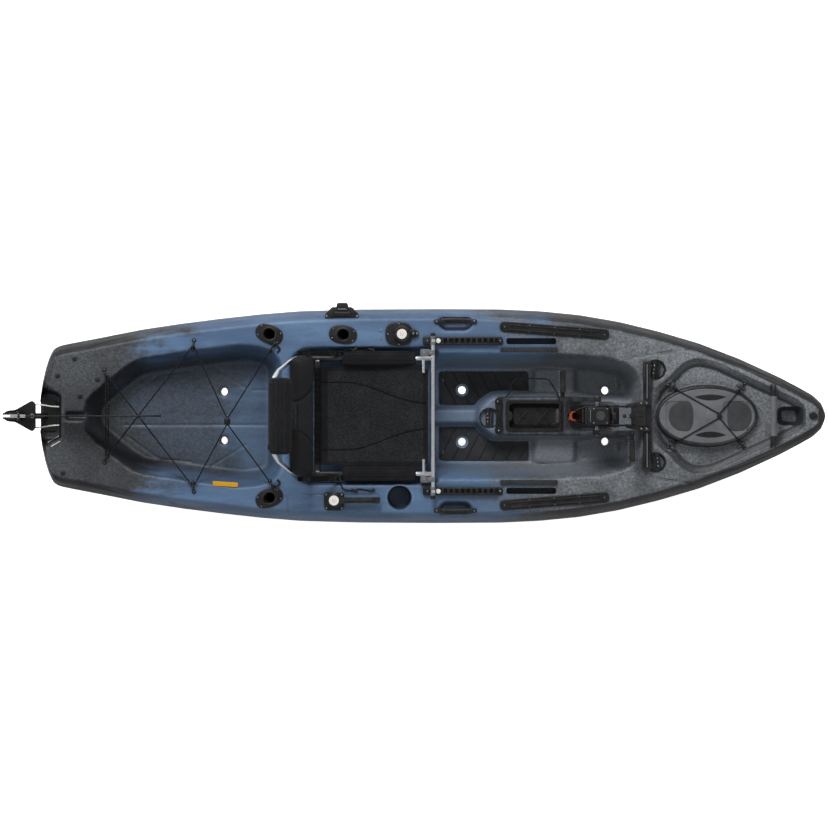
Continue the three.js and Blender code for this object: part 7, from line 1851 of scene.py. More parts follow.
@dataclass
class Lashing:
    """The elastic cords, the arches that they pass under and the steering cables."""

    hardware: Hardware
    cord_rise: float = 0.0112
    lift: float = 0.009
    stern: list[tuple[float, float, float]] = field(
        default_factory=lambda: [
            (-1.36307, 0.1731, -71.0), (-1.00213, 0.29326, -96.3), (-0.67716, 0.28391, -120.3)
        ]
    )
    bow: list[tuple[float, float, float]] = field(
        default_factory=lambda: [(0.97316, 0.118, -31.7), (1.25916, 0.118, -128.9)]
    )
    clip: Point = (-0.86184, -0.02225, 0.3448)
    hatch_clip: Point = (1.16616, 0.0, 0.3557)

    def seats(self, table: list[tuple[float, float, float]]) -> list[tuple[float, float, float, float]]:
        """Gives each arch's place and turn, port first in each pair.

        Args:
            table: The port arches: place along, place across and turn in degrees.

        Returns:
            The place and the turn in radians of each arch.
        """
        made = []
        for x, y, turn in table:
            for side in (1, -1):
                made.append(
                    (
                        x, side * y,
                        max(deck_height(x + 0.031, side * y), deck_height(x - 0.031, side * y)),
                        math.radians(side * turn + 90),
                    )
                )
        return made

    def build(self) -> None:
        """Builds the arches, the cords and the cables."""
        stern, bow = self.seats(self.stern), self.seats(self.bow)
        every = stern + bow
        arches = host(
            "padeyes", [s[:3] for s in every], facing=[(0, 0, 1)] * len(every), turn=[s[3] for s in every]
        )
        ruled(
            arches, Rules.get("fasteners"), "hull", BLACK, "black_plastic",
            Fastener=self.hardware.source("padeye"), Size=1.0, Spin=0.0, Seed=3,
        )
        heads = [
            (x - end * 0.0195 * math.sin(turn), y + end * 0.0195 * math.cos(turn), z + 0.0052)
            for x, y, z, turn in every
            for end in (1, -1)
        ]
        self.hardware.screws("padeye_screws", "hull", heads, 0.62)
        eye = [Vector((x, y, z + self.cord_rise)) for x, y, z, _ in stern]
        port_aft, star_aft, port_mid, star_mid, port_fore, star_fore = eye
        clip = Vector(self.clip)
        middle = port_mid.lerp(star_aft, 0.55) + Vector((0, 0, self.lift))
        route = [
            port_fore, clip + Vector((0, 0.0098, 0)), port_mid, middle, star_aft, port_aft, star_mid,
            clip - Vector((0, 0.0098, 0)), star_fore,
        ]
        back = [star_aft + Vector((0.010, 0.004, 0)), port_aft + Vector((0.010, -0.004, 0))]
        ends = [
            [
                port_fore,
                port_fore + Vector((0.018, 0.006, -0.004)),
                port_fore + Vector((0.032, -0.008, -0.0075)),
                port_fore + Vector((0.020, -0.022, -0.0075)),
            ],
            [
                star_fore,
                star_fore + Vector((0.018, -0.006, -0.004)),
                star_fore + Vector((0.032, 0.008, -0.0075)),
                star_fore + Vector((0.020, 0.022, -0.0075)),
            ],
        ]
        runs = [bent_path(route, 0.012), bent_path(back, 0.01), *[smooth_path(e, 5) for e in ends]]
        ruled(
            runs_host("tankwell_cord", runs), Rules.get("cords"), "hull", CORD, "cord", ["tankwell_bungee"],
            Radius=0.0027, Sides=10,
        )
        knot = Form("cord_clip")
        knot.slab(box_outline(0.026, 0.030, 0.007), -0.007, 0.007, 0.003, at(*self.clip), 0.001)
        knot.slab(disc_outline(0.006, 0.006), 0.006, 0.0085, 0.001, at(*self.clip))
        dress(knot.object(), "hull", BLACK)
        self._hatch_cord([Vector((x, y, z + 0.0075)) for x, y, z, _ in bow])
        cables = []
        for side in (1, -1):
            cables.append(
                smooth_path(
                    [
                        (-1.6577, side * 0.048, 0.3347),
                        (-1.6226, side * 0.045, 0.3267),
                        (-1.5922, side * 0.040, 0.3107),
                        (-1.5596, side * 0.038, 0.2960),
                    ],
                    8,
                )
            )
        ruled(
            runs_host("steering_cables", cables),
            Rules.get("cords"), "hull", PALE, "cord",
            ["port_steering_cable", "starboard_steering_cable"],
            Radius=0.0028, Sides=10,
        )

    def _hatch_cord(self, eyes: list[Vector]) -> None:
        """Runs the cord over the hatch through its small clip.

        Args:
            eyes: The crowns of the four arches around the hatch.
        """
        port_aft, star_aft, port_fore, star_fore = eyes
        clip = Vector(self.hatch_clip)

        def crossing(eye: Vector, share: float) -> Vector:
            """Gives the point where the cord comes over the lid's rim."""
            made = eye.lerp(clip, share)
            return Vector((made.x, made.y, clip.z))

        runs = [
            bent_path(
                [
                    aft, crossing(aft, 0.12), clip + Vector((0, side * 0.0078, 0)), crossing(fore, 0.17),
                    fore,
                ],
                0.012,
            )
            for aft, fore, side in ((port_aft, port_fore, 1), (star_aft, star_fore, -1))
        ]
        ruled(
            runs_host("hatch_cord", runs), Rules.get("cords"), "hull", CORD, "cord", ["bow_bungee"],
            Radius=0.0027, Sides=10,
        )
        knob = Form("hatch_cord_clip")
        place = at(clip.x, clip.y, clip.z - 0.0026)
        knob.lathe(
            [(0.0095, 0), (0.0112, 0.002), (0.0112, 0.006), (0.0085, 0.0088), (0.004, 0.0092)], place, 24
        )
        for turn in range(0, 180, 60):
            knob.slab(
                box_outline(0.019, 0.0024, 0.001),
                0.008, 0.0100, 0.0006,
                place @ Matrix.Rotation(math.radians(turn), 4, "Z"),
            )
        dress(knob.object(), "hull", BLACK)


# Seat


@dataclass
class Upholstery:
    """Makes sewn goods: closed panels, puffed as cloth and creased along their seams."""

    voxel: float = 0.005
    pressure: float = 4.0
    frames: int = 20

    def panel(
        self, name: str,
        place: Callable[[float, float], tuple[Vector, float, Vector]],
        rows: int = 22, columns: int = 26,
    ) -> bpy.types.Object:
        """Makes a closed panel.

        Args:
            name: Its name.
            place: Gives the middle, the half thickness and the facing at a share along and a share
                out from -1 to 1.
            rows: Its cells along.
            columns: Its cells across.

        Returns:
            The panel.
        """
        verts, faces, wide = [], [], columns + 1
        for side in (1, -1):
            for r in range(rows + 1):
                for c in range(wide):
                    middle, half, normal = place(r / rows, 2 * c / columns - 1)
                    verts.append(middle + normal * (side * half))
        sheet = (rows + 1) * wide
        for r in range(rows):
            for c in range(columns):
                a, b, d, e = r * wide + c, (r + 1) * wide + c, (r + 1) * wide + c + 1, r * wide + c + 1
                faces += [(a, b, d, e), (sheet + a, sheet + e, sheet + d, sheet + b)]
        rim = list(range(columns)) + [r * wide + columns for r in range(rows)]
        rim += [rows * wide + c for c in range(columns, 0, -1)] + [r * wide for r in range(rows, 0, -1)]
        faces += [(a, b, sheet + b, sheet + a) for a, b in zip(rim, rim[1:] + rim[:1])]
        return Form(name).add(verts, faces).object(60.0)

    @staticmethod
    def points(mesh: bpy.types.Mesh) -> np.ndarray:
        """Reads a mesh's points.

        Args:
            mesh: The mesh.

        Returns:
            One row of three numbers for each point.
        """
        flat = np.empty(len(mesh.vertices) * 3, np.float32)
        mesh.vertices.foreach_get("co", flat)
        return flat.reshape(-1, 3).astype(np.float64)

    def puff(
        self, obj: bpy.types.Object, cap: float, hold: Callable[[np.ndarray], np.ndarray] | None = None
    ) -> bpy.types.Object:
        """Remeshes a panel, swells it under pressure and smooths it.

        Args:
            obj: The panel.
            cap: How far a point may move.
            hold: Gives each point's share of the move, where some must stay.

        Returns:
            The puffed panel.
        """
        remesh = obj.modifiers.new("remesh", "REMESH")
        remesh.mode, remesh.voxel_size = "VOXEL", self.voxel
        obj = baked(obj)
        rest = self.points(obj.data)
        cloth = obj.modifiers.new("cloth", "CLOTH")
        cloth.settings.use_pressure = True
        cloth.settings.uniform_pressure_force = self.pressure
        cloth.settings.effector_weights.gravity = 0.0
        cloth.point_cache.frame_start, cloth.point_cache.frame_end = 1, self.frames
        for step in range(1, self.frames + 1):
            bpy.context.scene.frame_set(step)
        moved = self.points(obj.evaluated_get(bpy.context.evaluated_depsgraph_get()).data)
        obj.modifiers.remove(cloth)
        bpy.context.scene.frame_set(1)
        move = moved - rest
        far = np.linalg.norm(move, axis=1, keepdims=True)
        move *= np.minimum(1.0, cap / np.maximum(far, 1e-9))
        if hold is not None:
            move *= hold(rest)[:, None]
        obj.data.vertices.foreach_set("co", (rest + move).astype(np.float32).ravel())
        finer = obj.modifiers.new("finer", "SUBSURF")
        finer.levels = 1
        obj = baked(obj)
        shade(obj, 70.0)
        return obj

    def crease(
        self, obj: bpy.types.Object, lines: Sequence[Sequence[Sequence[float]]], depth: float = 0.003,
        width: float = 0.006,
    ) -> None:
        """Draws a puffed panel in along its seams.

        Args:
            obj: The panel.
            lines: The seams, on or near its surface.
            depth: How deep a seam lies.
            width: How far its pull reaches.
        """
        mesh = obj.data
        points = self.points(mesh)
        normals = np.array([v.normal[:] for v in mesh.vertices])
        far = np.full(len(points), 1e9)
        for line in lines:
            for a, b in zip(line, line[1:]):
                a, run = np.array(a[:]), np.array(b[:]) - np.array(a[:])
                t = np.clip((points - a) @ run / max(run @ run, 1e-12), 0, 1)
                far = np.minimum(far, np.linalg.norm(points - a - t[:, None] * run, axis=1))
        points -= normals * (depth * np.exp(-((far / width) ** 2)))[:, None]
        mesh.vertices.foreach_set("co", points.astype(np.float32).ravel())
        mesh.update()

    @staticmethod
    def laid(obj: bpy.types.Object, line: Sequence[Sequence[float]], lift: float = 0.0002) -> list[Vector]:
        """Lays a line on a panel's nearest surface.

        Args:
            obj: The panel.
            line: The line, near the panel.
            lift: How far above the surface it lies.

        Returns:
            The line's points on the surface.
        """
        tree = BVHTree.FromObject(obj, bpy.context.evaluated_depsgraph_get())
        made = []
        for p in line:
            spot, normal, _, _ = tree.find_nearest(Vector(p))
            made.append(spot + normal * lift)
        return made

    @staticmethod
    def region(obj: bpy.types.Object, finish: Finish, inside: Callable[[Vector], bool]) -> None:
        """Gives the faces whose middle lies in a region a second fabric."""
        obj.data.materials.append(finish.material())
        for face in obj.data.polygons:
            if inside(face.center):
                face.material_index = 1


@dataclass
class Seat:
    """The framed seat: mesh sling, side bolsters, backrest pad, head roll, straps and clamps."""

    hardware: Hardware
    sewing: Upholstery = field(default_factory=Upholstery)
    rail_y: float = 0.238075
    rail_z: float = 0.312
    back_x: float = -0.530064
    back_z: float = 0.336
    lean: float = math.radians(17.6)
    cross_x: float = -0.4899
    front_x: float = -0.0139
    clamp_y: float = 0.2610
    hem: float = 0.186

    def back(self, rise: float, y: float, ahead: float = 0.0) -> Vector:
        """Gives a point of the leaning back's own plane."""
        s, c = math.sin(self.lean), math.cos(self.lean)
        return Vector((self.back_x - rise * s + ahead * c, y, self.back_z + rise * c + ahead * s))

    def build(self) -> None:
        """Builds the soft pieces, then the hardware."""
        self._sling()
        for side, label in SIDES:
            self._bolster(side, label)
            self._strap(side, label)
        self._pad()
        self._roll()
        self._clamps()
        self._sleeves()

    def _sling(self) -> None:
        """The mesh sheet that hangs between the rails, its border and its two seams."""
        aft, fore, hem_x = -0.4786, -0.0342, -0.450

        def half_width(x: float) -> float:
            """Gives the sheet's half width at a place along it."""
            if x < -0.39:
                return 0.2015
            if x < -0.078:
                return 0.2140
            return 0.2140 - (x + 0.078) * 0.5

        def place(run: float, out: float) -> tuple[Vector, float, Vector]:
            """Gives the sheet at a share along and out."""
            x = aft + (fore - aft) * run
            z = self.rail_z - 0.010 * math.sin(math.pi * run) - 0.015 * (1 - out * out) + 0.022 * run**3
            return Vector((x, out * half_width(x), z)), 0.0016, Vector((0, 0, 1))

        obj = self.sewing.panel("mesh_sling", place, 90, 84)
        seams = []
        for side in (1, -1):
            line = smooth_path(
                [
                    (-0.470, side * 0.140, 0.29), (-0.410, side * 0.1405, 0.29),
                    (-0.350, side * 0.138, 0.29), (-0.290, side * 0.126, 0.29),
                    (-0.235, side * 0.106, 0.29), (-0.180, side * 0.085, 0.29),
                    (-0.110, side * 0.063, 0.305), (-0.042, side * 0.052, 0.32),
                ],
                7,
            )
            seams.append(line)
        borders = [
            [(x, side * self.hem, 0.31) for x in np.linspace(hem_x, -0.070, 40)] for side in (1, -1)
        ]
        borders.append([(hem_x, y, 0.31) for y in np.linspace(-self.hem, self.hem, 40)])
        self.sewing.crease(obj, [self.sewing.laid(obj, s) for s in seams], 0.0024, 0.006)
        dress(obj, "seat", MESH, ["seat_sling"])
        self.sewing.region(obj, FABRIC, lambda p: abs(p.y) > self.hem or p.x < hem_x or p.x > -0.052)
        self.hardware.stitching(
            "sling_seams", "seat",
            [self.sewing.laid(obj, s, 0.0006) for s in seams],
            WEBBING, spacing=0.0048,
        )
        self.hardware.stitching(
            "sling_hems", "seat",
            [self.sewing.laid(obj, s, 0.0003) for s in borders],
            WEBBING, spacing=0.0062,
        )
        ribs = [[p + Vector((0, 0, 0.0008)) for p in self.sewing.laid(obj, s)] for s in seams]
        ruled(
            runs_host("sling_piping", ribs), Rules.get("cords"), "seat", WEBBING, "fabric", Radius=0.0021,
            Sides=8,
        )
        strip = Form("daisy_chain")
        arc = [
            (self.cross_x + 0.0132 * math.sin(a), self.rail_z + 0.0132 * math.cos(a))
            for a in np.linspace(-1.45, 1.25, 12)
        ]
        rows = [
            [(x, y, z) for x, z in arc] + [
                (self.cross_x + (x - self.cross_x) * 0.9, y, self.rail_z + (z - self.rail_z) * 0.9)
                for x, z in reversed(arc)
            ]
            for y in np.linspace(0.200, -0.200, 41)
        ]
        strip.rings(rows)
        for y in np.linspace(-0.175, 0.175, 15):
            strip.tube(
                [
                    (self.cross_x + 0.0146 * math.sin(a), y, self.rail_z + 0.0146 * math.cos(a))
                    for a in np.linspace(-1.1, 1.0, 9)
                ],
                0.0028, 8,
            )
        dress(strip.object(), "seat", WEBBING)

    def _bolster(self, side: int, label: str) -> None:
        """A padded flap over one side rail.

        Args:
            side: 1 for port and -1 for starboard.
            label: The side's name.
        """
        table = [
            (-0.8, -0.55), (-0.5, -0.63), (0.32, -0.63), (0.44, 0.40), (0.98, 0.42), (1.0, 0.72),
            (0.7, 0.95), (0.0, 1.0), (-0.6, 0.94), (-0.84, 0.6), (-0.86, 0.0),
        ]
        reach, rise = 0.034, 0.023
        rings = []
        for run in (0, 0.015, 0.05, 0.1, 0.2, 0.35, 0.5, 0.65, 0.8, 0.9, 0.95, 0.985, 1):
            tuck = 1 - 0.12 * (abs(2 * run - 1) ** 8)
            swell = 1 - 0.07 * math.cos(run * math.tau * 2) * 0.4
            ring = [
                (
                    -0.3856 + 0.3008 * run,
                    side * (self.rail_y + out * reach * tuck * 0.965),
                    self.rail_z + up * rise * (swell * tuck if up > 0.5 else 1),
                )
                for out, up in table
            ]
            rings.append(ring)
        obj = self.sewing.puff(Form(f"{label}_side_bolster").rings(rings).object(), 0.0015)
        above, along = 0.336, np.linspace(-0.382, -0.088, 30)
        inner = [(x, side * 0.2225, above) for x in along]
        outer = [(x, side * 0.2590, above) for x in along]
        ends = [[(x, side * y, above) for y in np.linspace(0.215, 0.268, 8)] for x in (-0.372, -0.098)]
        lines = [self.sewing.laid(obj, s) for s in (inner, outer)]
        self.sewing.crease(obj, lines, 0.0026, 0.0055)
        dress(obj, "seat", FABRIC, [f"{label}_seat_bolster"])
        self.hardware.stitching(
            f"{label}_bolster_stitches", "seat",
            [self.sewing.laid(obj, s, 0.0004) for s in (inner, outer, *ends)],
            CHARCOAL, spacing=0.0065,
        )

    def _pad(self) -> None:
        """The backrest's pad with its curved seams and lighter middle."""
        lean_normal = Vector((math.cos(self.lean), 0, math.sin(self.lean)))

        def place(run: float, out: float) -> tuple[Vector, float, Vector]:
            """Gives the pad at a share up and out."""
            rise = 0.042 + 0.222 * run
            width = 0.259 - 0.010 * run - 0.024 * run**3
            crown = math.sqrt(max(0.0, (1 - (2 * run - 1) ** 6) * (1 - out**6)))
            half = 0.5 * (0.007 + (0.0195 + 0.006 * (1 - run) ** 2) * crown)
            ahead = 0.0118 + half * 1.25 + 0.007 * out**4 * (1 - run)
            rise += 0.006 * math.cos(out * math.pi / 2) * (run - 0.3)
            return self.back(rise, out * width, ahead), half, lean_normal

        obj = self.sewing.puff(
            self.sewing.panel("back_pad", place, 30, 60),
            0.0035,
            lambda p: np.clip(
                ((p - np.array(self.back(0, 0))) @ np.array(lean_normal) - 0.0155) / 0.006, 0, 1
            ),
        )
        seams = []
        for side in (1, -1):
            path = [
                self.back(rise, side * y, 0.036)
                for rise, y in (
                    (0.262, 0.058), (0.215, 0.066), (0.160, 0.080), (0.110, 0.099), (0.070, 0.130),
                    (0.046, 0.168),
                )
            ]
            seams.append(smooth_path(path, 8))
        bound = [
            self.back(0.042 + 0.222 * r, y * (0.246 - 0.010 * r - 0.022 * r**3), 0.036)
            for r, y in [
                *((r, 1) for r in np.linspace(0.08, 0.93, 16)),
                *((0.93, y) for y in np.linspace(0.97, -0.97, 30)),
                *((r, -1) for r in np.linspace(0.93, 0.08, 16)),
            ]
        ]
        self.sewing.crease(obj, [self.sewing.laid(obj, s) for s in seams], 0.0034, 0.007)
        self.sewing.crease(obj, [self.sewing.laid(obj, bound)], 0.0008, 0.004)
        dress(obj, "backrest", FABRIC, ["backrest_pad"])

        def seam_at(rise: float) -> float:
            """Gives how far out the seam lies at a height."""
            return float(
                np.interp(
                    rise,
                    (0.046, 0.070, 0.110, 0.160, 0.215, 0.262),
                    (0.168, 0.130, 0.099, 0.080, 0.066, 0.058),
                )
            )

        self.sewing.region(
            obj, MESH, lambda p: abs(p.y) < seam_at((p.z - self.back_z) / math.cos(self.lean))
        )
        self.hardware.stitching(
            "pad_stitches", "backrest",
            [self.sewing.laid(obj, s, 0.0004) for s in seams],
            WEBBING, spacing=0.0055,
        )

    def _roll(self) -> None:
        """The padded sleeve over the top tube, with its tab."""
        middle = self.back(0.430, 0, 0.031)
        rings = []
        for out in (-1, -0.992, -0.97, -0.93, -0.86, -0.7, -0.4, 0, 0.4, 0.7, 0.86, 0.93, 0.97, 0.992, 1):
            close = 1 - 0.36 * max(0.0, (abs(out) - 0.86) / 0.14) ** 2.6
            bump = 1 + 0.010 * math.sin(out * 9.0)
            rings.append(
                [
                    (
                        middle.x + 0.0465 * close * bump * math.cos(a) * (1 + 0.10 * abs(math.sin(2 * a))),
                        out * 0.1545,
                        middle.z + 0.0335 * close * math.sin(a) * (1 + 0.12 * abs(math.sin(2 * a))),
                    )
                    for a in turns(28)
                ]
            )
        obj = self.sewing.puff(Form("tube_sleeve").rings(rings).object(), 0.003)

        def around(y: float) -> list[Point]:
            """Gives a line that runs round the sleeve near one end."""
            wrap = np.linspace(-0.5, 3.7, 40)
            return [(middle.x + 0.05 * math.cos(a), y, middle.z + 0.05 * math.sin(a)) for a in wrap]

        seams = [
            [(middle.x + dx, y, middle.z + 0.05) for y in np.linspace(-0.150, 0.150, 60)]
            for dx in (-0.026, 0.028)
        ]
        hoops = [around(-0.140), around(0.140)]
        self.sewing.crease(obj, [self.sewing.laid(obj, s) for s in (*seams, *hoops)], 0.0016, 0.004)
        dress(obj, "backrest", FABRIC, ["head_roll"])
        self.hardware.stitching(
            "roll_stitches", "backrest",
            [self.sewing.laid(obj, s, 0.0004) for s in (*seams, *hoops)],
            CHARCOAL, spacing=0.0065,
        )
        tab = Form("roll_tab")
        tab.slab(
            box_outline(0.018, 0.022, 0.003), -0.001, 0.0012, 0.0004, at(-0.6740, -0.124, 0.764, 0, -48)
        )
        dress(tab.object(), "backrest", WEBBING)

    def _strap(self, side: int, label: str) -> None:
        """One strap from the back's bend to the rail, its buckles and its loose end.

        Args:
            side: 1 for port and -1 for starboard.
            label: The side's name.
        """
        y = side * 0.2578
        top, foot = self.back(0.154, y, 0.010), Vector((-0.398, y, 0.3235))
        sag = Vector((0, 0, -0.006))
        path = smooth_path([top, top.lerp(foot, 0.3) + sag * 0.8, top.lerp(foot, 0.65) + sag, foot], 10)
        strap = Form(f"{label}_back_strap")
        strap.tube(path, 0.0092, 8, 0.11, up=(0.6, 0, 0.8))
        strap.tube([p + Vector((0.0008, 0, 0.0024)) for p in path[8:26]], 0.0090, 8, 0.11, up=(0.6, 0, 0.8))
        obj = dress(strap.object(), "", WEBBING, [f"{label}_seat_strap"])
        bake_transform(obj)
        slope = math.degrees(math.atan2(top.z - foot.z, foot.x - top.x))
        buckle = Form(f"{label}_strap_buckles")
        for share in (0.80, 0.18):
            spot = top.lerp(foot, share) + sag * 0.9
            place = at(spot.x, spot.y, spot.z + 0.0032, 0, slope)
            buckle.slab(box_outline(0.034, 0.0235, 0.004), -0.001, 0.0030, 0.001, place)
            for shift in (-0.012, -0.001, 0.011):
                buckle.tube(
                    [place @ Vector((shift, w, 0.0042)) for w in (-0.0112, -0.008, 0.008, 0.0112)],
                    0.0023, 8,
                )
            buckle.slab(
                [(0.017, -0.0095), (0.0265, -0.007), (0.0265, 0.007), (0.017, 0.0095)],
                -0.0005, 0.0022, 0.0006, place,
            )
        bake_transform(dress(buckle.object(), "", BLACK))
        hook = Form(f"{label}_strap_anchor")
        hook.slab(box_outline(0.026, 0.020, 0.004), 0.0, 0.0046, 0.0012, at(-0.406, side * 0.2576, 0.3215))
        hook.lathe(
            [(0.0045, 0.004), (0.0042, 0.0062), (0.002, 0.0070)], at(-0.409, side * 0.2576, 0.3215), 16
        )
        dress(hook.object(), "seat", BLACK)
        deck = 0.3238
        end = 0.275 if side > 0 else 0.307
        loose = smooth_path(
            [
                (-0.400, side * 0.266, 0.330), (-0.384, side * (end - 0.008), deck + 0.004),
                (-0.366, side * (end - 0.001), deck), (-0.345, side * (end + 0.001), deck),
                (-0.318, side * (end - 0.006), deck), (-0.292, side * (end - 0.002), deck),
                (-0.268, side * end, deck),
            ],
            6,
        )
        ruled(
            runs_host(f"{label}_pull_cord", [loose]), Rules.get("cords"), "seat", CORD, "cord",
            Radius=0.0022, Sides=8,
        )
        toggles = Form(f"{label}_pull_toggles")
        for x, turn in ((-0.338, 18 * side), (-0.266, -12 * side)):
            toggles.slab(
                rounded([(0.013, 0.005), (-0.013, 0.0035), (-0.013, -0.0035), (0.013, -0.005)], 0.003),
                -0.0028, 0.0034, 0.0018,
                at(x, side * (end - 0.0005), deck + 0.0008, turn),
            )
        dress(toggles.object(), "seat", BLACK)

    def _sleeves(self) -> None:
        """Black sleeves over the rails and the rear cross tube's ends."""
        sleeves = Form("rail_sleeves")
        for side in (1, -1):
            y = side * self.rail_y
            for aft, fore in ((-0.5440, -0.3800), (-0.0880, -0.0610)):
                sleeves.lathe(
                    [(0.0114, aft), (0.0128, aft + 0.003), (0.0128, fore - 0.003), (0.0114, fore)],
                    at(0, y, self.rail_z, 0, 90), 24,
                )
            ends = [(self.cross_x, side * out, self.rail_z) for out in (0.2000, 0.2260)]
            sleeves.tube(ends, 0.0126, 20)
        dress(sleeves.object(), "seat", BLACK)

    def _clamps(self) -> None:
        """Clamps of the front tube, its end caps and the short inner bars."""
        clamps, caps, bars = Form("front_clamps"), Form("front_tube_caps"), Form("inner_bars")
        for side in (1, -1):
            clamps.slab(
                box_outline(0.040, 0.030, 0.006, -0.046, side * self.clamp_y), 0.3225, 0.3425, 0.004
            )
            clamps.slab(box_outline(0.030, 0.022, 0.006, -0.020, side * self.clamp_y), 0.338, 0.3628, 0.004)
            bars.tube([(-0.0525, side * 0.178, 0.3310), (-0.0525, side * 0.262, 0.3310)], 0.0075, 16)
            for y in (0.3230, 0.2990):
                clamps.lathe(
                    [(0.0098, -0.006), (0.0108, -0.005), (0.0108, 0.005), (0.0098, 0.006)],
                    at(self.front_x, side * y, 0.35500, 0, 0, 90),
                    20,
                )
            caps.lathe(
                [(0.0092, -0.012), (0.0098, -0.011), (0.0098, 0.0005), (0.0075, 0.003)],
                at(self.front_x, side * 0.3395, 0.35265, 0, 0, -90 * side),
                20,
            )
        dress(clamps.object(), "seat", GREY)
        dress(caps.object(), "seat", BLACK)
        dress(bars.object(), "seat", TUBE)
        screws = [
            (x, side * self.clamp_y, z) for x, z in ((-0.050, 0.3424), (-0.020, 0.3627)) for side in (1, -1)
        ]
        self.hardware.screws("clamp_screws", "seat", screws, 0.8)


# Deck


def squarish(half_x: float, half_y: float, power: float, taper: float = 0.0, sides: int = 48) -> Outline:
    """Gives a rounded box by the superellipse rule, narrower at one end by a taper.

    Args:
        half_x: Half the length.
        half_y: Half the width.
        power: The rule's power: 2 gives an ellipse and more gives squarer corners.
        taper: How much narrower the far end is.
        sides: How many points it has.

    Returns:
        The outline.
    """
    made = []
    for a in turns(sides):
        c, s = math.cos(a), math.sin(a)
        r = (abs(c) ** power + abs(s) ** power) ** (-1 / power)
        made.append((half_x * r * c, half_y * r * s * (1 - taper * r * c)))
    return made


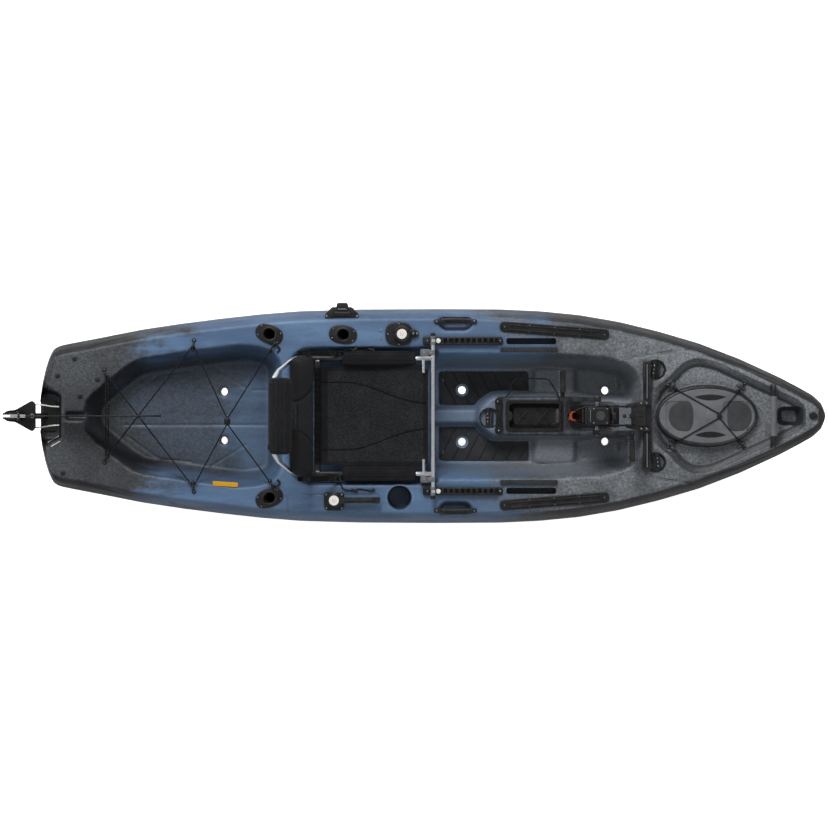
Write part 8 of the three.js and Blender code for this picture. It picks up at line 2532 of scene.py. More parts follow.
@dataclass
class DeckFittings:
    """What is screwed or glued to the deck: holders, tracks, racks, mats, pads and labels."""

    hardware: Hardware
    deck: float = 0.320
    mat_top: float = 0.1123
    mat_foot: float = 0.1083
    pitch: float = 0.023622
    teeth: int = 11
    rack_y: float = 0.3102
    pad_y: float = 0.2732
    grip_y: float = 0.3905
    slant: float = 25.0

    def build(self) -> None:
        """Builds every fitting."""
        self._rod_holders()
        self._tie_downs()
        self._tracks()
        self._racks()
        self._mats()
        self._pads()
        self._paddle_clip()
        self._carry_handles()
        self._small_plates()

    def _rod_holders(self) -> None:
        """Flush holders: a lipped plate around a slanted cup."""
        names = ("port_aft_rod_holder", "starboard_aft_rod_holder", "port_fwd_rod_holder")
        screws = []
        for name, (x, y, turn) in zip(names, sorted(ROD_HOLDERS, key=lambda h: (h[0] > -0.5, -h[1]))):
            flat, slant = at(x, y, self.deck, turn), at(x, y, self.deck, turn, -self.slant)
            plate = squarish(0.0585, 0.0385, 2.35)

            def ring(radius: float, drop: float) -> list[Vector]:
                """Gives a round of the slanted cup at a depth along its axis."""
                return [
                    slant @ Vector((radius * math.cos(a), radius * math.sin(a), drop))
                    for a in turns(48)
                ]

            def level(radius: float, rise: float) -> list[Vector]:
                """Gives a round of the slanted cup where it meets a level plane."""
                lean = math.cos(math.radians(self.slant))
                return [
                    flat @ Vector((radius * math.cos(a) / lean, radius * math.sin(a), rise))
                    for a in turns(48)
                ]

            rings = [
                ring(0.0205, -0.172), ring(0.0205, -0.040), level(0.0208, 0.0008), level(0.0222, 0.0045),
                level(0.0255, 0.0066), level(0.0290, 0.0058),
            ]
            rings += [
                [flat @ Vector((px, py, h)) for px, py in inset_outline(plate, inset)]
                for inset, h in (
                    (0.006, 0.0048), (0.003, 0.0046), (0.0008, 0.0038), (0.0, 0.0022), (0.0, 0.0004)
                )
            ]
            rings += [level(0.0233, 0.0004), ring(0.0232, -0.040), ring(0.0232, -0.176)]
            form = Form(name.replace("holder", "cup"))
            form.rings(rings)
            dress(form.object(), "hull", BLACK, [name])
            for sx, sy in ((0.043, 0.020), (0.043, -0.020), (-0.043, 0.020), (-0.043, -0.020)):
                screws.append(flat @ Vector((sx, sy, 0.0046)))
        self.hardware.screws("rod_holder_screws", "hull", screws, 0.7)

    def _tie_downs(self) -> None:
        """Round cups with a split bar across them."""
        for number, (x, y, mouth) in enumerate(TIE_DOWNS):
            top = mouth - 0.0012
            turn = 90 if abs(y) < 0.05 else 82 * (1 if y > 0 else -1)
            bars = Form(f"tie_down_{number}")
            place = at(x, y, top, turn)
            bars.hoop(
                [
                    (0.0, -0.004), (0.0025, 0.0008), (0.0008, 0.0024), (-0.0022, 0.0022),
                    (-0.0034, -0.0006), (-0.0030, -0.004),
                ],
                0.0405, 0.0405, place, 56,
            )
            bars.slab(box_outline(0.080, 0.017, 0.004, 0, 0.008), -0.005, 0.0015, 0.0018, place)
            bars.slab(box_outline(0.080, 0.0075, 0.002, 0, -0.0095), -0.005, 0.0010, 0.0016, place)
            dress(bars.object(), "hull", BLACK)
            self.hardware.screws(
                f"tie_down_rivets_{number}", "hull",
                [place @ Vector((step * 0.016, 0.008, 0.0014)) for step in (-1, 0, 1)],
                0.8,
            )

    def _tracks(self) -> None:
        """Long slotted tracks on both sides, each with its screws."""
        screws = []
        for side, label in SIDES:
            a, b = Vector((0.2896, side * 0.3678, 0)), Vector((0.6863, side * 0.3372, 0))
            middle, run = (a + b) / 2, b - a
            place = at(middle.x, middle.y, self.deck + 0.0003, math.degrees(math.atan2(run.y, run.x)))
            long = run.length
            track = Form(f"{label}_track")
            half = long / 2 + 0.0270
            outline = rounded(
                [(half, 0.0215), (-half, 0.0215), (-half, -0.0215), (half, -0.0215)], 0.0214, 12
            )
            track.slab(outline, 0, 0.0055, 0.002, place)
            for edge in (-1, 1):
                track.slab(
                    box_outline(long * 0.94, 0.0058, 0.0028, 0, edge * 0.0094), 0.004, 0.0112, 0.0022, place
                )
                track.slab(
                    box_outline(long * 1.02, 0.0016, 0.0006, 0, edge * 0.0172), 0.004, 0.0078, 0.0006, place
                )
            dress(track.object(), "hull", BLACK, [f"{label}_gear_track"])
            slot = Form(f"{label}_track_slot")
            slot.slab(box_outline(long * 0.93, 0.0052, 0.0025), 0.0052, 0.0060, 0.0002, place)
            slot.slab(box_outline(0.030, 0.0028, 0.001, long * 0.40, 0), 0.0058, 0.0074, 0.0006, place)
            dress(slot.object(), "hull", ANODISED)
            for share in (-0.52, 0.52):
                screws.append(place @ Vector((share * long, 0, 0.0055)))
            for share in (-0.26, 0.0, 0.26):
                for edge in (-1, 1):
                    screws.append(place @ Vector((share * long, edge * 0.0134, 0.0056)))
        self.hardware.screws("track_screws", "hull", screws, 0.6)

    def _racks(self) -> None:
        """Toothed racks that the seat's front tube drops into."""
        screws = []
        discs = Form("rack_discs")
        foot, base, top = self.deck + 0.0003, self.deck + 0.006, self.deck + 0.0225
        strip_top, stop_top = self.deck + 0.0068, self.deck + 0.0150
        for side, label in SIDES:
            y = side * self.rack_y
            rack = Form(f"{label}_rack")
            rack.slab(
                box_outline(0.3276, 0.0318, 0.006, 0.1087, y), foot, strip_top, 0.002
            )
            for edge in (-1, 1):
                rack.slab(
                    box_outline(0.262, 0.0042, 0.0015, 0.122, y + edge * 0.0112),
                    base, top, 0.0014,
                )
            for tooth in range(self.teeth):
                x = 0.0020 + tooth * self.pitch
                rack.slab(
                    box_outline(0.0105, 0.0212, 0.003, x, y), base, top, 0.0028
                )
            rack.slab(
                box_outline(0.036, 0.030, 0.005, -0.0362, y), base, stop_top, 0.002
            )
            dress(rack.object(), "hull", BLACK, [f"{label}_notch_rail"])
            discs.lathe(
                [(0.0098, 0), (0.0098, 0.0012), (0.0088, 0.0018), (0.003, 0.0018)],
                at(0.0085, y, self.deck + 0.0218),
                28,
            )
            screws += [(0.2642, y, strip_top), (-0.0362, y, stop_top)]
            deck_tab = Form(f"{label}_rack_end")
            deck_tab.slab(
                disc_outline(0.0125, 0.0125, 0.2625, y, 28), base, self.deck + 0.0092, 0.0015
            )
            dress(deck_tab.object(), "hull", BLACK)
        dress(discs.object(), "hull", PALE)
        self.hardware.screws(
            "rack_screws", "hull", [(x, y, z + (0.0024 if x > 0 else 0)) for x, y, z in screws], 0.9
        )

    def _mats(self) -> None:
        """Grooved foot mats that follow the console's flare, each with a drain hole."""
        aft, fore, inner, outer, step = 0.0115, 0.3865, 0.0445, 0.1858, 0.0015
        hole_x, hole_y, hole_r = 0.108864, 0.108135, 0.026
        for side, label in SIDES:
            corners = [
                (aft, inner), (0.2420, inner), (0.3180, 0.0880), (fore, 0.0880), (fore, outer),
                (aft, outer),
            ]
            outline = rounded(corners, 0.014, 4)
            if side < 0:
                outline = [(x, -y) for x, y in outline][::-1]
            mesh = bmesh.new()
            hole = [
                (hole_x + hole_r * math.cos(a), side * hole_y + hole_r * math.sin(a))
                for a in turns(36)
            ]
            xs = np.arange(aft, fore + 0.0001, step)
            ys = np.arange(inner, outer + 0.0001, step)
            inside = self._inside(xs, ys * side, outline, hole)
            top = np.full(inside.shape, self.mat_top)
            gx, gy = np.meshgrid(xs, ys * side, indexing="ij")
            slope = -0.52
            for k in range(-2, 10):
                far = np.abs((gx - 0.056 * k) - slope * (np.abs(gy) - 0.10)) / math.hypot(1, slope)
                top -= 0.0024 * np.exp(-((far / 0.0021) ** 4))
            verts: dict[tuple[int, int, int], bmesh.types.BMVert] = {}

            def corner(i: int, j: int, upper: int) -> bmesh.types.BMVert:
                """Gives a grid corner's point, made the first time."""
                key = (i, j, upper)
                if key not in verts:
                    verts[key] = mesh.verts.new(
                        (xs[i], ys[j] * side, top[i, j] if upper else self.mat_foot)
                    )
                return verts[key]

            cells = inside[:-1, :-1] & inside[1:, :-1] & inside[:-1, 1:] & inside[1:, 1:]
            for i, j in zip(*np.nonzero(cells)):
                around = [(i, j), (i + 1, j), (i + 1, j + 1), (i, j + 1)]
                mesh.faces.new([corner(a, b, 1) for a, b in around])
                mesh.faces.new([corner(a, b, 0) for a, b in reversed(around)])
                for (a, b), (c, d), (di, dj) in zip(
                    around, around[1:] + around[:1], ((0, -1), (1, 0), (0, 1), (-1, 0))
                ):
                    ni, nj = i + di, j + dj
                    if not (0 <= ni < cells.shape[0] and 0 <= nj < cells.shape[1]) or not cells[ni, nj]:
                        mesh.faces.new([corner(a, b, 0), corner(c, d, 0), corner(c, d, 1), corner(a, b, 1)])
            bmesh.ops.recalc_face_normals(mesh, faces=mesh.faces)
            made = bpy.data.meshes.new(f"{label}_mat")
            mesh.to_mesh(made)
            mesh.free()
            obj = bpy.data.objects.new(f"{label}_mat", made)
            bpy.context.scene.collection.objects.link(obj)
            shade(obj, 50.0)
            dress(obj, "hull", FOAM, [f"{label}_foot_mat"])
            Upholstery.region(obj, BLACK, lambda p: self.mat_foot + 0.001 < p.z < self.mat_top - 0.0008)

    @staticmethod
    def _inside(xs: np.ndarray, ys: np.ndarray, outline: Outline, hole: Outline) -> np.ndarray:
        """Tells which grid points lie inside an outline and outside its hole.

        Args:
            xs: The grid's places along.
            ys: Its places across.
            outline: The outline.
            hole: The hole's outline.

        Returns:
            True for each point inside.
        """
        gx, gy = np.meshgrid(xs, ys, indexing="ij")

        def within(line: Outline) -> np.ndarray:
            """Counts the crossings of a ray from each point."""
            odd = np.zeros(gx.shape, bool)
            for (ax, ay), (bx, by) in zip(line, line[1:] + line[:1]):
                if ay == by:
                    continue
                crosses = ((ay > gy) != (by > gy)) & (gx < (bx - ax) * (gy - ay) / (by - ay) + ax)
                odd ^= crosses
            return odd

        return within(outline) & ~within(hole)

    def _pads(self) -> None:
        """Ribbed side pads beside the racks."""
        for side, label in SIDES:
            pad = Form(f"{label}_knee_pad")
            pad.slab(
                box_outline(0.236, 0.019, 0.005, 0.3823, side * self.pad_y),
                self.deck + 0.0003, self.deck + 0.0118, 0.003,
            )
            for rib in range(15):
                pad.slab(
                    box_outline(0.0042, 0.0165, 0.0015, 0.2755 + rib * 0.0153, side * self.pad_y),
                    self.deck + 0.010, self.deck + 0.0142, 0.0012,
                )
            dress(pad.object(), "hull", FOAM, [f"{label}_side_pad"])

    def _paddle_clip(self) -> None:
        """The sprung clip at the port gunwale."""
        clip = Form("paddle_clip_body")
        outer = rounded(
            [
                (-0.318, 0.4015), (-0.322, 0.4235), (-0.350, 0.4505), (-0.430, 0.4505), (-0.4575, 0.4235),
                (-0.4605, 0.4015),
            ],
            0.006, 4,
        )
        base_top, grip_top = 0.3120, 0.3165
        clip.slab(outer, 0.3003, base_top, 0.003)
        clip.slab(
            rounded(
                [
                    (-0.361, 0.437), (-0.365, 0.4640), (-0.372, 0.4678), (-0.404, 0.4678), (-0.411, 0.4640),
                    (-0.413, 0.437),
                ],
                0.004, 4,
            ),
            0.2900, 0.3155, 0.003,
        )
        clip.slab(box_outline(0.070, 0.018, 0.006, -0.388, 0.421), 0.311, 0.3188, 0.003)
        for x in (-0.430, -0.346):
            clip.slab(box_outline(0.013, 0.038, 0.004, x, 0.426), 0.311, grip_top, 0.002)
        dress(clip.object(), "hull", BLACK, ["paddle_clip"])
        strip = Form("paddle_clip_roller")
        strip.tube(
            [
                (-0.4065, 0.4405, grip_top), (-0.3885, 0.4415, 0.3172), (-0.3705, 0.4405, grip_top)
            ], 0.0026, 10
        )
        dress(strip.object(), "hull", GREY)
        self.hardware.screws(
            "paddle_clip_screws", "hull", [(-0.452, 0.413, base_top), (-0.327, 0.412, base_top)], 1.2
        )

    def _carry_handles(self) -> None:
        """Swinging side handles: a ribbed grip with webbing ends."""
        screws = []
        for side, label in SIDES:
            y = side * self.grip_y
            grip = Form(f"{label}_grip")

            def bowed(x: float, level: float) -> Vector:
                """Gives a point of the grip's bowed middle line."""
                bow = math.sin(math.pi * (x + 0.0089) / 0.176)
                return Vector((x, y + side * 0.0035 * bow, level + 0.003 * bow))

            grip.tube([bowed(x, 0.3305) for x in np.linspace(0.022, 0.136, 16)], 0.0114, 14, 0.46)
            for x in np.linspace(0.030, 0.128, 15):
                centre = bowed(x, 0.3312)
                across = np.linspace(-0.0112, 0.0112, 7)
                rib = [centre + Vector((0, w, 0.0044 * math.sqrt(1 - (w / 0.0117) ** 2))) for w in across]
                grip.tube(rib, 0.0016, 6)
            for end, x in ((-1, 0.0070), (1, 0.1510)):
                grip.slab(
                    box_outline(0.0315, 0.0175, 0.004, x, y), self.deck + 0.0005, self.deck + 0.0085, 0.0022
                )
                screws.append((x + end * 0.006, y, self.deck + 0.0085))
            dress(grip.object(), f"{label}_handle", BLACK, [f"{label}_carry_handle"])
            for number, (x, y_screw, z) in enumerate(screws[-2:]):
                self.hardware.screws(
                    f"{label}_handle_screw_{number}", f"{label}_handle", [(x, y_screw, z)], 0.9
                )

    def _small_plates(self) -> None:
        """The bare warning plate, the threaded inserts and the deck's plain screws."""
        x, y = -0.8705, -0.2812
        label = Form("side_label")
        place = at(x, y, self._tangent(x, y) + 0.0004, -3.5)
        label.slab(box_outline(0.104, 0.0190, 0.003), 0.0, 0.0008, 0.0003, place)
        dress(label.object(), "hull", YELLOW)
        inserts = Form("deck_inserts")
        for x, y in ((-1.492, 0.236), (-1.563, 0.165), (-1.398, 0.150), (-1.470, 0.080), (-1.540, -0.237)):
            place = at(x, y, deck_height(x, y) + 0.0002, 12)
            inserts.slab(box_outline(0.019, 0.015, 0.004), -0.001, 0.0030, 0.0014, place)
            inserts.lathe([(0.0055, 0.0025), (0.0052, 0.0044), (0.0032, 0.0046)], place, 16)
        dress(inserts.object(), "hull", BLACK)
        lone = [(-0.229, 0.353), (-0.229, 0.320), (-0.565, -0.360), (-1.5580, 0.035)]
        self.hardware.screws(
            "deck_screws", "hull", [(x, y, deck_height(x, y) + 0.0003) for x, y in lone], 1.0
        )

    @staticmethod
    def _tangent(x: float, y: float) -> float:
        """Gives the highest deck level under a small plate."""
        return max(deck_height(x + dx, y + dy) for dx in (-0.05, 0, 0.05) for dy in (-0.009, 0, 0.009))


@dataclass
class Controls:
    """The steering lever on the starboard side and the rudder lift on the port side."""

    hardware: Hardware
    steer: Point = (-0.421848, -0.347988, 0.3407)
    lift: Point = (-0.141912, 0.3382, 0.3307)
    foot: float = 0.3203
    lever_plate: float = 0.3275
    dial_plate: float = 0.3292

    def build(self) -> None:
        """Builds both controls."""
        self._steering()
        self._lifting()

    def _steering(self) -> None:
        """The lever on its round base, with its badge and screws."""
        x, y, z = self.steer
        base = Form("steering_plate")
        base.slab(
            rounded(
                [
                    (x + 0.0415, y + 0.0265), (x + 0.0235, y + 0.0345), (x - 0.030, y + 0.0340),
                    (x - 0.0415, y + 0.0225), (x - 0.0410, y - 0.0290), (x - 0.0290, y - 0.0425),
                    (x + 0.0265, y - 0.0425), (x + 0.0415, y - 0.0290),
                ],
                0.008,
            ),
            self.foot, self.lever_plate, 0.003,
        )
        base.lathe([(0.0285, 0.3270), (0.0285, 0.3385), (0.0265, 0.3398)], at(x, y, 0), 40)
        dress(base.object(), "hull", BLACK, ["steering_base"])
        self.hardware.screws(
            "steering_screws", "hull",
            [
                (x + a, y + b, self.lever_plate)
                for a, b in ((0.0315, 0.0235), (-0.0315, 0.0235), (0.0315, -0.0315), (-0.0315, -0.0315))
            ],
            0.9,
        )
        lever = Form("steering_arm")
        lever.lathe(
            [(0.0248, 0), (0.0253, 0.002), (0.0253, 0.015), (0.0230, 0.0178), (0.0225, 0.0178)],
            at(x, y, z), 48,
        )
        outline = rounded(
            [
                (x + 0.018, y + 0.0105), (x + 0.018, y - 0.0105), (x + 0.052, y - 0.0075),
                (x + 0.150, y - 0.0068), (x + 0.1865, y - 0.0090), (x + 0.1870, y + 0.0095),
                (x + 0.150, y + 0.0080), (x + 0.052, y + 0.0078),
            ][::-1],
            0.004, 4,
        )
        lever.slab(outline, z + 0.001, z + 0.0135, 0.0042)
        lever.slab(
            rounded(
                [
                    (x + 0.045, y - 0.0035), (x + 0.160, y - 0.0035), (x + 0.160, y + 0.0045),
                    (x + 0.045, y + 0.0035),
                ],
                0.003,
            ),
            z + 0.012, z + 0.0152, 0.002,
        )
        dress(lever.object(), "lever", BLACK, ["steering_lever"])
        self._badge("steering_badge", "lever", (x, y, z + 0.0180), 0.0205, ["steering_lever_cap"])

    def _lifting(self) -> None:
        """The knurled wheel on its plate, with the cord's cleat beside it."""
        x, y, z = self.lift
        plate = Form("lift_plate")
        pan = [(px + x - 0.012, py + y) for px, py in squarish(0.0560, 0.0485, 2.6, 0, 64)]
        plate.slab(pan, self.foot, self.dial_plate, 0.003)
        plate.slab(
            rounded(
                [
                    (x + 0.020, y - 0.0110), (x + 0.0420, y - 0.0150), (x + 0.0525, y - 0.0150),
                    (x + 0.0690, y - 0.0090), (x + 0.0690, y + 0.0090), (x + 0.0525, y + 0.0185),
                    (x + 0.0420, y + 0.0185), (x + 0.020, y + 0.0120),
                ],
                0.004,
            ),
            self.foot, 0.3300, 0.003,
        )
        plate.lathe(
            [(0.0080, 0.329), (0.0082, 0.3440), (0.0060, 0.3475), (0.0030, 0.3480)],
            at(x + 0.0470, y + 0.0012, 0), 24,
        )
        for shift in (0.030, 0.0625):
            plate.slab(box_outline(0.0090, 0.0150, 0.003, x + shift, y + 0.0012), 0.329, 0.3372, 0.002)
        dress(plate.object(), "hull", BLACK, ["lift_base"])
        dial = Form("lift_wheel")
        rings = []
        for radius, level in (
            (0.0322, 0), (0.0345, 0.003), (0.0345, 0.0178), (0.0318, 0.0228), (0.0262, 0.0236),
            (0.0232, 0.0190), (0.0228, 0.0168),
        ):
            ring = []
            for a in turns(144):
                knurl = 0.030 * max(0.0, math.cos(12 * a)) if radius > 0.031 else 0
                reach = radius * (1 + knurl)
                ring.append((reach * math.cos(a), reach * math.sin(a), level))
            rings.append(ring)
        dial.rings(rings, at(x, y, z))
        dress(dial.object(), "dial", BLACK, ["lift_dial"])
        self._badge("lift_badge", "dial", (x, y, z + 0.0165), 0.0208, ["lift_dial_cap"])
        self.hardware.screws(
            "lift_screws", "hull",
            [
                (x + a, y + b, self.dial_plate)
                for a, b in ((-0.058, 0.0), (-0.012, 0.0420), (-0.012, -0.0420))
            ],
            0.85,
        )
        self.hardware.screws(
            "lift_pins", "hull", [(x + 0.0470, y + 0.0012, 0.3480), (x + 0.0625, y + 0.0012, 0.3372)], 1.1
        )

    @staticmethod
    def _badge(name: str, body: str, place: Point, radius: float, replaces: Sequence[str]) -> None:
        """A pale cap with a plain pattern of dots.

        Args:
            name: The piece's name.
            body: The CAD body that carries it.
            place: The middle of its foot.
            radius: Its radius.
            replaces: The CAD nodes that it stands for.
        """
        cap = Form(name)
        cap.lathe(
            [(radius, 0), (radius, 0.0018), (radius - 0.0010, 0.0028), (0.003, 0.0032)], at(*place), 48
        )
        dress(cap.object(), body, PALE, replaces)
        dots = Form(f"{name}_dots")
        for ring, count in ((0.0, 1), (0.0075, 5)):
            for a in turns(count):
                dots.lathe(
                    [(0.0016, 0.0024), (0.0016, 0.0036), (0.0010, 0.0039)],
                    at(place[0] + ring * math.cos(a), place[1] + ring * math.sin(a), place[2]),
                    12,
                )
        dress(dots.object(), body, RED)


@dataclass
class Console:
    """The middle console: dock, tray, bail and cross rod."""

    hardware: Hardware
    rod: tuple[float, float] = (0.5155, 0.2010)
    cord_z: float = 0.1672
    dock_top: float = 0.2108
    bail_z: float = 0.2070

    def build(self) -> None:
        """Builds the console's parts."""
        dock = Form("dock_casting")
        dock.slab(
            rounded(
                [
                    (0.2720, 0.0735), (0.2480, 0.0735), (0.2434, 0.0600), (0.2500, 0.0300),
                    (0.2500, -0.0300), (0.2434, -0.0600), (0.2480, -0.0735), (0.2720, -0.0735),
                    (0.2782, -0.0560), (0.2740, 0.0), (0.2782, 0.0560),
                ],
                0.006,
            ),
            0.1953, 0.2060, 0.003,
        )
        for lobe_x, lobe_y, r in (
            (0.2560, 0.0600, 0.0118), (0.2600, -0.0610, 0.0118), (0.2610, 0.0300, 0.0085),
            (0.2610, -0.0290, 0.0085),
        ):
            dock.lathe(
                [(r, 0.2050), (r, 0.2085), (r - 0.002, 0.2105), (r * 0.4, self.dock_top)],
                at(lobe_x, lobe_y, 0), 24,
            )
        dock.tube(
            smooth_path(
                [
                    (0.2700, 0.052, 0.2070), (0.2660, 0.026, 0.2090), (0.2650, 0.0, 0.2096),
                    (0.2660, -0.026, 0.2090), (0.2700, -0.052, 0.2070),
                ],
                6,
            ),
            0.0042, 10,
        )
        dock.tube([(0.2485, 0.046, 0.2075), (0.2515, 0.0, 0.2090), (0.2485, -0.046, 0.2075)], 0.0030, 8)
        dress(dock.object(), "hull", BLACK, ["drive_dock"])
        self.hardware.screws(
            "dock_screws", "hull", [(0.2560, 0.0600, self.dock_top), (0.2600, -0.0610, self.dock_top)], 0.85
        )
        latch = Form("tray_latch")
        latch.slab(
            [
                (0.3000 + 0.0185 * math.sin(a), 0.0225 * math.cos(a)) for a in np.linspace(0, math.pi, 18)
            ][::-1],
            0.1950, 0.2006, 0.002,
        )
        latch.tube(
            [
                (0.3065, 0.006 * math.cos(a), 0.2008 + 0.003 * math.sin(a))
                for a in np.linspace(0, math.pi, 9)
            ],
            0.0016, 6,
        )
        dress(latch.object(), "hull", BLACK)
        cord = Form("tray_cross_cords")
        for first, second in (
            ((0.318, 0.048), (0.402, -0.048)),
            ((0.318, -0.048), (0.402, 0.048)),
            ((0.402, 0.048), (0.486, -0.048)),
            ((0.402, -0.048), (0.486, 0.048)),
        ):
            cord.tube([(*first, self.cord_z), (*second, self.cord_z)], 0.0016, 8)
        dress(cord.object(), "hull", BLACK)
        rod = Form("cross_rod")
        x, z = self.rod
        rod.tube([(x, 0.074, z), (x, -0.064, z)], 0.0040, 12)
        for y in (0.072, 0.030, -0.020, -0.062):
            rod.lathe(
                [(0.0068, -0.005), (0.0074, -0.003), (0.0074, 0.003), (0.0068, 0.005)],
                at(x, y, z, 0, 0, 90), 18,
            )
        dress(rod.object(), "hull", BLACK)
        bail = Form("bail_loop")
        path = smooth_path(
            [
                (0.2560, 0.0740, 0.2000), (0.2850, 0.0765, 0.2040), (0.2985, 0.0860, 0.2055),
                (0.3060, 0.1060, 0.2065), (0.3140, 0.1330, self.bail_z), (0.3330, 0.1540, self.bail_z),
                (0.3650, 0.1560, self.bail_z), (0.4300, 0.1545, self.bail_z), (0.4650, 0.1510, self.bail_z),
                (0.4840, 0.1260, 0.2060), (0.5020, 0.0950, 0.2050), (0.5100, 0.0780, 0.2020),
            ],
            6,
        )
        bail.tube(path, 0.0030, 10)
        dress(bail.object(), "hull", BLACK)


@dataclass
class Drive:
    """The pedal drive's visible casing, crank ends, bracket and front rail."""

    hardware: Hardware
    crank: Point = (0.66096, 0.0, 0.380)
    rail_x: float = 0.8690
    rail_foot: float = 0.3425
    cover_top: float = 0.4345
    casing_top: float = 0.3800
    bracket_foot: float = 0.3555
    bracket_top: float = 0.3630

    def build(self) -> None:
        """Builds the drive's dressing over its CAD solids."""
        self._cover()
        self._links()
        self._bracket()
        self._cranks()

    def _cover(self) -> None:
        """Steps, ridge, top plate and round badge of the top cover, and the wings of the casing."""
        cover = Form("cover_steps")
        for x0, x1, half, top in (
            (0.5985, 0.6085, 0.0290, 0.4040),
            (0.6090, 0.6215, 0.0330, 0.4230),
            (0.7020, 0.7115, 0.0345, 0.4265),
        ):
            cover.slab(box_outline(x1 - x0, 2 * half, 0.004, (x0 + x1) / 2, 0), 0.3805, top, 0.0035)
        cover.slab(
            rounded(
                [
                    (0.7060, 0.0352), (0.6290, 0.0352), (0.6190, 0.0240), (0.6190, -0.0240),
                    (0.6290, -0.0352), (0.7060, -0.0352),
                ],
                0.010, 5,
            ),
            0.428, self.cover_top, 0.0032, crown=0.0018,
        )
        dress(cover.object(), "drive", BLACK)
        ridge = Form("cover_ridge")
        ridge.slab(box_outline(0.0034, 0.052, 0.0015, 0.6320, 0), 0.4330, 0.4372, 0.0012)
        dress(ridge.object(), "drive", STEEL)
        badge = Form("cover_badge")
        place = at(0.6735, 0.0015, 0.4352)
        badge.hoop(
            [(0.0, -0.001), (0.0006, 0.0020), (-0.0010, 0.0028), (-0.0026, 0.0018), (-0.0028, -0.001)],
            0.0182, 0.0182, place, 56,
        )
        badge.lathe([(0.0158, -0.001), (0.0156, 0.0010), (0.004, 0.0014)], place, 40)
        for turn in turns(5):
            a = turn + 0.3
            badge.lathe(
                [(0.0030, 0.0008), (0.0030, 0.0030), (0.0022, 0.0034)],
                place @ at(0.0105 * math.cos(a), 0.0105 * math.sin(a), 0),
                14,
            )
        dress(badge.object(), "drive", CHARCOAL)
        nose = Form("casing_wings")
        for side in (1, -1):
            outline = [
                (0.5640, side * 0.0235), (0.6140, side * 0.0405), (0.7000, side * 0.0445),
                (0.7000, side * 0.0372), (0.6180, side * 0.0330), (0.5700, side * 0.0180),
            ]
            nose.slab(rounded(outline if side < 0 else outline[::-1], 0.004, 4), 0.3804, 0.3990, 0.003)
        dress(nose.object(), "drive", BLACK)
        handle = Form("release_grip")
        vee = [
            (0.5800, 0.0215), (0.5605, 0.0190), (0.5535, 0.0080), (0.5535, -0.0080), (0.5605, -0.0190),
            (0.5800, -0.0215), (0.5800, -0.0120), (0.5680, -0.0080), (0.5680, 0.0080), (0.5800, 0.0120),
        ]
        handle.slab(rounded(vee, 0.003, 4), 0.2092, 0.2228, 0.004)
        dress(handle.object(), "release", ORANGE, ["release_handle"])
        bolts = [(x, side * 0.0290, self.cover_top) for x in (0.6450, 0.7000) for side in (1, -1)]
        self.hardware.screws("cover_screws", "drive", bolts, 0.7)

    def _links(self) -> None:
        """Hinge knuckles, link plates and the bright spring rod ahead of the casing."""
        link = Form("hinge_links")
        for y in (0.040, -0.040):
            link.slab(
                rounded(
                    [
                        (0.7520, y + 0.0052), (0.7050, y + 0.0046), (0.7050, y - 0.0046),
                        (0.7520, y - 0.0052),
                    ],
                    0.003, 4,
                ),
                0.3560, self.casing_top, 0.003,
            )
        link.slab(box_outline(0.018, 0.030, 0.004, 0.7300, 0), self.casing_top, 0.3915, 0.003)
        link.slab(box_outline(0.014, 0.064, 0.004, 0.7240, 0), self.casing_top, 0.3865, 0.003)
        dress(link.object(), "drive", ANODISED)
        rod = Form("spring_rod")
        rod.tube([(0.7740, 0.0, 0.3678), (0.7970, 0.0, 0.3640)], 0.0032, 14)
        dress(rod.object(), "hull", STEEL)
        ends = Form("spring_rod_ends")
        for x, z in ((0.7755, 0.3675), (0.7990, 0.3637)):
            ends.lathe(
                [(0.0062, -0.006), (0.0070, -0.004), (0.0070, 0.004), (0.0062, 0.006)],
                at(x, 0, z, 0, 99), 20,
            )
        ends.slab(box_outline(0.020, 0.020, 0.004, 0.8060, 0), self.bracket_foot, 0.3660, 0.002)
        dress(ends.object(), "hull", BLACK)

    def _bracket(self) -> None:
        """The bracket's plate, arms and bolts, and the slotted front rail."""
        plate = Form("bracket_plate")
        plate.slab(
            rounded([(0.8640, 0.0600), (0.8030, 0.0310), (0.8030, -0.0310), (0.8640, -0.0600)], 0.006),
            self.bracket_foot, 0.3600, 0.002,
        )
        for side in (1, -1):
            arm = [
                (0.7800, side * 0.0320), (0.7800, side * 0.0480), (0.8500, side * 0.0640),
                (0.8840, side * 0.0640), (0.8840, side * 0.0440), (0.8560, side * 0.0440),
            ]
            plate.slab(
                rounded(arm if side < 0 else arm[::-1], 0.004), self.bracket_foot, self.bracket_top, 0.003
            )
        for y in (-0.020, 0.0, 0.020):
            plate.slab(box_outline(0.034, 0.0042, 0.0015, 0.8320, y), 0.3595, 0.3622, 0.0015)
        dress(plate.object(), "hull", BLACK)
        self.hardware.screws(
            "bracket_bolts", "hull",
            [
                (x, side * y, self.bracket_top)
                for x, y in ((0.8660, 0.0530), (0.8440, 0.0520))
                for side in (1, -1)
            ],
            1.25,
        )
        rail = Form("rail_lips")
        for x in (0.8575, 0.8805):
            rail.slab(box_outline(0.0078, 0.448, 0.002, x, 0), self.rail_foot, 0.3462, 0.0018)
        for side in (1, -1):
            rail.slab(
                box_outline(0.0320, 0.0095, 0.003, self.rail_x, side * 0.2205),
                self.rail_foot, 0.3480, 0.002,
            )
        dress(rail.object(), "hull", ANODISED)
        strip = Form("rail_strip")
        for side in (1, -1):
            strip.slab(
                box_outline(0.0042, 0.142, 0.001, self.rail_x, side * 0.1410), 0.3428, 0.3436, 0.0003
            )
        dress(strip.object(), "hull", STEEL)
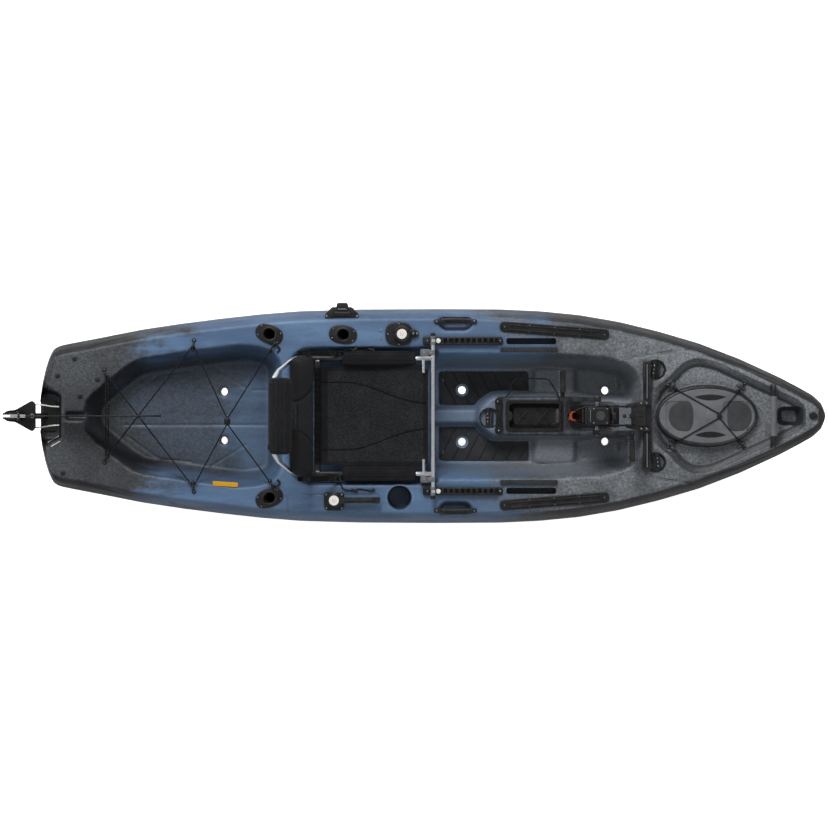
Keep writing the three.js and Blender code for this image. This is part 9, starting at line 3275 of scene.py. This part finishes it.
        self.hardware.screws(
            "rail_screws", "hull",
            [(self.rail_x, side * y, 0.3434) for side in (1, -1) for y in (0.2080, 0.0820)],
            0.9,
        )

    def _cranks(self) -> None:
        """Bolts on the crank's ends, and each pedal's frame with its cleats."""
        x, _, z = self.crank
        caps = Form("spindle_nuts")
        for side in (1, -1):
            caps.lathe(
                [(0.0088, 0.0782), (0.0088, 0.0805), (0.0070, 0.0825), (0.0035, 0.0828)],
                at(x, 0, z, 0, 0, -90 * side), 6,
            )
        dress(caps.object(), "crank", STEEL)
        collars = Form("spindle_collars")
        for side in (1, -1):
            collars.lathe(
                [(0.0118, 0.0490), (0.0122, 0.0500), (0.0122, 0.0585), (0.0112, 0.0596)],
                at(x, 0, z, 0, 0, -90 * side), 28,
            )
        dress(collars.object(), "crank", STEEL)
        for side, label in SIDES:
            lo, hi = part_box(f"{label}_pedal")
            cx, cz = (lo.x + hi.x) / 2, (lo.z + hi.z) / 2
            near, far = 0.0885, 0.1840
            cleats = Form(f"{label}_pedal_cleats")
            for face in (1, -1):
                for step in np.linspace(near, far, 9):
                    for dz in (-0.0290, 0.0290):
                        cleats.lathe(
                            [(0.0022, 0), (0.0018, 0.0016), (0.0009, 0.0019)],
                            at(cx + face * 0.0118, side * step, cz + dz, 0, 90 * face),
                            10,
                        )
            dress(cleats.object(), f"{label}_pedal_body", STEEL)


@dataclass
class Rudder:
    """Bolts of the stowed rudder and its bracket, and the cords beside the notch."""

    hardware: Hardware
    rise: float = 0.0012

    def build(self) -> None:
        """Builds the rudder's small parts."""
        self.hardware.screws(
            "yoke_bolts", "rudder_head", [(-1.7180, side * 0.0100, 0.4040) for side in (1, -1)], 0.6
        )
        self.hardware.screws(
            "bracket_screws", "hull",
            [
                (x, y, deck_height(x, y) + 0.0002)
                for x, y in ((-1.5600, -0.0420), (-1.5600, -0.0800), (-1.5600, 0.0800))
            ],
            1.1,
        )
        stripes = Form("notch_webbing")
        for a, b in (((-1.602, -0.108), (-1.562, -0.082)), ((-1.590, -0.126), (-1.552, -0.104))):
            za, zb = deck_height(*a) + self.rise, deck_height(*b) + self.rise
            mid = ((a[0] + b[0]) / 2, (a[1] + b[1]) / 2)
            over = max((za + zb) / 2, deck_height(*mid) + self.rise)
            stripes.tube([(*a, za), (*mid, over), (*b, zb)], 0.0019, 8)
        dress(stripes.object(), "hull", PALE)


@dataclass
class Bow:
    """The hatch lid's pads, lens slots and rim, the bow handle and the drain plug."""

    hardware: Hardware
    centre: float = 1.11618
    lid_top: float = 0.3528
    handle_x: float = 1.3861
    handle_z: float = 0.3985
    handle_half: float = 0.086

    def build(self) -> None:
        """Builds the bow's parts."""
        self._lid()
        self._handle()
        self._drain()

    def _lid(self) -> None:
        """The hatch lid's two pads, its curved recesses, its boss and its rim."""
        pads = Form("lid_pads")
        for shift, flip in ((-0.1075, -1), (0.1330, 1)):
            shape = squarish(0.0500, 0.0600, 2.6, 0.22 * flip)
            outline = [(self.centre + shift + px, py) for px, py in shape]
            pads.slab(outline, self.lid_top - 0.0005, self.lid_top + 0.0020, 0.0018)
        dress(pads.object(), "hatch", CHARCOAL)
        slots = Form("lid_recesses")
        for side in (1, -1):
            arc = [
                (self.centre + 0.013 + 0.066 * t, side * (0.0890 - 0.0100 * t * t))
                for t in np.linspace(-1, 1, 15)
            ]
            back = [
                (self.centre + 0.013 + 0.066 * t, side * (0.0640 + 0.0150 * t * t))
                for t in np.linspace(1, -1, 15)
            ]
            line = arc + back[1:-1]
            slots.slab(
                line[::-1] if side > 0 else line, self.lid_top - 0.0004, self.lid_top + 0.0007, 0.0003
            )
        dress(slots.object(), "hatch", BLACK)
        boss = Form("lid_boss")
        boss.lathe(
            [
                (0.019, self.lid_top - 0.0003), (0.018, self.lid_top + 0.0012),
                (0.006, self.lid_top + 0.0024),
                (0.0028, self.lid_top + 0.0024),
            ],
            at(self.centre + 0.011, 0.003, 0),
            36,
        )
        dress(boss.object(), "hatch", GREY)
        rim = Form("lid_rim")
        rim.hoop(
            [
                (0.0, 0.0), (0.0050, 0.0014), (0.0092, -0.0008), (0.0095, -0.0060), (0.0060, -0.0100),
                (-0.0004, -0.0070),
            ],
            0.1985, 0.1135,
            at(self.centre, 0, self.lid_top - 0.0022),
            96,
        )
        dress(rim.object(), "hatch", BLACK)

    def _handle(self) -> None:
        """The bow handle's ribbed grip and its two feet."""
        grip = Form("bow_grip")
        ends = np.linspace(-self.handle_half, self.handle_half, 17)
        grip.tube([(self.handle_x, y, self._grip_z(y)) for y in ends], 0.0125, 20)
        for y in np.linspace(-0.075, 0.075, 16):
            grip.lathe(
                [(0.0120, -0.0016), (0.0131, -0.0008), (0.0131, 0.0008), (0.0120, 0.0016)],
                at(self.handle_x, y, self._grip_z(y), 0, 0, 90),
                20,
            )
        dress(grip.object(), "hull", GREY)
        mounts = Form("bow_handle_feet")
        feet = []
        for side in (1, -1):
            mounts.slab(
                box_outline(0.0245, 0.024, 0.005, self.handle_x, side * 0.1180), 0.3640, 0.3760, 0.003
            )
            mounts.lathe(
                [(0.0134, -0.012), (0.0140, -0.009), (0.0140, 0.009), (0.0134, 0.012)],
                at(self.handle_x, side * 0.094, self.handle_z, 0, 0, 90),
                24,
            )
            feet.append((self.handle_x, side * 0.1240, 0.3760))
        dress(mounts.object(), "hull", BLACK)
        self.hardware.screws("bow_handle_screws", "hull", feet, 0.9)

    def _grip_z(self, y: float) -> float:
        """Gives the height of the grip's middle line."""
        return self.handle_z + 0.003 * math.cos(y / self.handle_half * math.pi / 2)

    def _drain(self) -> None:
        """The drain plug's cap with its slot bar."""
        lo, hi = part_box("drain_plug")
        plug = Form("drain_cap")
        cx, cy = (lo.x + hi.x) / 2, (lo.y + hi.y) / 2
        rings = []
        for radius, level in ((0.0150, -0.0150), (0.0153, -0.0040), (0.0138, -0.0015), (0.0115, -0.0012)):
            rings.append(raised(disc_outline(radius, radius, cx, cy), hi.z + level))
        plug.rings(rings)
        plug.slab(box_outline(0.0200, 0.0058, 0.0024), -0.002, 0.0002, 0.0012, at(cx, cy, hi.z, 45))
        dress(plug.object(), "drain", BLACK)


@dataclass
class NodeDresser:
    """Gives every CAD node that stays its finish."""

    finishes: dict[str, tuple[Finish, float]] = field(
        default_factory=lambda: {
            "port_gear_track": (BLACK, 0.001), "starboard_gear_track": (BLACK, 0.001),
            "port_notch_rail": (BLACK, 0.0012), "starboard_notch_rail": (BLACK, 0.0012),
            "front_cross_rail": (ANODISED, 0.001),
            "port_foot_mat": (FOAM, 0.001), "starboard_foot_mat": (FOAM, 0.001),
            "port_side_pad": (FOAM, 0.001), "starboard_side_pad": (FOAM, 0.001),
            "port_aft_rod_holder": (BLACK, 0.0015), "starboard_aft_rod_holder": (BLACK, 0.0015),
            "port_fwd_rod_holder": (BLACK, 0.0015), "paddle_clip": (BLACK, 0.002),
            "steering_base": (
                BLACK, 0.001
            ), "steering_lever": (BLACK, 0.002), "steering_lever_cap": (PALE, 0.001),
            "lift_base": (BLACK, 0.0015), "lift_dial": (BLACK, 0.0015), "lift_dial_cap": (PALE, 0.001),
            "well_tray": (BLACK, 0.001), "drive_dock": (BLACK, 0.0015), "drive_bracket": (ANODISED, 0.001),
            "rudder_bracket": (
                ANODISED, 0.001
            ), "rudder_pin": (STEEL, 0.0005), "rudder_yoke": (ANODISED, 0.001),
            "blade_bolt": (ANODISED, 0.0005), "rudder_blade": (BLACK, 0.001),
            "bow_handle": (BLACK, 0.002), "hatch_lid": (GREY, 0.0015), "hatch_seal": (FOAM, 0.0005),
            "drain_plug": (
                BLACK, 0.0008
            ), "port_carry_handle": (BLACK, 0.003), "starboard_carry_handle": (BLACK, 0.003),
            "seat_frame": (TUBE, 0.0005), "backrest_frame": (TUBE, 0.0005),
            "drive_hinge_pin": (STEEL, 0.0005), "drive_housing": (BLACK, 0.0025), "drive_cover": (
                CHARCOAL, 0.0025
            ),
            "drive_leg": (BLACK, 0.001), "release_handle": (
                ORANGE, 0.0015
            ), "crank_spindle": (STEEL, 0.0005),
            "crank_gear": (STEEL, 0.0003), "drive_shaft": (STEEL, 0.0003), "port_crank_arm": (
                ANODISED, 0.002
            ),
            "starboard_crank_arm": (
                ANODISED, 0.002
            ), "port_pedal": (BLACK, 0.0015), "starboard_pedal": (BLACK, 0.0015),
            "propeller": (BLACK, 0.0008),
            "seat_sling": (MESH, 0.001), "port_seat_bolster": (
                FABRIC, 0.001
            ), "starboard_seat_bolster": (FABRIC, 0.001),
            "backrest_pad": (FABRIC, 0.001), "head_roll": (FABRIC, 0.001), "port_seat_strap": (
                WEBBING, 0.0004
            ),
            "starboard_seat_strap": (
                WEBBING, 0.0004
            ), "tankwell_bungee": (CORD, 0.0003), "bow_bungee": (CORD, 0.0003),
            "port_steering_cable": (CORD, 0.0003), "starboard_steering_cable": (CORD, 0.0003),
        }
    )

    def build(self) -> None:
        """Dresses each node that no piece stands for."""
        for name, (finish, edge) in self.finishes.items():
            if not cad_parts[name].hide_render:
                keep_node(name, finish, edge)
                log.info("%s keeps its CAD shape", name)


def main() -> None:
    """Builds the kayak's pieces in order."""
    logging.basicConfig(level=logging.INFO, format="%(name)s: %(message)s")
    hardware = Hardware()
    HullShell().build()
    Lashing(hardware).build()
    Seat(hardware).build()
    DeckFittings(hardware).build()
    Controls(hardware).build()
    Console(hardware).build()
    Drive(hardware).build()
    Rudder(hardware).build()
    Bow(hardware).build()
    NodeDresser().build()
    hardware.clear()
    Studio().build()


if __name__ == "__main__":
    main()
